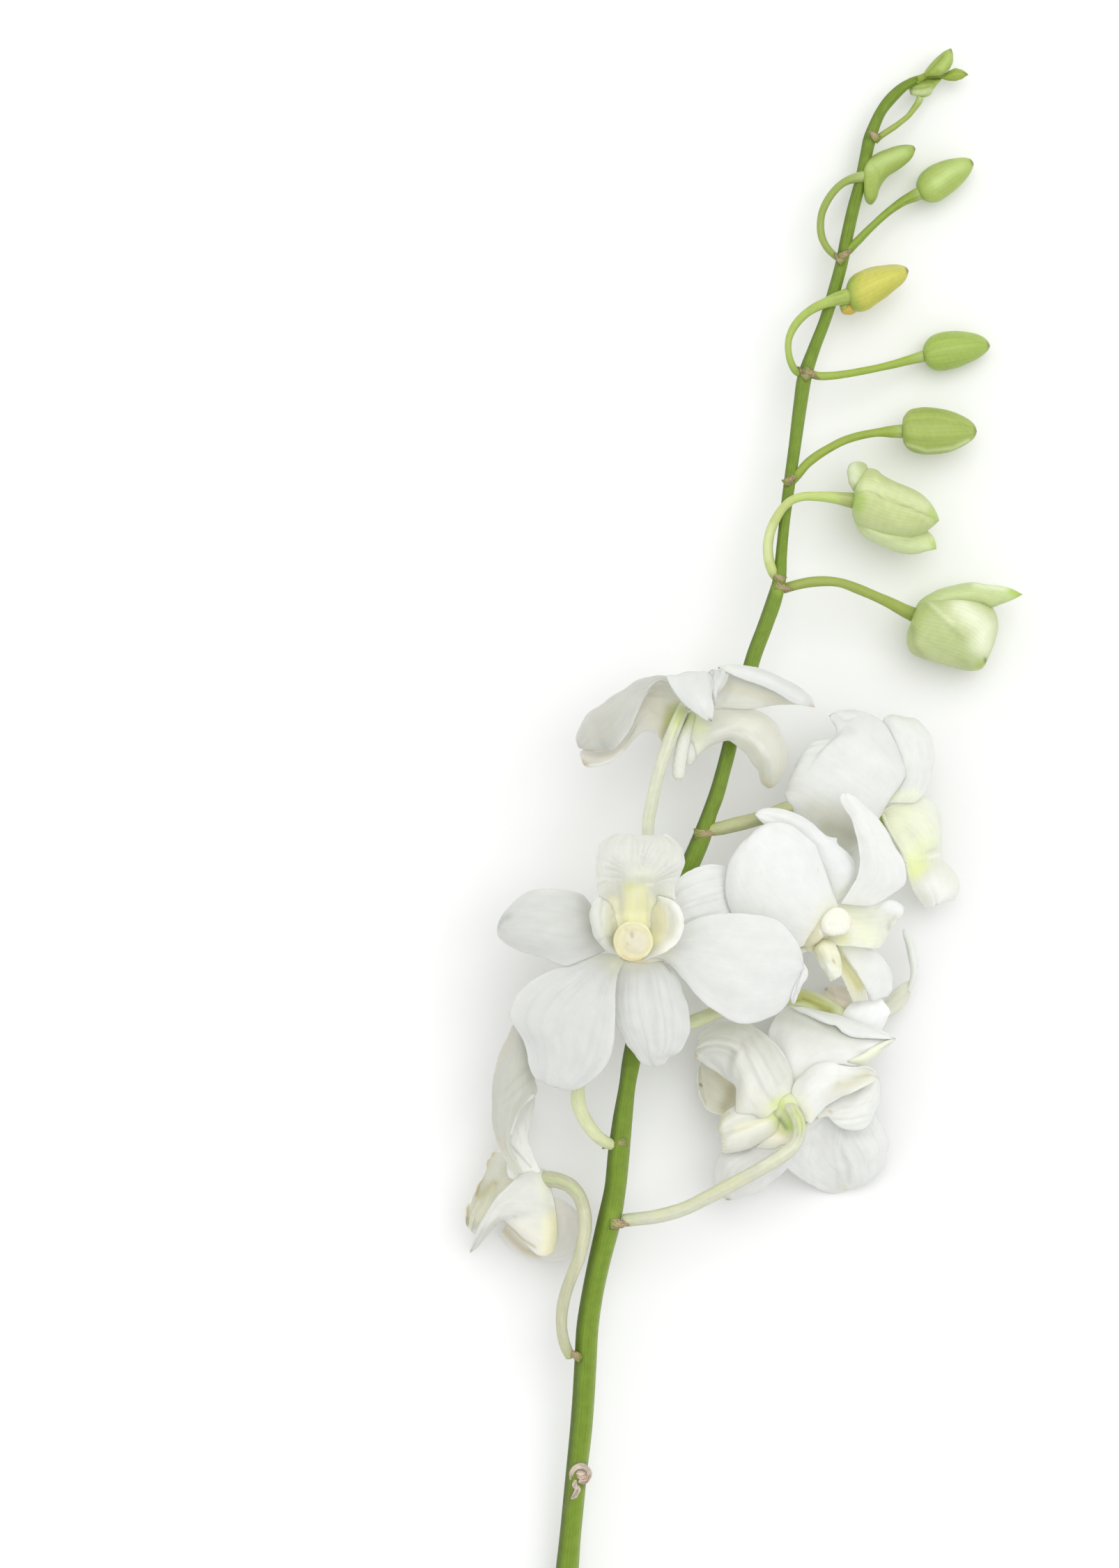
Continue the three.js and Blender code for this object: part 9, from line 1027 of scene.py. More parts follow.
# flower 1
VIS['flower_1_pedicel'] = [tb("818,1945,15,1.2 811,1930,16.8,1.3 806,1905,18,1.3 807,1877,19,1.4 812,1855,19.8,1.4 821,1830,20.6,1.4 829,1810,21.2,1.45 836,1785,21.8,1.5 840,1760,22.2,1.5 838,1736,22.4,1.55 831,1716,22.2,1.6 819,1702,21.4,1.7 804,1695,20,1.8 789,1692,18,1.85 776,1692,16,1.8 764,1693,14.4,1.4")]
VIS['flower_1_lateral_sepals'][0] = sh("777,1681 762,1680 749,1683 738,1693 724,1708 709,1724 698,1740 689,1758 681,1778 675,1797", "798,1792 783,1797 766,1789 750,1779 737,1765 723,1752 711,1759 701,1770 693,1780 685,1790 675,1797",
   "0,19,21.4,18.6 .2,18.6,21.6,19 .5,18,20.4,17.6 .8,13.6,15.6,13 .9,6.6,7.6,6.6 1,3,3,3", M="784,1738 770,1734 756,1731 742,1729 725,1732 713,1741 702,1753 692,1766 684,1782 675,1797")
VIS['flower_1_lateral_sepals'][2] = bl("787,1738 788,1752 786,1768 784,1782 784,1794 789,1803", "787,1738 795,1752 800,1768 802,1782 799,1796 789,1803", "0,16.4,.4 .3,16.6,1.6 .7,16.8,1.9 .9,16.8,1.3 1,16.8,.4", c='y')
# painted shade: the grey tints down the left of petal 1 and at its lower end stand for shade
FEATURES['flower_1_petal_1'] = [('ridge', "722,1560 740,1540 762,1520", 3, .22), ('dark', "724,1566 742,1546 764,1527", 2.4, .10), ('ridge', "720,1578 742,1556 764,1538", 3, .22), ('dark', "722,1584 744,1563 764,1546", 2.4, .10), ('ridge', "724,1594 744,1574 762,1556", 3, .2),
   ('tint', "738,1478 729,1494 721,1512 714,1530", 5, (.56, .51, .43), .5), ('tint', "741,1488 735,1504 727,1518", 1.8, (.58, .50, .42), .35), ('tint', "709,1570 711,1600 717,1628", 10, (.50, .50, .45), .6), ('tint', "716,1636 722,1646", 6, (.50, .47, .38), .6), ('tint', "766,1570 752,1587 741,1604 733,1626", 1.6, (.84, .84, .81), .5),
   ('ridge', "742,1480 738,1500 730,1520 720,1540", 4, .35), ('tint', "764,1567 767,1570", 2, (.40, .34, .26), .6)]
FEATURES['flower_1_lip'] = [('tint', "712,1650 701,1660 694,1680 687,1699 683,1714", 2.6, (.40, .31, .14), .7), ('tint', "671,1727 669,1756 668,1778", 2.6, (.40, .31, .14), .7), ('dark', "693,1684 690,1694", 3, .5), ('dark', "669,1748 668,1758", 2.6, .6), ('tint', "706,1684 711,1674 716,1664", 10, (.80, .81, .75), .5), ('tint', "680,1744 686,1736", 6, (.78, .77, .64), .5),
   ('tint', "690,1716 700,1708 710,1698", 5, (.62, .58, .38), .5), ('ridge', "688,1712 700,1702 712,1694", 4, -.4)]
FEATURES['flower_1_lateral_sepals.0'] = [('ridge', "738,1694 722,1712 706,1728 694,1748 684,1772", 4.5, .35), ('tint', "736,1694 722,1710 706,1726 694,1746 684,1770", 4, (.84, .84, .82), .35), ('ridge', "756,1734 736,1738 718,1748", 6, .3), ('dark', "768,1738 746,1744 724,1748", 4, .10), ('tint', "778,1694 782,1716", 8, (.78, .80, .66), .5),
   ('tint', "790,1756 790,1776 786,1792", 10, (.80, .77, .48), .7), ('dark', "738,1745 741,1746", 1.6, .3), ('tint', "766,1750 750,1754 736,1755", 7, (.74, .73, .66), .4), ('tint', "772,1774 762,1768 750,1760", 10, (.82, .80, .66), .5), ('tint', "676,1794 678,1796", 2.6, (.54, .46, .36), .6), ('tint', "712,1758 723,1752 738,1765 751,1778 768,1789", 1.8, (.42, .34, .16), .7)]
# painted shade: the grey and dark tints on the far lateral sepal stand for shade under the near one
FEATURES['flower_1_lateral_sepals.1'] = [('tint', "720,1758 735,1776 752,1792 772,1800", 6, (.46, .40, .22), .6), ('tint', "806,1732 826,1750 830,1776 822,1800", 13, (.72, .69, .66), .5), ('tint', "792,1720 796,1740", 6, (.76, .76, .66), .4), ('dark', "718,1752 724,1756", 3, .6)]
FEATURES['flower_1_dorsal_sepal'] = [('dark', "732,1641 748,1659 762,1675", 1.4, .5), ('ridge', "735,1641 751,1658 765,1673", 2, .25), ('dark', "741,1612 747,1640", 1.6, .12), ('dark', "752,1604 757,1634 768,1662", 1.6, .10), ('tint', "738,1684 752,1690", 8, (.78, .78, .72), .4)]
chg('flower_1_petal_1', tone=(.80, .80, .78), veinc=.02, vein=.03); chg('flower_1_lateral_sepals.0', tone=(.87, .865, .83)); chg('flower_1_lateral_sepals.1', tone=(.93, .90, .87)); chg('flower_1_lateral_sepals.2', tone=(.98, .96, .80), lump=.03)
chg('flower_1_lip', tone=(.88, .875, .80), foot=(.76, .74, .62), footk=.3, ruffle=.25, rfreq=5, rag=.15, tipruf=.2); chg('flower_1_pedicel', tone=(.86, .82, .88)); chg('flower_1_dorsal_sepal', tone=(.86, .865, .84), vein=.06, veinc=.04)

# ---------------------------------------------------------------- third pass
def scaled(node, ops, kw, kh):
    FEATURES[node] = [tuple([f[0], f[1], f[2] * kw, f[3] * kh] + list(f[4:])) if f[0] in ops else f for f in FEATURES[node]]

# flower 3
VIS['flower_3_lip'][1] = sh("886,1368 877,1367 866,1360 857,1350 851,1338 847.5,1322 847,1308 850,1297 855,1290 860,1285", "894,1362 891,1352 888,1340 885,1328 883,1316 881,1306 880,1297 878,1290 871,1286 860,1285",
    "0,41,41,38 .2,44.4,45.6,40 .5,46.6,48.4,42 .8,47.8,48.6,43 1,48,46.6,45", M="889,1366 881,1361 873,1352 867,1340 864,1326 862,1312 862,1301 863,1294 863,1288 860,1285")
VIS['flower_3_lip'][2] = sh("922,1378 922,1364 923,1350 923,1336 922,1322 922,1306 925,1296 932,1289 942,1286", "922,1378 944,1371 960,1363 972,1353 979,1340 982,1325 979,1309 973,1298 960,1289 942,1286",
    "0,37,38.6,40 .15,38,42.6,44.2 .5,38.4,44,46.4 .8,39.6,45.4,47.4 1,42.6,45.6,46.8", M="922,1378 933,1369 942,1358 948,1346 951,1332 951,1316 949,1302 946,1292 942,1286")
FEATURES['flower_3_lip.0'] = [('fan', '917,1266', 36, .24, .30, 10, 66, 1), ('fan', '917,1270', 13, .14, .10, 14, 70, 1),
   ('tint', "905,1330 905,1300 906,1276", 11, (.84, .84, .50), .75), ('tint', "924,1330 924,1300 922,1276", 10, (.85, .85, .52), .75), ('tint', "884,1332 876,1308 878,1292", 8, (.80, .79, .55), .6), ('tint', "900,1272 906,1270", 6, (.66, .65, .32), .5),
   ('tint', "908,1258 920,1250 934,1256", 11, (.82, .85, .70), .5), ('ridge', "897,1324 896,1300 898,1276", 3, .35), ('ridge', "932,1322 933,1300 931,1276", 3, .35), ('tint', "929,1268 936,1269", 2.4, (.92, .93, .76), .6), ('dark', "889,1272 890,1290 892,1312", 3.4, .10),
   ('dark', "876,1303 877,1305", 2.6, .35), ('tint', "868,1264 862,1268 857,1270", 1.8, (.46, .46, .34), .4), ('dark', "955,1242 957,1243", 2, .12), ('tint', "936,1300 948,1290 958,1284", 9, (.78, .81, .64), .5)]
# the olive tints inside the right side lobe are partly the throat's own yellow and partly painted shade in its hollow
FEATURES['flower_3_lip.2'] = [('tint', "938,1300 948,1316 948,1332 938,1350", 12, (.77, .73, .42), .85), ('tint', "932,1340 930,1356 926,1368", 7, (.78, .75, .48), .6), ('tint', "960,1360 974,1346 979,1328 977,1310 968,1298", 6, (.80, .81, .70), .7),
   ('tint', "940,1290 956,1293", 6, (.79, .82, .68), .6), ('tint', "935,1374 950,1368 962,1360", 7, (.80, .79, .72), .7)]
chg('flower_3_lateral_sepals.1', vein=.13, veinc=.09); chg('flower_3_dorsal_sepal', vein=.12, veinc=.08); chg('flower_3_petal_1', vein=.09, veinc=.05)

# flower 5: two blunt fingers of the mentum side by side
VIS['flower_5_lateral_sepals'] = VIS['flower_5_lateral_sepals'][:2] + [
 tb("993,1026,31.6,.9 988,1042,32.6,1.25 982.5,1058,33.2,1.45 978.5,1074,33.4,1.5 976,1088,33.4,1.52 974.5,1101,33.3,1.5 973.8,1110,33.2,1.4 973.4,1116,33,1.12 973.2,1119.6,33,.6", c='w'),
 tb("1001,1026,30.8,.9 999,1042,31.6,1.3 996.5,1058,32,1.5 993.5,1072,32.2,1.55 991,1083,32.2,1.4 989,1091,32,1.15 987.6,1097,32,.7", c='w')]
LOOK['flower_5_lateral_sepals.2'] = dict(ribs=3, rib=.02, tn=90, tm=32, foot=(.56, .64, .24), footk=.8, footv=.4, tone=(.93, .93, .87), tipk=0)
LOOK['flower_5_lateral_sepals.3'] = dict(ribs=3, rib=.02, tn=80, tm=32, foot=(.54, .62, .24), footk=.8, footv=.45, tone=(.90, .90, .84), tipk=0)
FEATURES['flower_5_lateral_sepals.2'] = []; FEATURES['flower_5_lateral_sepals.3'] = []
# painted shade: the grey tints on the inner face of the folded petal stand for shade
FEATURES['flower_5_petal_1'] = [('tint', "846,1052 858,1034 880,1016 902,1000", 15, (.54, .54, .49), .7), ('tint', "846,1068 866,1056 880,1046", 10, (.52, .52, .46), .6), ('ridge', "908,1000 898,1025 891,1048 878,1070", 6, .5), ('tint', "908,1004 897,1030 888,1054", 6, (.80, .80, .78), .5),
   ('dark', "864,1060 870,1074", 3, .16), ('tint', "834,1076 853,1077 874,1076", 1.8, (.46, .40, .30), .5), ('tint', "939,978 928,990 920,1003 911,1032 902,1048 894,1061", 1.5, (.87, .87, .84), .7)]
chg('flower_5_petal_1', tone=(.66, .66, .64))

# flower 7
VIS['flower_7_petal_1'] = [rw(
 "1269,1156,21.6 1268,1161,22 1266,1166,22.4 1263,1171,22.4 1259,1176,21.8", "1282,1136,22.6 1274,1150,24 1264,1166,25 1254,1182,24.6 1246,1195,22.6", "1300,1112,22.2 1286,1128,24.4 1266,1150,26.4 1247,1180,26.4 1232,1214,23",
 "1294,1090,21.8 1276,1104,24.6 1250,1130,27.2 1230,1168,27.6 1214,1226,23.4", "1284,1064,21 1260,1082,24.6 1230,1112,27.8 1210,1156,28.2 1194,1218,24", "1264,1034,19.8 1239,1060,24 1211,1096,27.8 1192,1142,28.2 1176,1200,24.6",
 "1224,1021,19.4 1212,1050,23 1188,1086,27 1168,1130,27.6 1155,1180,24.6", "1206,1055,21 1188,1067,24 1167,1092,26 1152,1124,26.2 1141,1168,24.2", "1172,1063.5,21.8 1160,1075,23.6 1148,1094,24.8 1139,1122,24.8 1131,1158,23.8", "1150,1084,22.6 1143,1097,23 1136.5,1112,23.2 1131,1128,23.2 1126.5,1146,23", c='w')]
FEATURES['flower_7_lip.0'] = [('tint', "1310,1234 1319,1242 1312,1250", 14, (.78, .86, .36), .85), ('tint', "1326,1208 1314,1226", 17, (.80, .87, .54), .75), ('tint', "1300,1164 1318,1176 1328,1192", 17, (.82, .87, .66), .65), ('tint', "1288,1178 1298,1198 1304,1216", 10, (.81, .86, .62), .6),
   ('tint', "1338,1270 1352,1281 1344,1297", 17, (.86, .87, .83), .9), ('ridge', "1306,1227 1325,1226 1344,1219", 4, -.16), ('ridge', "1312,1235 1328,1232 1344,1227", 3, .18), ('tint', "1334,1230 1346,1226", 2.4, (.90, .92, .80), .6), ('dark', "1330,1222 1343,1217", 2.4, .16),
   ('tint', "1344,1298 1346,1300", 1.8, (.40, .36, .28), .6), ('dark', "1356,1234 1366,1248", 4, .08)]
chg('flower_7_lip.0', tone=(.93, .94, .90)); chg('flower_6_lip.0', tone=(.93, .94, .88)); chg('flower_6_petal_2', footk=.08)
FEATURES['flower_6_petal_2'] = [f for f in FEATURES['flower_6_petal_2'] if not (f[0] == 'tint' and f[1].startswith('1216,1286'))]
VIS['flower_6_dorsal_sepal'] = [sh("1190,1296 1174,1272 1154,1244 1130,1218 1110,1196 1096,1182 1089,1176 1084,1168", "1207,1290 1217,1276 1225,1263 1228,1250 1226,1237 1219,1226 1210,1218 1203,1212 1201,1207 1202,1203 1195,1201.5 1186,1199 1178,1193 1168,1183 1157,1175 1144,1168 1130,1163 1116,1160 1104,1159.5 1093,1161.5 1084,1168",
   "0,29,29,29 .3,30.4,31.2,30.2 .6,31.4,32,30.6 .8,31.8,32.2,30.6 1,31,31,31")]

# flower 6
VIS['flower_6_column'][1] = bl("1177,1330 1180,1318 1188,1308 1199,1303 1210,1305 1219,1313 1223,1325", "1177,1330 1181,1338 1190,1343 1201,1343 1211,1340 1219,1334 1223,1325", "0,32.4,.4 .2,32.8,1.2 .5,33.0,1.6 .8,32.8,1.2 1,32.4,.4", c='c')
FEATURES['flower_6_column.1'] = [('tint', "1192,1316 1204,1318 1212,1326", 10, (.80, .77, .66), .5), ('tint', "1219,1325 1221,1328", 2.0, (.72, .56, .46), .45), ('tint', "1178,1328 1184,1318", 5, (.82, .80, .62), .5), ('tint', "1182,1338 1200,1342 1212,1339", 2.4, (.72, .68, .50), .5), ('dark', "1190,1343 1202,1344", 2, .3)]
FEATURES['flower_6_lip.1'] = [('tint', "1180,1358 1190,1368 1196,1378", 9, (.83, .82, .64), .6), ('tint', "1194,1377 1196,1380 1198,1383", 1.4, (.40, .34, .18), .7), ('ridge', "1172,1360 1182,1365 1194,1362", 2.6, .35), ('ridge', "1177,1372 1187,1373 1198,1368", 2.6, .35), ('tint', "1184,1386 1192,1394 1200,1400", 8, (.82, .85, .77), .7),
   ('dark', "1174,1367 1186,1369 1196,1366", 1.8, .25), ('dark', "1178,1379 1190,1380 1198,1377", 1.8, .25), ('dark', "1184,1350 1196,1352", 3, .2), ('ridge', "1184,1387 1194,1386 1202,1381", 2.6, .25), ('tint', "1192,1403 1200,1403", 2.2, (.62, .58, .42), .4)]

# flower 2: the mentum dips into the green hollow, which reaches down behind the stalk
VIS['flower_2_lateral_sepals'][2] = rw(
 "1121,1587,18.4 1121,1594,18.8 1121,1601,18.6 1121,1608,18.4 1121,1616,18 1120,1626,17.4", "1110,1582,20 1111,1591,22.2 1112,1601,22 1112,1610,22.2 1111,1622,21.6 1110,1636,19.6", "1100,1580,20.4 1101,1592,23.4 1102,1603,23 1102,1612,23.6 1102,1625,22.8 1101,1639,19.6",
 "1086,1580,20.2 1087,1594,23.8 1088,1607,23 1089,1616,24 1089,1629,23.2 1088,1642,19.4", "1068,1583,20 1069,1598,23.6 1071,1614,22.7 1072,1623,24 1073,1637,23 1073,1649,19.2",
 "1050,1590,19.8 1050,1605,23 1052,1620,22.1 1054,1629,23.5 1055,1642,22.6 1054,1653,18.9", "1038,1601,19.4 1037,1613,22 1040,1626,21.2 1043,1635,22.6 1044,1645,21.8 1043,1654,18.6", "1031,1616,18.8 1031,1622,20 1034,1630,19.6 1036,1638,20.6 1036,1646,20.2 1037,1652,18.4", c='w')
VIS['flower_2_lateral_sepals'][3] = rw("1110,1574,20.4 1122,1570,20.8 1134,1569,20.8 1147,1572,20.4", "1106,1585,21.8 1119,1582,23.8 1133,1580,24.4 1150,1584,22.4", "1106,1597,21.6 1119,1596,23 1134,1594,24 1153,1598,22.4", "1106,1610,20.8 1119,1609,20.2 1135,1606,22.6 1154,1610,21.4",
 "1106,1623,20.2 1120,1622,19.6 1136,1619,21.4 1153,1622,20.6", "1100,1636,19.4 1116,1637,20.8 1132,1634,21 1149,1634,19.8", "1090,1645,17.8 1108,1648,18.8 1126,1645,18.8 1142,1642,18", c='w')
FEATURES['flower_2_lateral_sepals.2'] = [('dark', "1038,1628 1058,1620 1080,1613 1104,1605", 2.2, .2), ('tint', "1034,1630 1031,1619 1036,1607 1046,1598", 3.2, (.62, .59, .40), .7), ('tint', "1060,1620 1082,1613 1106,1606", 7, (.82, .80, .60), .6), ('tint', "1096,1596 1112,1604 1116,1616", 9, (.64, .70, .34), .7),
   ('tint', "1104,1632 1114,1626", 7, (.74, .70, .50), .5), ('tint', "1038,1640 1040,1650", 3, (.70, .71, .54), .5), ('tint', "1050,1646 1070,1641", 5, (.84, .85, .76), .5), ('dark', "1056,1653 1074,1648 1090,1640", 2, .2)]
# painted shade: the near-black line in the green hollow is the shade in its slit
FEATURES['flower_2_lateral_sepals.3'] = [('tint', "1124,1586 1132,1596 1136,1606 1136,1616", 10, (.50, .62, .17), .85), ('tint', "1120,1578 1134,1577 1146,1586", 9, (.66, .74, .36), .7), ('tint', "1112,1596 1112,1610 1116,1620", 6, (.56, .60, .20), .7), ('tint', "1110,1634 1124,1640", 12, (.80, .76, .66), .8),
   ('tint', "1118,1624 1128,1628", 6, (.62, .60, .30), .6), ('dark', "1119.5,1604 1125,1611 1131,1621", 3.4, .9), ('tint', "1119,1603 1125,1611 1131,1621", 3.6, (.10, .20, .015), .95), ('tint', "1115.5,1603 1116.5,1605", 1.8, (.76, .82, .30), .8), ('ridge', "1122,1586 1130,1597 1133,1607", 2.6, .3)]
LOOK['flower_2_lateral_sepals.2']['footk'] = .0
scaled('flower_2_lateral_sepals.0', ('dark', 'ridge'), 1.0, 1.45); scaled('flower_2_petal_2.0', ('dark', 'ridge'), 1.0, 1.5)
chg('flower_2_lip', tone=(1.02, 1.0, .90)); chg('flower_2_petal_2.0', vein=.11, veinc=.07)
FEATURES['flower_2_pedicel'] = [('tint', "1150,1618 1148,1604 1140,1595", 7, (.56, .66, .22), .7), ('dark', "1151,1630 1152,1616 1148,1603 1141,1594", 1.3, .3), ('dark', "1145,1632 1145,1618 1141,1606 1136,1598", 1.2, .3), ('dark', "1142,1640 1130,1650 1110,1660", 1.3, .12),
   ('tint', "1140,1644 1120,1658 1096,1670", 6, (.78, .79, .60), .5), ('tint', "1060,1690 1020,1706 985,1722 940,1738", 9, (.64, .65, .36), .5)]

# flower 1
VIS['flower_1_lateral_sepals'][0] = sh("782,1678 771,1678 758,1681 748,1684 738,1693 724,1708 709,1724 698,1740 689,1758 681,1778 675,1797", "797,1801 787,1802 776,1800 766,1792 750,1780 737,1766 723,1752 711,1759 701,1770 693,1780 685,1790 675,1797",
   "0,13,14,12 .05,17.6,19.6,16.6 .2,18.8,21.6,19 .5,18,20.4,17.6 .8,13.6,15.6,13 .9,6.6,7.6,6.6 1,3,3,3", M="796,1742 785,1736 770,1732 756,1731 742,1729 725,1732 713,1741 702,1753 692,1766 684,1782 675,1797")
VIS['flower_1_lateral_sepals'][2] = bl("787,1738 788,1752 786,1768 784,1782 784,1792 789,1800", "787,1738 793,1752 797,1768 799,1782 797,1794 789,1800", "0,14.4,.4 .3,14.6,1.4 .7,14.8,1.6 .9,14.8,1.1 1,14.8,.4", c='y')
FEATURES['flower_1_lip'] = [('tint', "712,1650 701,1660 694,1680 687,1699 683,1714", 2.4, (.42, .33, .16), .7), ('tint', "671,1727 669,1756 668,1778", 2.4, (.42, .33, .16), .7), ('dark', "693,1684 690,1694", 3, .5), ('dark', "669,1748 668,1758", 2.6, .6), ('tint', "704,1690 710,1676 716,1664", 12, (.86, .87, .82), .7), ('tint', "680,1746 686,1736", 8, (.82, .81, .70), .6),
   ('tint', "688,1716 700,1707 712,1697", 5, (.60, .57, .38), .6), ('ridge', "688,1712 700,1702 712,1694", 5, -.7), ('ridge', "694,1690 700,1676 708,1662", 5, -.5), ('ridge', "676,1744 682,1734 690,1724", 4, .4)]
chg('flower_1_lip', tone=(1.0, .99, .92)); chg('flower_1_pedicel', tone=(.79, .76, .84))
FEATURES['flower_1_pedicel'] = [('tint', "782,1692 800,1694 820,1702 834,1718", 2.6, (.50, .60, .24), .5), ('dark', "784,1698 802,1699 820,1707 832,1720", 1.4, .25), ('dark', "784,1688 802,1688 822,1696 837,1710", 1.2, .2), ('tint', "838,1740 838,1790 832,1840", 6, (.72, .71, .52), .4)]

# ---------------------------------------------------------------- buds, their stalks and the stem
def stalk(node, path):
    old = VIS.get(node, PIECES[node]); VIS[node] = [dict(old[0], path=[[float(a) for a in q.split(',')] for q in path.split()])] + [dict(p) for p in old[1:]]
stalk('bud_01', "1124,845,18,1.1 1140,840,18.4,1.1 1160,835.5,18.2,1.15 1180,834,17.8,1.15 1205,836,16.9,1.1 1230,844.5,15.6,1.15 1255,855,14.2,1.2 1280,866.5,12.6,1.35 1300,877,11.4,1.55 1316,884,10.4,1.8")
stalk('bud_02', "1119,832,17.8,1.1 1110,822,18.8,1.2 1104,805,18.6,1.2 1102,785,18.4,1.15 1106,762,18.4,1.1 1113,746,18.6,1.1 1123,730,19,1.0 1136,718,19.2,.98 1152,712.5,19,.98 1172,712,18.2,1.05 1196,714,17,1.3 1224,718,15.4,1.75")
stalk('bud_03', "1136,692,15,.9 1145,681,15.8,1.0 1156,667.5,16,1 1172,654.5,15.8,1 1190,643,15.2,.93 1210,633,14.4,.92 1235,625,13.2,.92 1262,620.5,12,1.0 1280,619.5,11.2,1.4 1300,618.5,10.4,1.65")
stalk('bud_04', "1160,534,12.2,.9 1172,539,12.6,.95 1190,539.5,12.2,.95 1215,536.5,11.2,.88 1245,531,9.6,.87 1275,524.5,8,.9 1302,517.5,6.6,1.1 1328,510.5,5.4,1.4")
stalk('bud_05', "1152,538,12.2,.8 1142,532,13,.9 1135,520,13.2,.82 1131.5,503,13,.76 1132.5,485,12.8,.8 1139,470,12.8,.87 1150,456,13,.97 1164,445,13.2,1.0 1180,436.5,13.2,1.1 1196,430.5,12.8,1.4 1208,427,12.2,1.65 1220,424,11.4,1.85")
stalk('bud_06', "1209,368,9.4,.9 1218,359,9.8,.95 1230,346.5,9.8,.9 1248,328.5,9.2,.86 1266,311.5,8.4,.86 1282,298.5,7.8,.92 1298,288,7.2,1.1 1312,281,6.6,1.4 1324,275.5,6.2,1.65")
stalk('bud_07', "1206,372,9.4,.8 1196,365,10.2,.8 1186,354,10.4,.85 1180,342,10.2,.85 1177.5,325,10,.84 1179,308,10,.84 1186,291,10.1,.84 1197,274.5,10.3,.85 1210,263,10.4,.86 1225,256,10,1.05 1240,253.5,9.4,1.35")
stalk('bud_08', "1256,203,7.6,.7 1263,196,8,.7 1276,187,7.8,.68 1290,177.5,7.4,.64 1303,166.5,7,.6 1314,153,6.6,.7 1321,140,6.3,.85")
stalk('bud_09', "1306,117,6.4,.8 1325,111.5,5.6,.85 1342,109,5.0,.85 1356,107.5,4.8,.85"); stalk('bud_10', "1315,118,7.0,.6 1322,112,7.2,.7 1328,108,7.2,.7")
def shape(node, L, R, i=1):
    q = VIS[node][i]; q['L'] = [[float(a) for a in s.split(',')] for s in L.split()]; q['R'] = [[float(a) for a in s.split(',')] for s in R.split()]
shape('bud_03', "1295,612 1297,598 1305,588 1320,585 1340,585 1358,588 1376,594 1390,601.5 1399,610 1402,619", "1295,624 1297,636 1304,645 1318,651 1338,652 1358,650 1376,643.5 1390,635.5 1399,627 1402,619")
shape('bud_04', "1324,508 1326,496 1334,484 1346,478 1370,475 1393,477 1408,482 1417,488.5 1421,496", "1326,514 1332,526 1345,532 1360,531 1376,527 1395,519 1410,510 1418,503 1421,496")
shape('bud_05', "1214,414 1218,402 1226,394 1240,386.5 1260,381.5 1280,379.5 1294,380.5 1301,383.5 1304,388.5", "1219,436 1224,444 1232,448 1242,446 1256,438 1271,427 1285,416 1296,406 1302,397 1304,388.5")
shape('bud_06', "1317,276 1315,264 1320,251 1332,240 1350,231.5 1370,227 1387,226.5 1394,229 1397.5,235", "1324,286 1332,290 1345,290 1356,284 1370,274 1382,262 1391,251 1396,242 1397.5,235")
shape('bud_07', "1238,246 1246,230 1258,220 1275,213 1290,208.5 1304,207.5 1311,209 1314,214", "1240,262 1240,278 1243,290 1250,294 1258,285 1262,272 1267,262 1275,253 1290,243.5 1302,234 1310,224.5 1314,214")
shape('bud_08', "1307,136 1304,124 1310,114 1325,112 1340,113 1352,114", "1322,140 1334,137 1340,128 1346,120 1352,114")
shape('bud_10', "1326,110 1327,103 1331,97 1342,84.5 1354,74.5 1361,70.5 1365.5,69.5", "1340,109 1352,107 1361,101 1366.5,92 1368,80 1365.5,69.5")
VIS['bud_05'].append(bl("1208,427 1205,436 1205.5,443 1209,449", "1222,427 1225,436 1220,445 1209,449", "0,9.2,1.2 .5,9.2,1.7 1,9.2,.4", c='g'))
TONES = {'bud_01.1': (.82, .81, .76), 'bud_02.1': (.89, .87, .81), 'bud_02.2': (1.0, .98, .95), 'bud_01.2': (.90, .90, .88), 'bud_02.3': (.86, .84, .86), 'bud_03.1': (.80, .79, .74), 'bud_04.1': (.80, .84, .70), 'bud_05.1': (.98, .98, 1.15), 'bud_05.2': (1.05, .82, .9),
         'bud_06.1': (.87, .88, .84), 'bud_07.1': (.78, .80, .68), 'bud_08.1': (.76, .78, .62), 'bud_09.1': (.70, .72, .42), 'bud_10.1': (.72, .74, .52)}
for k, v in TONES.items(): chg(k, tone=v)
for k in (3, 4, 6, 7, 8, 9, 10): chg('bud_%02d' % k, foot=(.22, .33, .045), footk=.75, footv=.17, tipc=(.20, .22, .06), tipk=.7, tipv=.955, seams=[], bvein=.012, bveins=22)
chg('bud_03', seams=[(66, .035), (112, .03)]); chg('bud_04', seams=[(80, .03), (105, .025)]); chg('bud_05', foot=(.26, .38, .06), footk=.8, footv=.32, tipc=(.16, .12, .03), tipk=.8, tipv=.95, seams=[(78, .03)], bvein=.012)
chg('bud_05.2', footk=0); chg('bud_01', bvein=.012); chg('bud_02', bvein=.012, seams=[])
for k, v in {1: (.50, .58, .21), 2: (.80, .86, .52), 3: (.46, .57, .15), 4: (.51, .64, .18), 5: (.60, .72, .27), 6: (.40, .52, .12), 7: (.46, .56, .21), 8: (.50, .60, .22), 9: (.40, .52, .10), 10: (.40, .50, .10)}.items():
    chg('bud_%02d.0' % k, tone=v, foot=(.24, .34, .045), footk=.55, footv=.12, tipc=(.50, .58, .27) if k > 2 else (.25, .31, .07), tipk=.6, tipv=.84, seams=[], ribs=6, rib=.04)
chg('bud_09.0', tipk=0); chg('bud_10.0', tipk=0)
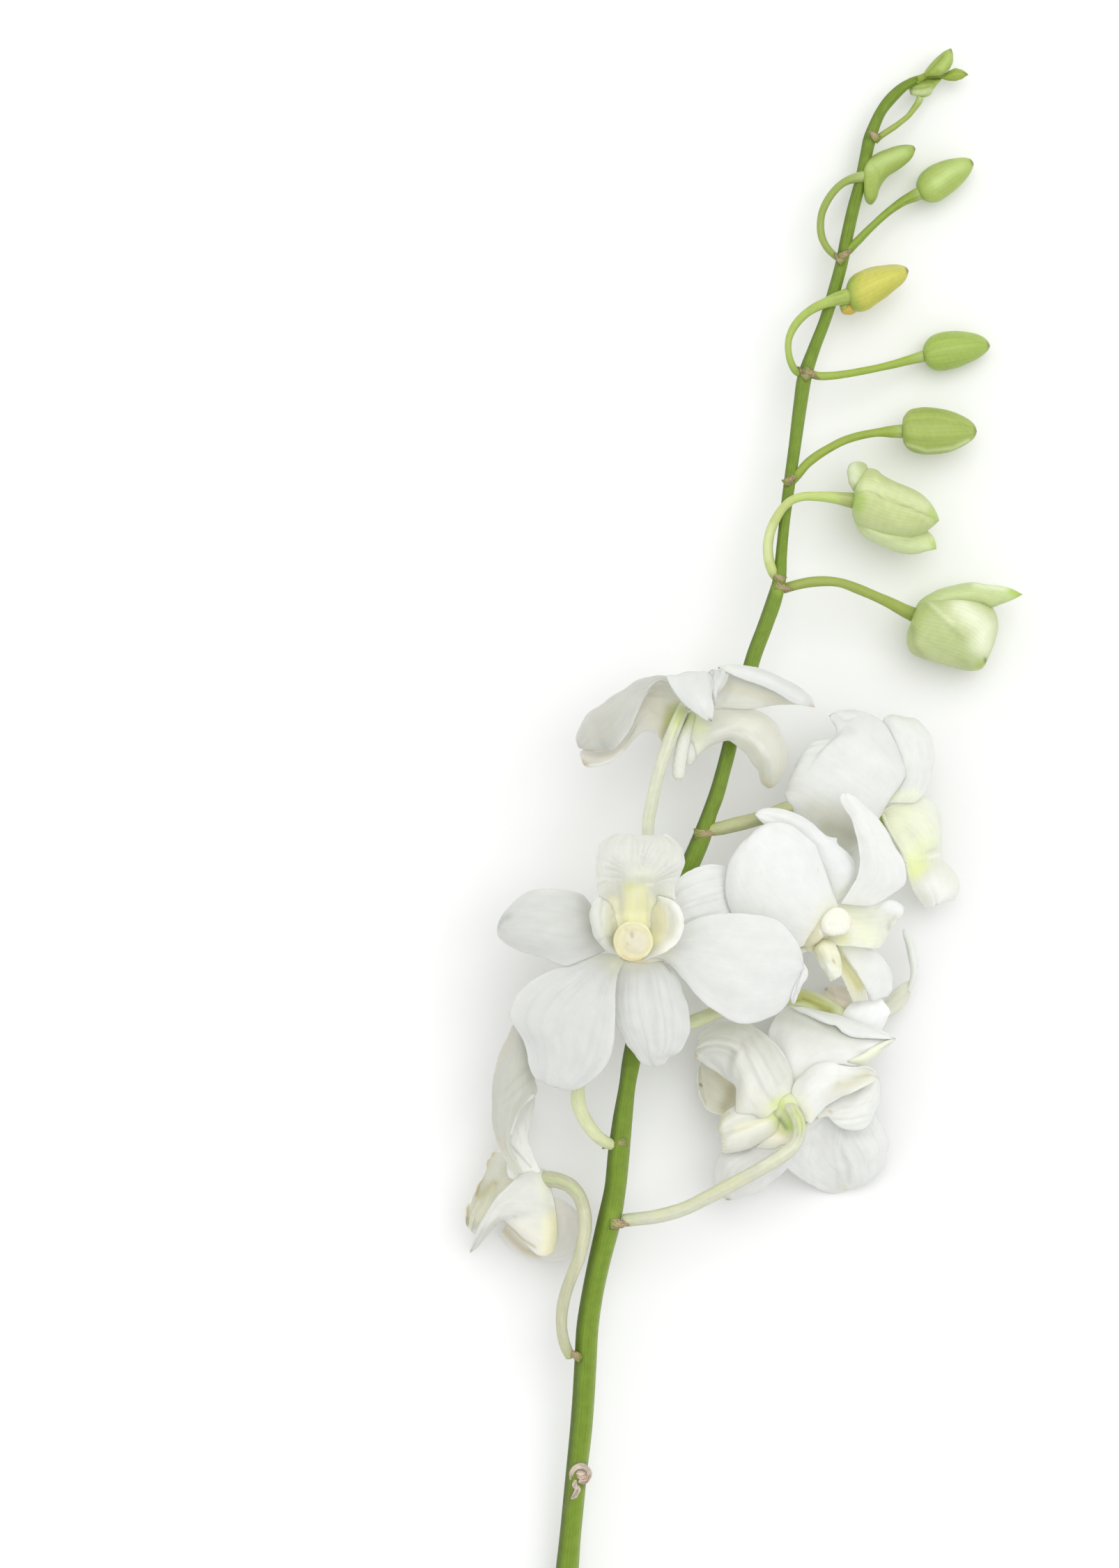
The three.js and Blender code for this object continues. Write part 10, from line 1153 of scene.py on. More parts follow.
FEATURES['bud_05.0'] = [('dark', "1196,424 1208,421 1220,419", 1.1, .3), ('dark', "1196,431 1208,428 1220,426", 1.1, .3), ('dark', "1198,436 1210,434 1222,432", 1.1, .3)]
FEATURES['bud_06.0'] = [('dark', "1300,290 1312,284 1322,279", 1.2, .3), ('tint', "1212,368 1230,349 1260,321 1290,297", 2, (.17, .28, .03), .6)]
FEATURES['bud_02.0'] = [('tint', "1140,717 1172,713 1200,716", 6, (.45, .60, .15), .6), ('tint', "1100,800 1100,775 1106,756", 6, (.70, .76, .45), .5), ('tint', "1207,712 1224,714", 5, (.50, .55, .25), .5), ('dark', "1205,709 1224,711", 1.3, .3), ('dark', "1205,717 1224,720", 1.3, .3)]
FEATURES['bud_01.1'] = [('ridge', "1328,859 1348,878 1370,897 1386,915", 4.5, .34), ('dark', "1326,864 1345,882 1366,901 1382,917", 4, .2), ('tint', "1332,863 1350,880 1368,895", 3.4, (.74, .79, .52), .5),
   ('tint', "1380,870 1412,900 1410,925", 18, (.84, .89, .70), .75), ('tint', "1312,905 1318,890 1330,872", 9, (.40, .48, .17), .5), ('tint', "1320,925 1340,940 1362,946", 12, (.62, .70, .36), .5), ('tint', "1404,955 1416,949", 6, (.40, .52, .12), .85), ('dark', "1414,946 1415,951", 2.6, .9),
   ('ridge', "1318,895 1350,915 1385,938 1405,950", 5, -.16), ('ridge', "1340,868 1380,885 1410,915 1414,940", 6, .16), ('dark', "1330,918 1360,938 1390,950", 2, .12), ('dark', "1310,900 1312,925 1325,944", 4, .25)]
FEATURES['bud_02.1'] = [('ridge', "1226,706 1250,707 1287,721 1304,728 1340,743", 2.2, -.45), ('ridge', "1228,711 1250,713 1286,728 1304,735 1336,748", 4, .3), ('dark', "1226,706 1250,707 1287,721 1304,728 1340,743", 1.6, .45), ('dark', "1250,690 1275,700 1300,712", 1.2, .15), ('dark', "1232,740 1262,752 1300,758", 1.2, .15),
   ('tint', "1232,698 1260,697 1290,706 1325,724", 11, (.78, .83, .56), .35), ('tint', "1230,738 1262,758 1300,764", 12, (.62, .70, .38), .35), ('tint', "1338,735 1348,748", 7, (.42, .56, .13), .75), ('tint', "1225,706 1236,716 1232,728", 8, (.36, .50, .10), .65)]
FEATURES['bud_03.1'] = [('dark', "1310,592 1345,590 1368,600 1390,612", 1.4, .28), ('dark', "1300,606 1340,600 1380,612", 1.2, .18), ('dark', "1300,630 1340,633 1380,627", 1.2, .15), ('tint', "1302,638 1330,647 1368,643 1390,632", 3, (.68, .76, .42), .6), ('dark', "1400,614 1401,623", 3, .6)]
FEATURES['bud_04.1'] = [('dark', "1340,487 1370,484 1400,488", 1.2, .25), ('dark', "1340,512 1370,509 1404,502", 1.2, .22), ('dark', "1340,522 1365,521 1392,513", 1.1, .15), ('dark', "1419,492 1420,500", 3, .6)]
FEATURES['bud_05.1'] = [('tint', "1222,400 1214,420 1224,440", 9, (.30, .42, .08), .7), ('dark', "1230,402 1260,392 1290,388", 1.3, .18), ('dark', "1232,424 1260,412 1290,400", 1.3, .14), ('tint', "1240,390 1270,383 1296,383", 4, (.58, .58, .24), .5), ('tint', "1302,384 1304,392", 2.6, (.13, .10, .03), .8)]
FEATURES['bud_06.1'] = [('dark', "1330,262 1355,246 1385,236", 1.4, .12), ('tint', "1345,262 1362,246 1380,238", 9, (.58, .70, .30), .5), ('tint', "1394,229 1397,236", 2.4, (.16, .13, .05), .8), ('dark', "1322,250 1340,237 1366,229", 2, .2)]
FEATURES['bud_07.1'] = [('tint', "1250,240 1270,228 1296,218", 8, (.52, .64, .26), .6), ('dark', "1252,236 1262,246 1262,258", 2, .14), ('tint', "1312,209 1314,215", 2.2, (.16, .13, .05), .8), ('dark', "1250,226 1275,214 1300,209", 2, .2), ('dark', "1250,292 1256,287", 2.4, .3)]
FEATURES['bud_08.1'] = [('tint', "1308,132 1322,134 1336,130", 5, (.58, .64, .38), .7), ('dark', "1306,122 1322,120 1340,118", 2.2, .45), ('dark', "1308,128 1322,127 1334,124", 1.4, .4), ('dark', "1307,134 1309,122", 1.6, .4)]
FEATURES['bud_09.0'] = [('dark', "1312,119 1330,115 1350,113", 2.2, .5)]
FEATURES['bud_09.1'] = [('tint', "1386,105 1390,107", 3, (.24, .16, .08), .8), ('dark', "1356,115 1372,117 1386,111", 1.6, .4)]
FEATURES['bud_10.1'] = [('ridge', "1330,106 1342,94 1352,82 1364,72", 2.4, .22), ('dark', "1332,104 1344,92 1354,80", 1.6, .35), ('tint', "1330,98 1342,85 1356,73", 2.2, (.24, .33, .08), .6), ('tint', "1352,98 1360,88 1364,78", 5, (.50, .62, .22), .5), ('dark', "1364,70 1367,76", 2, .5)]
chg('main_stem', tone=(.86, .82, .74))
# painted shade: the dark ring round the scar and the line below it stand for shade at the scar's raised rim
FEATURES['main_stem.0'] = [('tint', "818,2120 819,2108 827,2101 840,2101 848,2110 849,2121 842,2130 832,2131", 3.6, (.13, .16, .04), .8), ('tint', "822,2128 822,2142 818,2152 812,2162", 4.2, (.14, .17, .04), .7),
   ('dark', "1244,196 1254,198", 4, .5), ('dark', "1205,362 1216,366", 4, .5), ('dark', "1150,534 1160,536", 5, .35), ('dark', "1138,690 1130,692", 4, .3), ('tint', "1120,836 1112,842 1118,850", 6, (.30, .42, .06), .5), ('tint', "884,1756 880,1746 890,1760", 8, (.27, .42, .05), .4)]
VIS['main_stem'] = [dict(p) for p in PIECES['main_stem']] + [
 tb("823,2127,12.9,.45 820.5,2119,13.1,.6 822,2111,13.4,.7 828,2105.5,13.8,.75 836,2105,13.8,.78 842.5,2109,13.5,.75 845,2116.5,13.2,.72 842.5,2123,13.3,.66 837,2126,13.5,.6 831,2124,13.7,.5", c='br2'),
 bl("825.5,2115 829,2109.5 835,2108.5 840.5,2112 842,2118", "825.5,2115 828,2120 833,2123 839,2122.5 842,2118", "0,13.2,.3 .5,13.7,.75 1,13.2,.3", c='br2'),
 tb("826,2123,13.2,.5 825,2130,13.1,.62 828,2137,13.1,.6 825,2144,12.8,.62 820,2151,12.5,.52 815,2160,12,.22", c='br2'),
 tb("829,2132,13.2,.4 830,2138,13.0,.5 827,2145,12.8,.45 823,2152,12.4,.2", c='br2')]
for k in (13, 14, 15, 16): LOOK['main_stem.%d' % k] = dict(mat=1, tn=60, tm=20, bn=36, bm=32, lump=.12, ribs=4, rib=.06, bvein=.04, bveins=7, tone=(1.02, .96, .86), footk=.0, tipk=0)
# painted shade: the dark lines along the scar's curled top stand for the shade under the curl
FEATURES['main_stem.13'] = [('tint', "821,2120 822,2128", 3, (.34, .22, .14), .7), ('tint', "846,2118 842,2127 834,2128", 2.0, (.34, .18, .11), .8), ('dark', "831,2109 837,2109 841,2113", 1.4, .9), ('dark', "832,2102 842,2104", 1.6, .5)]
FEATURES['main_stem.14'] = [('tint', "828,2117 834,2119 841,2116", 1.3, (.36, .18, .11), .8), ('tint', "830,2111 836,2112", 1.2, (.42, .26, .18), .6)]
FEATURES['main_stem.15'] = [('tint', "816,2156 813,2161", 2.6, (.26, .15, .08), .8), ('dark', "829,2138 826,2144 822,2149", 1.2, .9), ('dark', "827,2127 824,2133", 1.2, .6)]
for k in (3, 4): FEATURES['bud_%02d.1' % k] = [tuple([f[0], f[1], f[2], f[3] * .5] + list(f[4:])) if f[0] == 'dark' and f[2] < 2 else f for f in FEATURES['bud_%02d.1' % k]]
chg('bud_05', seams=[(78, .02)]); FEATURES['bud_05.1'] = [f for f in FEATURES['bud_05.1'] if f[0] != 'dark'] + [('dark', "1232,402 1260,392 1290,388", 1.3, .08)]

# ---------------------------------------------------------------- last touches to the flowers
VIS['flower_3_lateral_sepals'][3] = bl("893,1377 902,1371 912,1370 926,1370 940,1372 950,1377", "893,1377 903,1382 914,1384 928,1383.5 940,1381 950,1377", "0,33.4,.4 .2,33.7,1.0 .5,33.8,1.3 .8,33.7,1.0 1,33.4,.4")
chg('flower_3_lateral_sepals.3', tone=(.99, .94, .76)); FEATURES['flower_3_lateral_sepals.3'] = [('tint', "896,1376 908,1379 926,1379", 4, (.70, .62, .36), .7)]
FEATURES['flower_3_lip.0'] = [tuple([f[0], f[1], f[2], f[3], f[4] * .62] + list(f[5:])) if f[0] == 'fan' else f for f in FEATURES['flower_3_lip.0']] + [('tint', "910,1320 909,1296 914,1278", 7, (.87, .87, .64), .55), ('tint', "886,1330 882,1312 884,1294", 5, (.84, .84, .66), .6), ('tint', "938,1330 940,1310 936,1292", 5, (.84, .83, .60), .6)]
FEATURES['flower_3_lip.1'] = [('tint', "880,1298 884,1318 889,1340", 6, (.84, .83, .60), .7), ('tint', "872,1300 870,1316 874,1336", 7, (.80, .80, .66), .5), ('ridge', "866,1292 862,1312 866,1334", 3, -.5), ('ridge', "852,1300 851,1318 856,1338", 3, .4), ('dark', "858,1350 868,1344 876,1346", 2, .15)]
# the olive tints inside the right side lobe are partly the throat's own yellow and partly painted shade in its hollow
FEATURES['flower_3_lip.2'] = [('tint', "930,1300 932,1320 930,1340 926,1360", 7, (.84, .82, .58), .85), ('tint', "942,1298 950,1314 950,1330 942,1346", 11, (.79, .76, .50), .8), ('tint', "960,1360 974,1346 979,1328 977,1310 968,1298", 8, (.80, .80, .74), .8),
   ('tint', "940,1290 956,1293", 6, (.80, .83, .70), .6), ('tint', "935,1374 950,1368 962,1360", 9, (.82, .81, .76), .8), ('ridge', "956,1296 964,1312 962,1332 952,1352", 4, -.4), ('ridge', "972,1306 976,1326 966,1350", 3, .3)]
# painted shade: the dark line in the green hollow is the shade in its slit
FEATURES['flower_2_lateral_sepals.3'] = [f for f in FEATURES['flower_2_lateral_sepals.3'] if '1131,1621' not in f[1]] + [('tint', "1120,1606 1124,1611 1128,1617", 3.0, (.17, .28, .03), .8), ('dark', "1121,1607 1125,1612 1129,1618", 1.6, .7), ('tint', "1106,1626 1116,1634 1130,1640", 8, (.80, .77, .62), .8), ('tint', "1114,1574 1128,1572 1144,1576", 5, (.76, .79, .56), .7)]
VIS['flower_2_lateral_sepals'][3] = rw("1108,1572,20.0 1122,1568,20.2 1134,1567,20.2 1149,1571,20.0", "1105,1584,21.8 1119,1581,23.6 1133,1579,24.2 1151,1583,22.2", "1104,1597,21.8 1119,1596,23 1134,1594,24 1153,1598,22.4", "1102,1610,21.6 1119,1609,20.6 1135,1606,22.6 1154,1610,21.4",
 "1100,1622,21.6 1119,1621,20.6 1136,1619,21.6 1153,1622,20.6", "1096,1635,21.0 1114,1635,21.4 1132,1633,21.2 1149,1634,19.8", "1084,1646,18.6 1106,1649,19.6 1126,1645,19.2 1142,1642,18", c='w')
scaled('flower_2_lateral_sepals.0', ('dark', 'ridge'), 1.0, 1.35)
FEATURES['flower_2_lateral_sepals.1'] = FEATURES.get('flower_2_lateral_sepals.1', []) + [('tint', "1020,1560 1030,1580 1036,1596", 14, (.68, .67, .56), .45)]
VIS['flower_6_column'][1] = bl("1177,1330 1180,1318 1188,1308 1199,1302 1210,1304 1219,1313 1223,1325", "1177,1330 1181,1338 1190,1343 1201,1343 1211,1340 1219,1334 1223,1325", "0,32.6,.4 .2,33.4,1.2 .5,33.8,1.6 .8,33.4,1.2 1,32.6,.4", c='c')
LOOK['flower_6_column.1'] = dict(bvein=.01, bveins=9, lump=.10, footk=0, tipk=0, tone=(1.06, 1.06, 1.02))
# painted shade: the dark line along the lower edge of the column cap stands for its shadow
FEATURES['flower_6_column.1'] = [('tint', "1219,1321 1222,1328", 2.2, (.76, .62, .52), .5), ('tint', "1178,1328 1184,1318", 5, (.84, .82, .66), .5), ('dark', "1184,1341 1196,1344 1208,1342", 2, .4), ('tint', "1196,1310 1210,1312 1218,1320", 6, (.86, .84, .68), .6), ('ridge', "1186,1330 1198,1328 1212,1330", 5, -.25)]
FEATURES['flower_6_lip.1'] = [('tint', "1176,1356 1186,1362 1192,1370", 9, (.85, .84, .66), .6), ('tint', "1195,1377 1197,1381", 1.6, (.42, .36, .20), .7), ('ridge', "1174,1356 1184,1376 1194,1398", 3, .35), ('ridge', "1190,1356 1194,1374 1200,1392", 3, -.4), ('tint', "1184,1386 1192,1394 1200,1400", 9, (.83, .86, .78), .75),
   ('dark', "1180,1362 1188,1380", 1.8, .18), ('dark', "1186,1350 1196,1352", 3, .2), ('ridge', "1200,1364 1204,1376 1204,1388", 2.4, .3), ('tint', "1192,1403 1200,1403", 2.2, (.66, .62, .48), .4)]
FEATURES['flower_6_lip.0'] = FEATURES['flower_6_lip.0'] + [('tint', "1204,1304 1214,1318 1226,1338", 10, (.88, .88, .74), .6)]
# painted light: tones above 1 brighten flower 4's lateral sepal, which sits deep in shadow, and petal 1
chg('flower_4_lateral_sepals.0', tone=(1.24, 1.17, 1.16), foot=(.78, .70, .60)); chg('flower_4_petal_1', tone=(1.12, 1.12, 1.12))
# painted shade: the grey tint and dark streaks inside the folded petal stand for shade
FEATURES['flower_5_petal_1'] = [f for f in FEATURES['flower_5_petal_1'] if not (f[0] == 'ridge' or f[1].startswith('908,1004') or f[1].startswith('939,978'))] + [('tint', "846,1060 866,1048 884,1024", 12, (.50, .50, .45), .5), ('dark', "858,1040 862,1060 868,1076", 3, .22), ('dark', "874,1030 876,1050 874,1072", 3, .18)]
chg('flower_5_petal_1', tone=(.68, .68, .65)); chg('flower_5_lateral_sepals.1', tone=(.84, .84, .76)); chg('flower_1_dorsal_sepal', tone=(.82, .81, .76))
VIS['flower_1_lateral_sepals'][0] = sh("782,1678 771,1678 758,1681 748,1684 738,1693 724,1708 709,1724 698,1740 689,1758 681,1778 675,1797", "798,1800 787,1802 776,1800 766,1792 750,1780 737,1766 723,1752 711,1759 701,1770 693,1780 685,1790 675,1797",
    "0,16.2,18.6,15.6 .06,17.8,20.2,17.2 .2,18.8,21.6,19 .5,18,20.4,17.6 .8,13.6,15.6,13 .9,6.6,7.6,6.6 1,3,3,3", M="797,1742 785,1736 770,1732 756,1731 742,1729 725,1732 713,1741 702,1753 692,1766 684,1782 675,1797")
VIS['flower_1_lateral_sepals'][2] = bl("784,1700 788,1722 790,1745 789,1768 787,1790 790,1801", "784,1700 791,1718 797,1740 800,1765 799,1788 790,1801", "0,14.6,.4 .3,15.6,1.6 .7,15.6,1.9 .9,15.0,1.3 1,14.8,.4", c='w')
FEATURES['flower_1_lateral_sepals.2'] = [('tint', "794,1760 796,1780 790,1796", 7, (.84, .81, .54), .7)]
LOOK['flower_1_lateral_sepals.2'] = dict(bvein=.01, bveins=8, lump=.04, footk=0, tipk=0, tone=(1.0, 1.0, .94))
FEATURES['flower_1_lateral_sepals.0'] = FEATURES.get('flower_1_lateral_sepals.0', []) + [('tint', "796,1740 797,1770 794,1796", 9, (.86, .83, .56), .6), ('tint', "782,1752 784,1776 780,1792", 9, (.86, .84, .62), .5), ('tint', "784,1690 790,1708 794,1726", 7, (.86, .87, .82), .7)]
# ---------------------------------------------------------------- flower touches after the last comparison
VIS['flower_7_petal_1'] = [rw(
 "1269,1156,21.6 1268,1161,22 1266,1166,22.4 1263,1171,22.4 1259,1176,21.8", "1282,1136,22.6 1274,1150,24 1264,1166,25 1254,1182,24.6 1246,1195,22.6", "1300,1112,22.2 1286,1128,24.4 1266,1150,26.4 1247,1180,26.4 1232,1214,23",
 "1294,1090,21.8 1276,1104,24.6 1250,1130,27.2 1230,1168,27.6 1214,1226,23.4", "1284,1064,21 1260,1082,24.6 1230,1112,27.8 1210,1156,28.2 1194,1218,24", "1264,1034,19.8 1239,1060,24 1211,1096,27.8 1192,1142,28.2 1176,1200,24.6",
 "1230,1020,19.4 1224,1048,22.6 1197,1088,27 1176,1134,27.8 1162,1187,24.6", "1192,1027,19 1212,1045,21.4 1183,1080,26.2 1162,1126,27 1151,1176,24.6", "1206,1056,20.8 1188,1068,23.6 1167,1092,26 1152,1124,26.2 1141,1168,24.2",
 "1172,1063.5,21.8 1160,1075,23.6 1148,1094,24.8 1138,1122,24.8 1132,1157,23.8", "1151,1083,22.6 1143,1097,23 1135.5,1113,23.2 1130,1129,23.2 1127.5,1143,23", c='w')]
chg('flower_7_petal_1', ruffle=.08, rag=.03)
chg('flower_7_pedicel', tone=(.70, .69, .60)); FEATURES['flower_7_pedicel'] = FEATURES.get('flower_7_pedicel', []) + [('tint', "1246,1168 1256,1168 1264,1170", 12, (.80, .84, .58), 1)]
VIS['flower_3_lateral_sepals'][3] = bl("888,1376 898,1370 912,1368 928,1368 946,1370 962,1376", "888,1376 900,1382 914,1384.5 930,1384 946,1382 962,1376", "0,33.2,.3 .2,33.6,.9 .5,33.7,1.3 .8,33.6,.9 1,33.2,.3")
chg('flower_3_lateral_sepals.3', tone=(.98, .95, .82))
chg('flower_3_lip.1', ruffle=.42, rfreq=7, rag=.22, rimk=.12); chg('flower_3_lip.2', ruffle=.42, rfreq=7, rag=.22, rimk=.12)
# painted shade: the soft dark line in the green hollow is the shade in its slit
FEATURES['flower_2_lateral_sepals.3'] = [f for f in FEATURES['flower_2_lateral_sepals.3'] if not f[1].startswith(('1120,1606', '1121,1607'))] + [('tint', "1119,1605 1124,1611 1129,1619", 4.4, (.26, .37, .08), .6), ('dark', "1120,1606 1124,1611 1128,1617", 3, .22)]
# painted light: the tone above 1 brightens flower 4's lateral sepal, which lies in shadow
chg('flower_6_column.1', tone=(1.10, 1.12, 1.15)); chg('flower_4_lateral_sepals.0', tone=(1.2, 1.17, 1.4), foot=(.76, .73, .68))
VIS['flower_1_lateral_sepals'][0] = sh("782,1678 771,1678 758,1681 748,1684 738,1693 724,1708 709,1724 698,1740 689,1758 681,1778 675,1797", "797,1788 793,1797 784,1802.5 772,1801 752,1782 737,1766 723,1752 711,1759 701,1770 693,1780 685,1790 675,1797",
    "0,16.2,18.6,15.6 .06,17.8,20.2,17.2 .2,18.8,21.6,19 .5,18,20.4,17.6 .8,13.6,15.6,13 .9,6.6,7.6,6.6 1,3,3,3", M="797,1738 785,1735 770,1732 756,1731 742,1729 725,1732 713,1741 702,1753 692,1766 684,1782 675,1797")
VIS['flower_1_lateral_sepals'][2] = bl("784,1700 788,1722 790,1745 789,1766 787,1784 788,1796", "784,1700 791,1718 797,1740 800,1762 798,1783 788,1796", "0,14.6,.4 .3,15.6,1.6 .7,15.6,1.9 .9,15.0,1.3 1,14.8,.4", c='w')
# painted shade: the tone below 1 darkens flower 1's petal 1, which lies in shade
chg('flower_1_petal_1', tone=(.70, .70, .65)); chg('flower_1_dorsal_sepal', tone=(.98, .98, .96))
# painted shade: soft dark streaks inside the folded petal
FEATURES['flower_5_petal_1'] = [f for f in FEATURES['flower_5_petal_1'] if not f[1].startswith(('858,1040', '874,1030'))] + [('dark', "858,1036 862,1058 868,1076", 9, .10), ('dark', "876,1030 878,1050 876,1072", 8, .08)]
for k in (11, 12): chg('main_stem.%d' % k, tone=(.78, .74, .68))
chg('flower_3_lip.1', ruffle=.2, rfreq=4, rag=.12); chg('flower_3_lip.2', ruffle=.2, rfreq=4, rag=.12)
# painted light: the tone above 1 brightens flower 4's lateral sepal, which lies in shadow
chg('flower_6_column.1', lump=.03, bvein=0, tone=(1.10, 1.14, 1.25)); chg('flower_4_lateral_sepals.0', tone=(1.26, 1.24, 1.14), foot=(.74, .69, .58))
chg('flower_5_dorsal_sepal.0', tone=(.84, .84, .82)); chg('flower_5_dorsal_sepal.1', tone=(.84, .84, .82))
stalk('flower_6_pedicel', "984,1250,23.6,1.1 998,1259,24.6,1.2 1018,1267,25.4,1.35 1040,1280,26,1.4 1068,1300,26.6,1.4 1100,1322,27,1.5 1130,1336,27.4,1.6 1152,1342,28,1.8 1170,1342,29,1.9")
stalk('flower_7_pedicel', "1018,1191,25,1.3 1032,1189,25.3,1.5 1052,1184,25.3,1.6 1080,1177,24.8,1.6 1104,1170,24.2,1.6 1130,1160,23.2,1.6 1165,1158,21.8,1.6 1205,1162,21,1.8 1232,1166,21,1.8 1248,1167,21.4,1.5")
for k in range(1, 13):
    q = VIS['main_stem'][k]; a, c, e = q['L'][0], q['R'][0], q['L'][-1]
    FEATURES['main_stem.%d' % k] = FEATURES.get('main_stem.%d' % k, []) + [('dark', '%g,%g %g,%g' % (a[0], a[1], c[0], c[1]), 1.8, .7), ('tint', '%g,%g %g,%g' % (e[0], e[1], e[0] * .9 + a[0] * .1, e[1] * .9 + a[1] * .1), 3, (.34, .21, .10), .6)]
chg('main_stem.12', tone=(.50, .40, .30))

# ---------------------------------------------------------------- materials
def tissue(name, pitch, line, bump, rough, sss, radius, cell=.04, mott=.05, line_col=None, spec=.3):
    """Plant tissue: painted tint, lengthwise veins from the lanes map, fine cells, light passing under the skin."""
    m = bpy.data.materials.new(name); m.use_nodes = True; t = m.node_tree; N = t.nodes; L = t.links
    b = N["Principled BSDF"]
    def node(kind, **k):
        o = N.new(kind)
        for a, v in k.items():
            if a.startswith('_'): o.inputs[int(a[1:])].default_value = v
            else: setattr(o, a, v)
        return o
    def math_(op, a, c=None, **k):
        o = node("ShaderNodeMath", operation=op)
        for i, x in enumerate((a, c)):
            if x is None: continue
            if isinstance(x, (int, float)): o.inputs[i].default_value = x
            else: L.new(x, o.inputs[i])
        o.use_clamp = k.get('clamp', False)
        return o.outputs[0]
    tint = node("ShaderNodeAttribute", attribute_name="tint")
    uv = node("ShaderNodeUVMap", uv_map="lanes")
    co = node("ShaderNodeTexCoord")
    wob = node("ShaderNodeTexNoise", _2=.12, _3=2.0, _4=.5); L.new(uv.outputs[0], wob.inputs[0])
    sep = node("ShaderNodeSeparateXYZ"); L.new(uv.outputs[0], sep.inputs[0])
    x = math_('ADD', sep.outputs[0], math_('MULTIPLY', wob.outputs[0], pitch * 1.3))
    wave = math_('SINE', math_('MULTIPLY', x, 6.2832 / pitch))
    fine = math_('SINE', math_('MULTIPLY', x, 6.2832 / pitch * 2.7))
    vein = math_('POWER', math_('MULTIPLY', math_('ADD', wave, 1.0), .5), 5.0)
    vein2 = math_('POWER', math_('MULTIPLY', math_('ADD', fine, 1.0), .5), 3.0)
    patch = node("ShaderNodeTexNoise", _2=.35, _3=3.0, _4=.55); L.new(uv.outputs[0], patch.inputs[0])
    amount = math_('MULTIPLY', math_('ADD', vein, math_('MULTIPLY', vein2, .4)), math_('MULTIPLY', patch.outputs[0], 1.5))
    mot = node("ShaderNodeTexNoise", _2=420.0, _3=4.0, _4=.6); L.new(co.outputs['Object'], mot.inputs[0])
    ramp = node("ShaderNodeMapRange", _1=.3, _2=.7, _3=1 - mott, _4=1 + mott * .6); L.new(mot.outputs[0], ramp.inputs[0])
    mul = node("ShaderNodeMix", data_type='RGBA', blend_type='MULTIPLY'); mul.inputs[0].default_value = 1.0
    L.new(tint.outputs['Color'], mul.inputs[6])
    comb = node("ShaderNodeCombineColor")
    for i in range(3): L.new(ramp.outputs[0], comb.inputs[i])
    L.new(comb.outputs[0], mul.inputs[7])
    veins = node("ShaderNodeMix", data_type='RGBA', blend_type='MULTIPLY')
    L.new(math_('MULTIPLY', amount, line, clamp=True), veins.inputs[0]); L.new(mul.outputs[2], veins.inputs[6])
    veins.inputs[7].default_value = (*(line_col or (.72, .76, .62)), 1)
    L.new(veins.outputs[2], b.inputs['Base Color'])
    cells = node("ShaderNodeTexVoronoi", _2=5200.0, feature='SMOOTH_F1'); L.new(co.outputs['Object'], cells.inputs[0])
    dim = node("ShaderNodeTexNoise", _2=1500.0, _3=3.0, _4=.6); L.new(co.outputs['Object'], dim.inputs[0])
    h = math_('ADD', math_('MULTIPLY', amount, -1.0), math_('ADD', math_('MULTIPLY', cells.outputs[0], cell * 4), math_('MULTIPLY', dim.outputs[0], cell * 12)))
    bp = node("ShaderNodeBump"); bp.inputs['Strength'].default_value = 1.0; bp.inputs['Distance'].default_value = bump * 1e-3
    L.new(h, bp.inputs['Height']); L.new(bp.outputs[0], b.inputs['Normal'])
    rr = node("ShaderNodeMapRange", _1=.3, _2=.7, _3=rough - .08, _4=rough + .1); L.new(dim.outputs[0], rr.inputs[0])
    L.new(rr.outputs[0], b.inputs['Roughness'])
    b.inputs['Subsurface Weight'].default_value = sss
    b.inputs['Subsurface Radius'].default_value = radius
    b.inputs['Subsurface Scale'].default_value = .001
    b.inputs['Specular IOR Level'].default_value = spec
    return m

MAT = dict(
    tepal=tissue('orchid_tepal', 1.7, .035, .015, .6, .35, (1.0, 1.0, .85), mott=.025, spec=.15),
    lip=tissue('orchid_lip', 1.3, .06, .02, .6, .35, (1.0, 1.0, .7), mott=.025, spec=.15),
    cream=tissue('orchid_cream', .9, .05, .015, .42, .3, (.8, .8, .35), line_col=(.75, .78, .5)),
    stalk=tissue('orchid_pedicel', 1.1, .15, .02, .42, .2, (.5, .7, .2), line_col=(.62, .72, .4)),
    bud=tissue('orchid_bud', 1.1, .22, .015, .42, .2, (.5, .8, .2), line_col=(.62, .76, .42), mott=.05),
    stem=tissue('orchid_stem', .8, .35, .05, .42, .1, (.3, .5, .1), line_col=(.6, .72, .4), mott=.12),
    bract=tissue('dry_bract', .5, .6, .08, .75, .05, (.3, .2, .1), line_col=(.45, .35, .25), mott=.2, cell=.08, spec=.15),
)

# ---------------------------------------------------------------- the pieces
def even(n, k=.45):
    s = np.linspace(0, 1, n)
    return (1 - k) * s + k * (.5 - .5 * np.cos(math.pi * s))

SEED = 3
def look_of(node, i):
    d = dict(DEF)
    for key, val in LOOK.items():
        if node == key or node.endswith(key) or '%s.%d' % (node, i) == key:
            d.update(val)
    return d

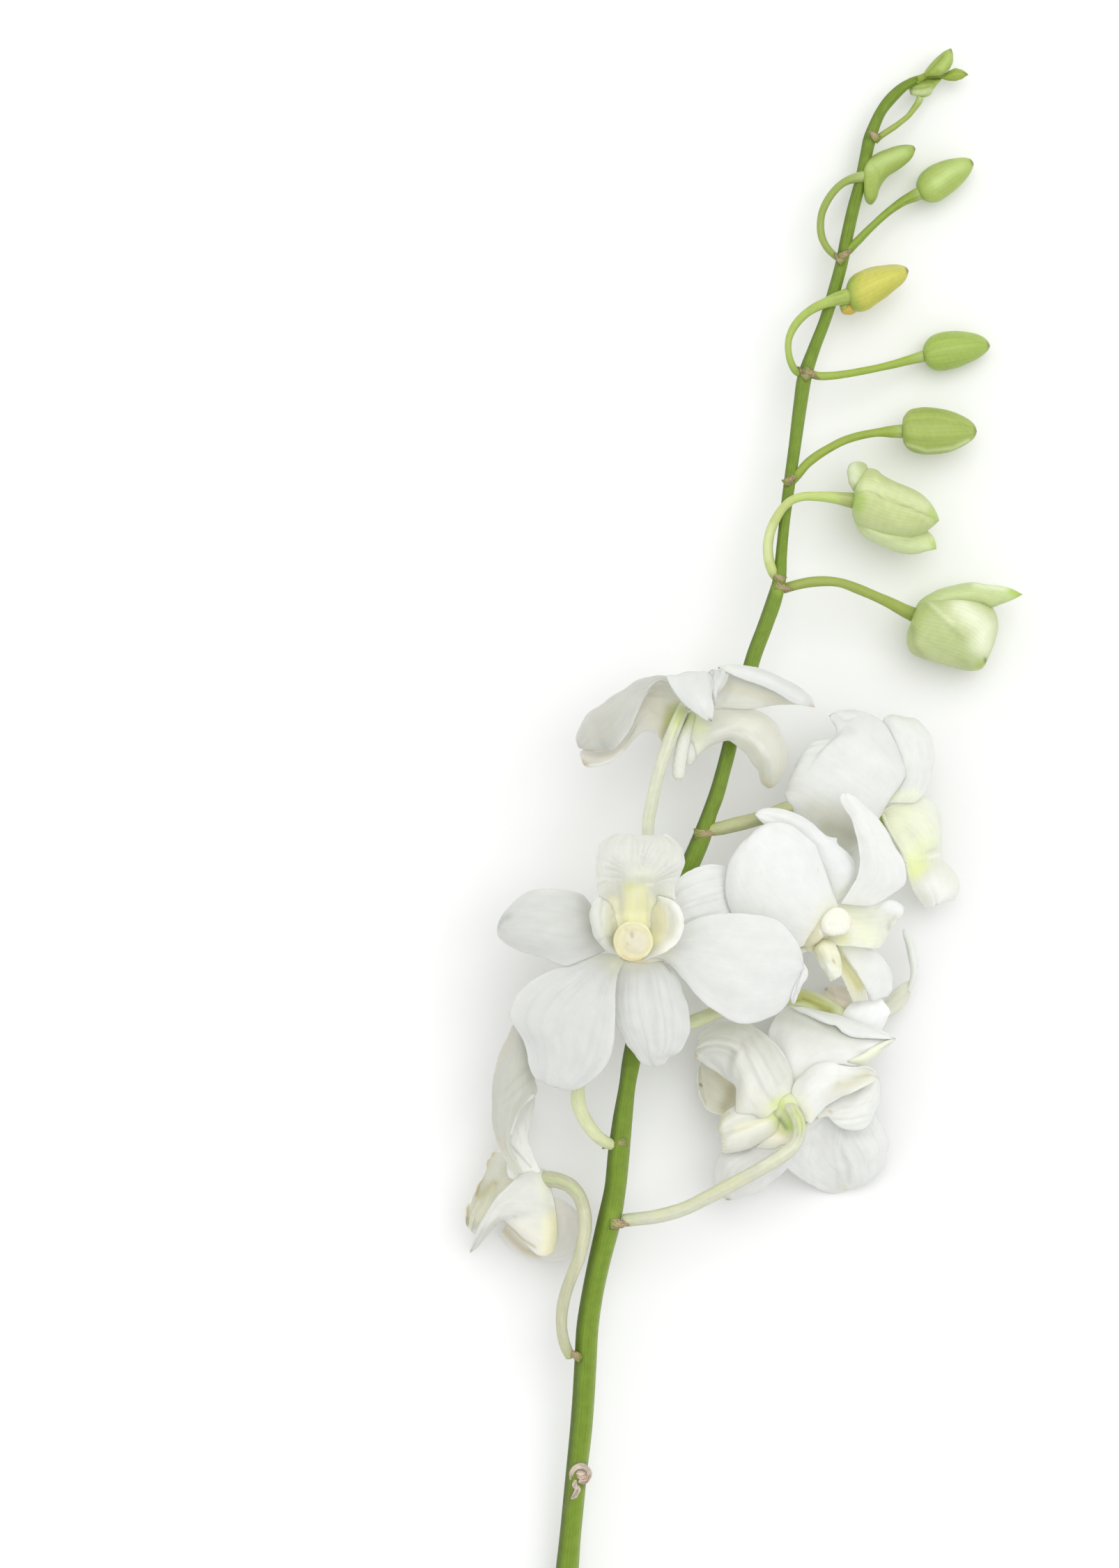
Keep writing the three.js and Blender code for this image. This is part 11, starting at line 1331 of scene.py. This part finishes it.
def do_sheet(b, node, i, p, seed):
    q = look_of(node, i)
    nt, nu = int(q['nt'] * .79), int(q['nu'] * .79)
    v = even(nt) * (.9985 if p['k'] == 'sheet' else 1.0); u = even(nu, .4) * 2 - 1
    G0 = sheet_grid(p, v, u); W = world(G0)
    V, U = np.meshgrid(v, u, indexing='ij')
    n, s = grid_normals(W)
    width = np.linalg.norm(np.diff(W, axis=1), axis=-1).sum(1); length = np.linalg.norm(np.diff(W, axis=0), axis=-1).sum(0).max()
    wmax = width.max(); slim = smooth(width / 9.0)[:, None]
    # broad undulation, margin ruffle and lengthwise ribs
    wob = q['broad'] * waves(seed, U * .35, V * .5) * smooth(V * 4)
    ruf = q['ruffle'] * np.abs(U) ** q['rpow'] * waves(seed + 7, V * q['rfreq'] / 2, np.sign(U) * .3, n=4) * smooth(V * 3)
    if p['k'] == 'rows':
        ruf = ruf + q['tipruf'] * smooth((V - .6) / .4) ** 1.5 * waves(seed + 9, U * q['rfreq'] / 3, n=4)
    lane = (U + .10 * np.sin(U * 5.3 + seed) + .05 * np.sin(U * 11.7 + seed * 1.7)) * q['veins'] * .5 * math.pi + .5 * waves(seed + 3, V * .6, n=3)
    rib = q['vein'] * (np.abs(np.cos(lane)) ** 1.6 - .6) * smooth(V * 5) * smooth((1 - V) * 3 + .25) * (1 - np.abs(U) ** 6)
    rib = rib * (1 + .5 * waves(seed + 5, U * 1.2, V * 1.5)) * slim; ruf = ruf * slim
    W = W + n * (wob + ruf + rib - q['keel'] * np.exp(-(U / .12) ** 2) * smooth(V * 5) * smooth((1 - V) * 3))[..., None]
    # a slightly uneven outline
    side = unit(np.gradient(W, axis=1))
    W = W + side * (q['rag'] * np.abs(U) ** 8 * np.sign(U) * waves(seed + 11, V * 8, np.sign(U), n=6))[..., None]
    base = PAL[p.get('c', 'w')] * np.array(q['tone'])
    C = [np.ones(U.shape + (3,)) * base for _ in (0, 1)]
    XY = pixels(W)
    for k in (0, 1):
        C[k] = mixc(C[k], q['foot'], q['footk'] * (1 - smooth(V / q['footv'])))
        C[k] = mixc(C[k], q['rimc'], q['rimk'] * np.maximum(np.abs(U) ** 10, smooth((V - .97) / .03)))
        C[k] = C[k] * (1 + .018 * waves(seed + 20 + k, U * .8, V * 1.4))[..., None]
    # painted shade in the grooves between the vein ribs
    groove_shade = q['veinc'] * (1 - np.abs(np.cos(lane))) ** 1.5 * smooth(V * 4) * smooth((1 - V) * 3) * (1 - np.abs(U) ** 6)
    for k in (0, 1):
        C[k] = C[k] * (1 - groove_shade)[..., None]
    C[1] = C[1] * np.array(q['under'])
    dz = features(node, i, XY, W, n, C)
    W[..., 2] += dz
    n, s = grid_normals(W)
    prof = np.sqrt(np.clip(1 - np.abs(U) ** 5, 0, 1)) * np.sqrt(np.clip(1 - smooth((V - .93) / .07) ** 2, 0, 1))
    t = q['edge'] + (q['thick'] - q['edge']) * prof
    shell(b, W, n, s, t, C, np.stack([(U * .5 + .5) * wmax, V * length], -1), 0 if q['mat'] is None else q['mat'])

def do_round(b, node, i, p, seed, kind):
    q = look_of(node, i); c = p.get('c', 'w')
    if kind == 'tube':
        a = np.array(p['path'], float); ln = knots(a[:, :3] * np.array([S, S, 1.0]), 1.0)
        long = node == 'main_stem' and i == 0
        nt = int(q['tn'] * .86); m = 60 if long else int(q['tm'] * .86)
        v = even(nt, .35) if not long else np.concatenate([np.linspace(0, .155, 60, endpoint=False), np.linspace(.155, .20, 110, endpoint=False), np.linspace(.20, 1, 340)]); nt = len(v); th = np.linspace(0, 2 * math.pi, m, endpoint=False)
        G, N = tube_grid(p, v, th, q['ribs'], q['rib'])
    else:
        nt, m = int(q['bn'] * .74), int(q['bm'] * .74)
        v = even(nt, .75); v = v * .999; th = np.linspace(0, 2 * math.pi, m, endpoint=False)
        G = blob_grid(p, v, th)
        dv = np.gradient(G, axis=0); du = (np.roll(G, -1, 1) - np.roll(G, 1, 1)) / 2
        N = unit(np.cross(du, dv))
        mid = G.mean(1, keepdims=True); N *= np.sign((N * (G - mid)).sum())
    V, T = np.meshgrid(v, th, indexing='ij')
    base = PAL['yb' if (node == 'bud_05' and c == 'y') else c] * np.array(q['tone'])
    C = np.ones(V.shape + (3,)) * base
    disp = q['lump'] * waves(seed, np.cos(T) * .25, np.sin(T) * .25, V * 1.2) * smooth(V * 8) * smooth((1 - V) * 8)
    if kind == 'blob':
        disp = disp + q['bvein'] * (np.abs(np.cos(T * q['bveins'] / 2 + .4 * waves(seed + 1, V * .7))) ** 1.5 - .5) * smooth(V * 6) * smooth((1 - V) * 6)
        for a, dep in q['seams']:
            d = (np.degrees(T) - a - 5 * np.sin(V * 3.1) + 180) % 360 - 180
            g = np.exp(-(d / 5.0) ** 2) * smooth(V * 8) * smooth((1 - V) * 8)
            lip_ = np.exp(-((d - 9) / 7.0) ** 2) * smooth(V * 8) * smooth((1 - V) * 8)
            disp = disp - dep * g + dep * .5 * lip_
            # painted shade in the seam's groove and a slight painted highlight on its raised lip
            C = C * (1 - min(.22, dep * 2) * g)[..., None] * (1 + .05 * lip_)[..., None]
    elif node == 'main_stem' and i == 0:
        disp = disp + .035 * (np.abs(np.cos(T * 7 + waves(seed + 4, V * 3))) - .5)
        # painted shade: by the direction of its surface the left side of the stem is painted darker, less so towards
        # the top, and painted light makes the right side a lighter green
        C = C * (1 - .48 * smooth((-N[..., 0] - .25) / .7) * (1 - .5 * smooth((V - .55) / .2)))[..., None]
        C = mixc(C, (.34, .44, .09), .35 * smooth((N[..., 0] - .3) / .6))
    C = mixc(C, q['foot'], q['footk'] * (1 - smooth(V / q['footv'])))
    C = mixc(C, q['tipc'], q['tipk'] * smooth((V - q['tipv']) / (1 - q['tipv'])))
    C = C * (1 + .03 * waves(seed + 2, np.cos(T) * .5, V * 5))[..., None]
    G = G + N * disp[..., None]
    XY = pixels(G); CC = [C, C.copy()]
    dz = features(node, i, XY, G, N, CC)
    face = smooth(N[..., 2] * 2.5)
    C = CC[0] * face[..., None] + C * (1 - face[..., None])
    G[..., 2] += dz * face
    flip = signed_volume(G - G.mean((0, 1))) < 0
    circ = np.linalg.norm(np.diff(G, axis=1), axis=-1).sum(1).max() * 1.03
    UV = np.stack([T / (2 * math.pi) * max(1, round(circ)), V * np.linalg.norm(np.diff(G.mean(1), axis=0), axis=-1).sum()], -1)
    closed_tube(b, G, C, UV, 0 if q['mat'] is None else q['mat'], flip=flip)

def do_bract(b, i, p, seed):
    """A dry papery scale: clasps the stem at its node and runs to a point along the stalk it carries."""
    L0, R0, tip = np.array(p['L'][0]), np.array(p['R'][0]), np.array(p['L'][-1]); z = p['z'][0][1]
    c0 = (L0 + R0) / 2; half = (R0 - L0) / 2; along = tip - c0
    nt, nu = 22, 17
    v = np.linspace(0, 1, nt) * .995; u = np.linspace(-1, 1, nu); V, U = np.meshgrid(v, u, indexing='ij')
    w = (1 - V ** 1.2) * .86 * (1 + .2 * np.sin(V * 3.1))
    P = c0 - along * .45 + along * 1.45 * V[..., None] + half * (U * w)[..., None]
    P = P + half * (.12 * waves(seed, V * 2, U * .6))[..., None]
    Z = z + .55 + .8 * (1 - U ** 2) * (1 - .75 * V) - 1.3 * V ** 1.5 + .15 * waves(seed + 1, V * 1.5, U * 1.2)
    G = world(np.concatenate([P, Z[..., None]], -1)); n, s = grid_normals(G)
    tan = np.array([.56, .45, .27]); dark = np.array([.17, .10, .04]); green = np.array([.26, .35, .07])
    C = np.ones(V.shape + (3,)) * tan
    C = mixc(C, green, .85 * (1 - smooth(V / .42)))
    C = mixc(C, dark, .7 * np.maximum(np.abs(U) ** 5, smooth((V - .8) / .2)) * (.6 + .4 * waves(seed + 2, V * 2)))
    C = C * (1 + .15 * waves(seed + 3, U * 3, V * 2))[..., None]
    shell(b, G, n, s, np.full(V.shape, .16), [C, C * .8], np.stack([U * 2, V * 4], -1), 1)

seed = 100
for node, prims in PIECES.items():
    prims = VIS.get(node, prims)
    b = Build(); q = look_of(node, -1)
    for i, p in enumerate(prims):
        seed += 37
        if p.get('c') == 'br' and node == 'main_stem':
            do_bract(b, i, p, seed)
        elif p['k'] in ('sheet', 'rows'):
            do_sheet(b, node, i, p, seed)
        else:
            do_round(b, node, i, p, seed, p['k'])
    if node in EXTRA:
        EXTRA[node](b)
    if node == 'main_stem': mats = [MAT['stem'], MAT['bract']]
    elif node.startswith('bud_'): mats = [MAT['bud']]
    elif node.endswith('pedicel'): mats = [MAT['stalk']]
    elif node.endswith('lip'): mats = [MAT['lip']]
    elif node.endswith('column'): mats = [MAT['cream']]
    else: mats = [MAT['tepal']]
    o = b.make('fine_' + node, mats)
    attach(o, 'root'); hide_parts(node)

# ---------------------------------------------------------------- floor, light, camera
def floor_material():
    m = bpy.data.materials.new('pale_floor'); m.use_nodes = True; t = m.node_tree; b = t.nodes["Principled BSDF"]
    n = t.nodes.new("ShaderNodeTexNoise"); n.inputs[2].default_value = 9.0
    c = t.nodes.new("ShaderNodeTexCoord"); t.links.new(c.outputs['Object'], n.inputs[0])
    r = t.nodes.new("ShaderNodeMapRange"); r.inputs[3].default_value = .905; r.inputs[4].default_value = .915
    t.links.new(n.outputs[0], r.inputs[0])
    k = t.nodes.new("ShaderNodeCombineColor")
    for i in range(3): t.links.new(r.outputs[0], k.inputs[i])
    t.links.new(k.outputs[0], b.inputs['Base Color']); b.inputs['Roughness'].default_value = .9
    b.inputs['Specular IOR Level'].default_value = 0.0
    return m
me = bpy.data.meshes.new('floor'); R = 6.0; K = 24
vs = [(0, 0, 0)] + [(R * math.cos(a * 2 * math.pi / K), R * math.sin(a * 2 * math.pi / K), 0) for a in range(K)]
me.from_pydata(vs, [], [(0, 1 + a, 1 + (a + 1) % K) for a in range(K)]); me.materials.append(floor_material())
floor = bpy.data.objects.new('floor', me); bpy.context.scene.collection.objects.link(floor)

scene = bpy.context.scene
w = bpy.data.worlds.new('studio'); scene.world = w; w.use_nodes = True
w.node_tree.nodes['Background'].inputs[0].default_value = (1, 1, 1, 1); w.node_tree.nodes['Background'].inputs[1].default_value = AMBIENT
for name, st, ang, d in SUNS:
    l = bpy.data.lights.new(name, 'SUN'); l.energy = st; l.angle = math.radians(ang); l.color = (1, 1, 1)
    o = bpy.data.objects.new(name, l); scene.collection.objects.link(o)
    import mathutils
    o.rotation_mode = 'QUATERNION'; o.rotation_quaternion = mathutils.Vector(d).to_track_quat('Z', 'Y')
scene.view_settings.view_transform = 'Standard'; scene.view_settings.look = 'None'
scene.view_settings.exposure = 0.0; scene.view_settings.gamma = 1.0

cam = bpy.data.cameras.new('camera'); cam.type = 'PERSP'; cam.sensor_width = 36.0; cam.sensor_fit = 'AUTO'; cam.lens = 150.0
cam.clip_start = .05; cam.clip_end = 20.0
co = bpy.data.objects.new('camera', cam); scene.collection.objects.link(co)
co.location = (SHIFT[0] * 1e-3, SHIFT[1] * 1e-3, (1500.0 + SHIFT[2]) * 1e-3); co.rotation_euler = (0, 0, 0)
scene.camera = co
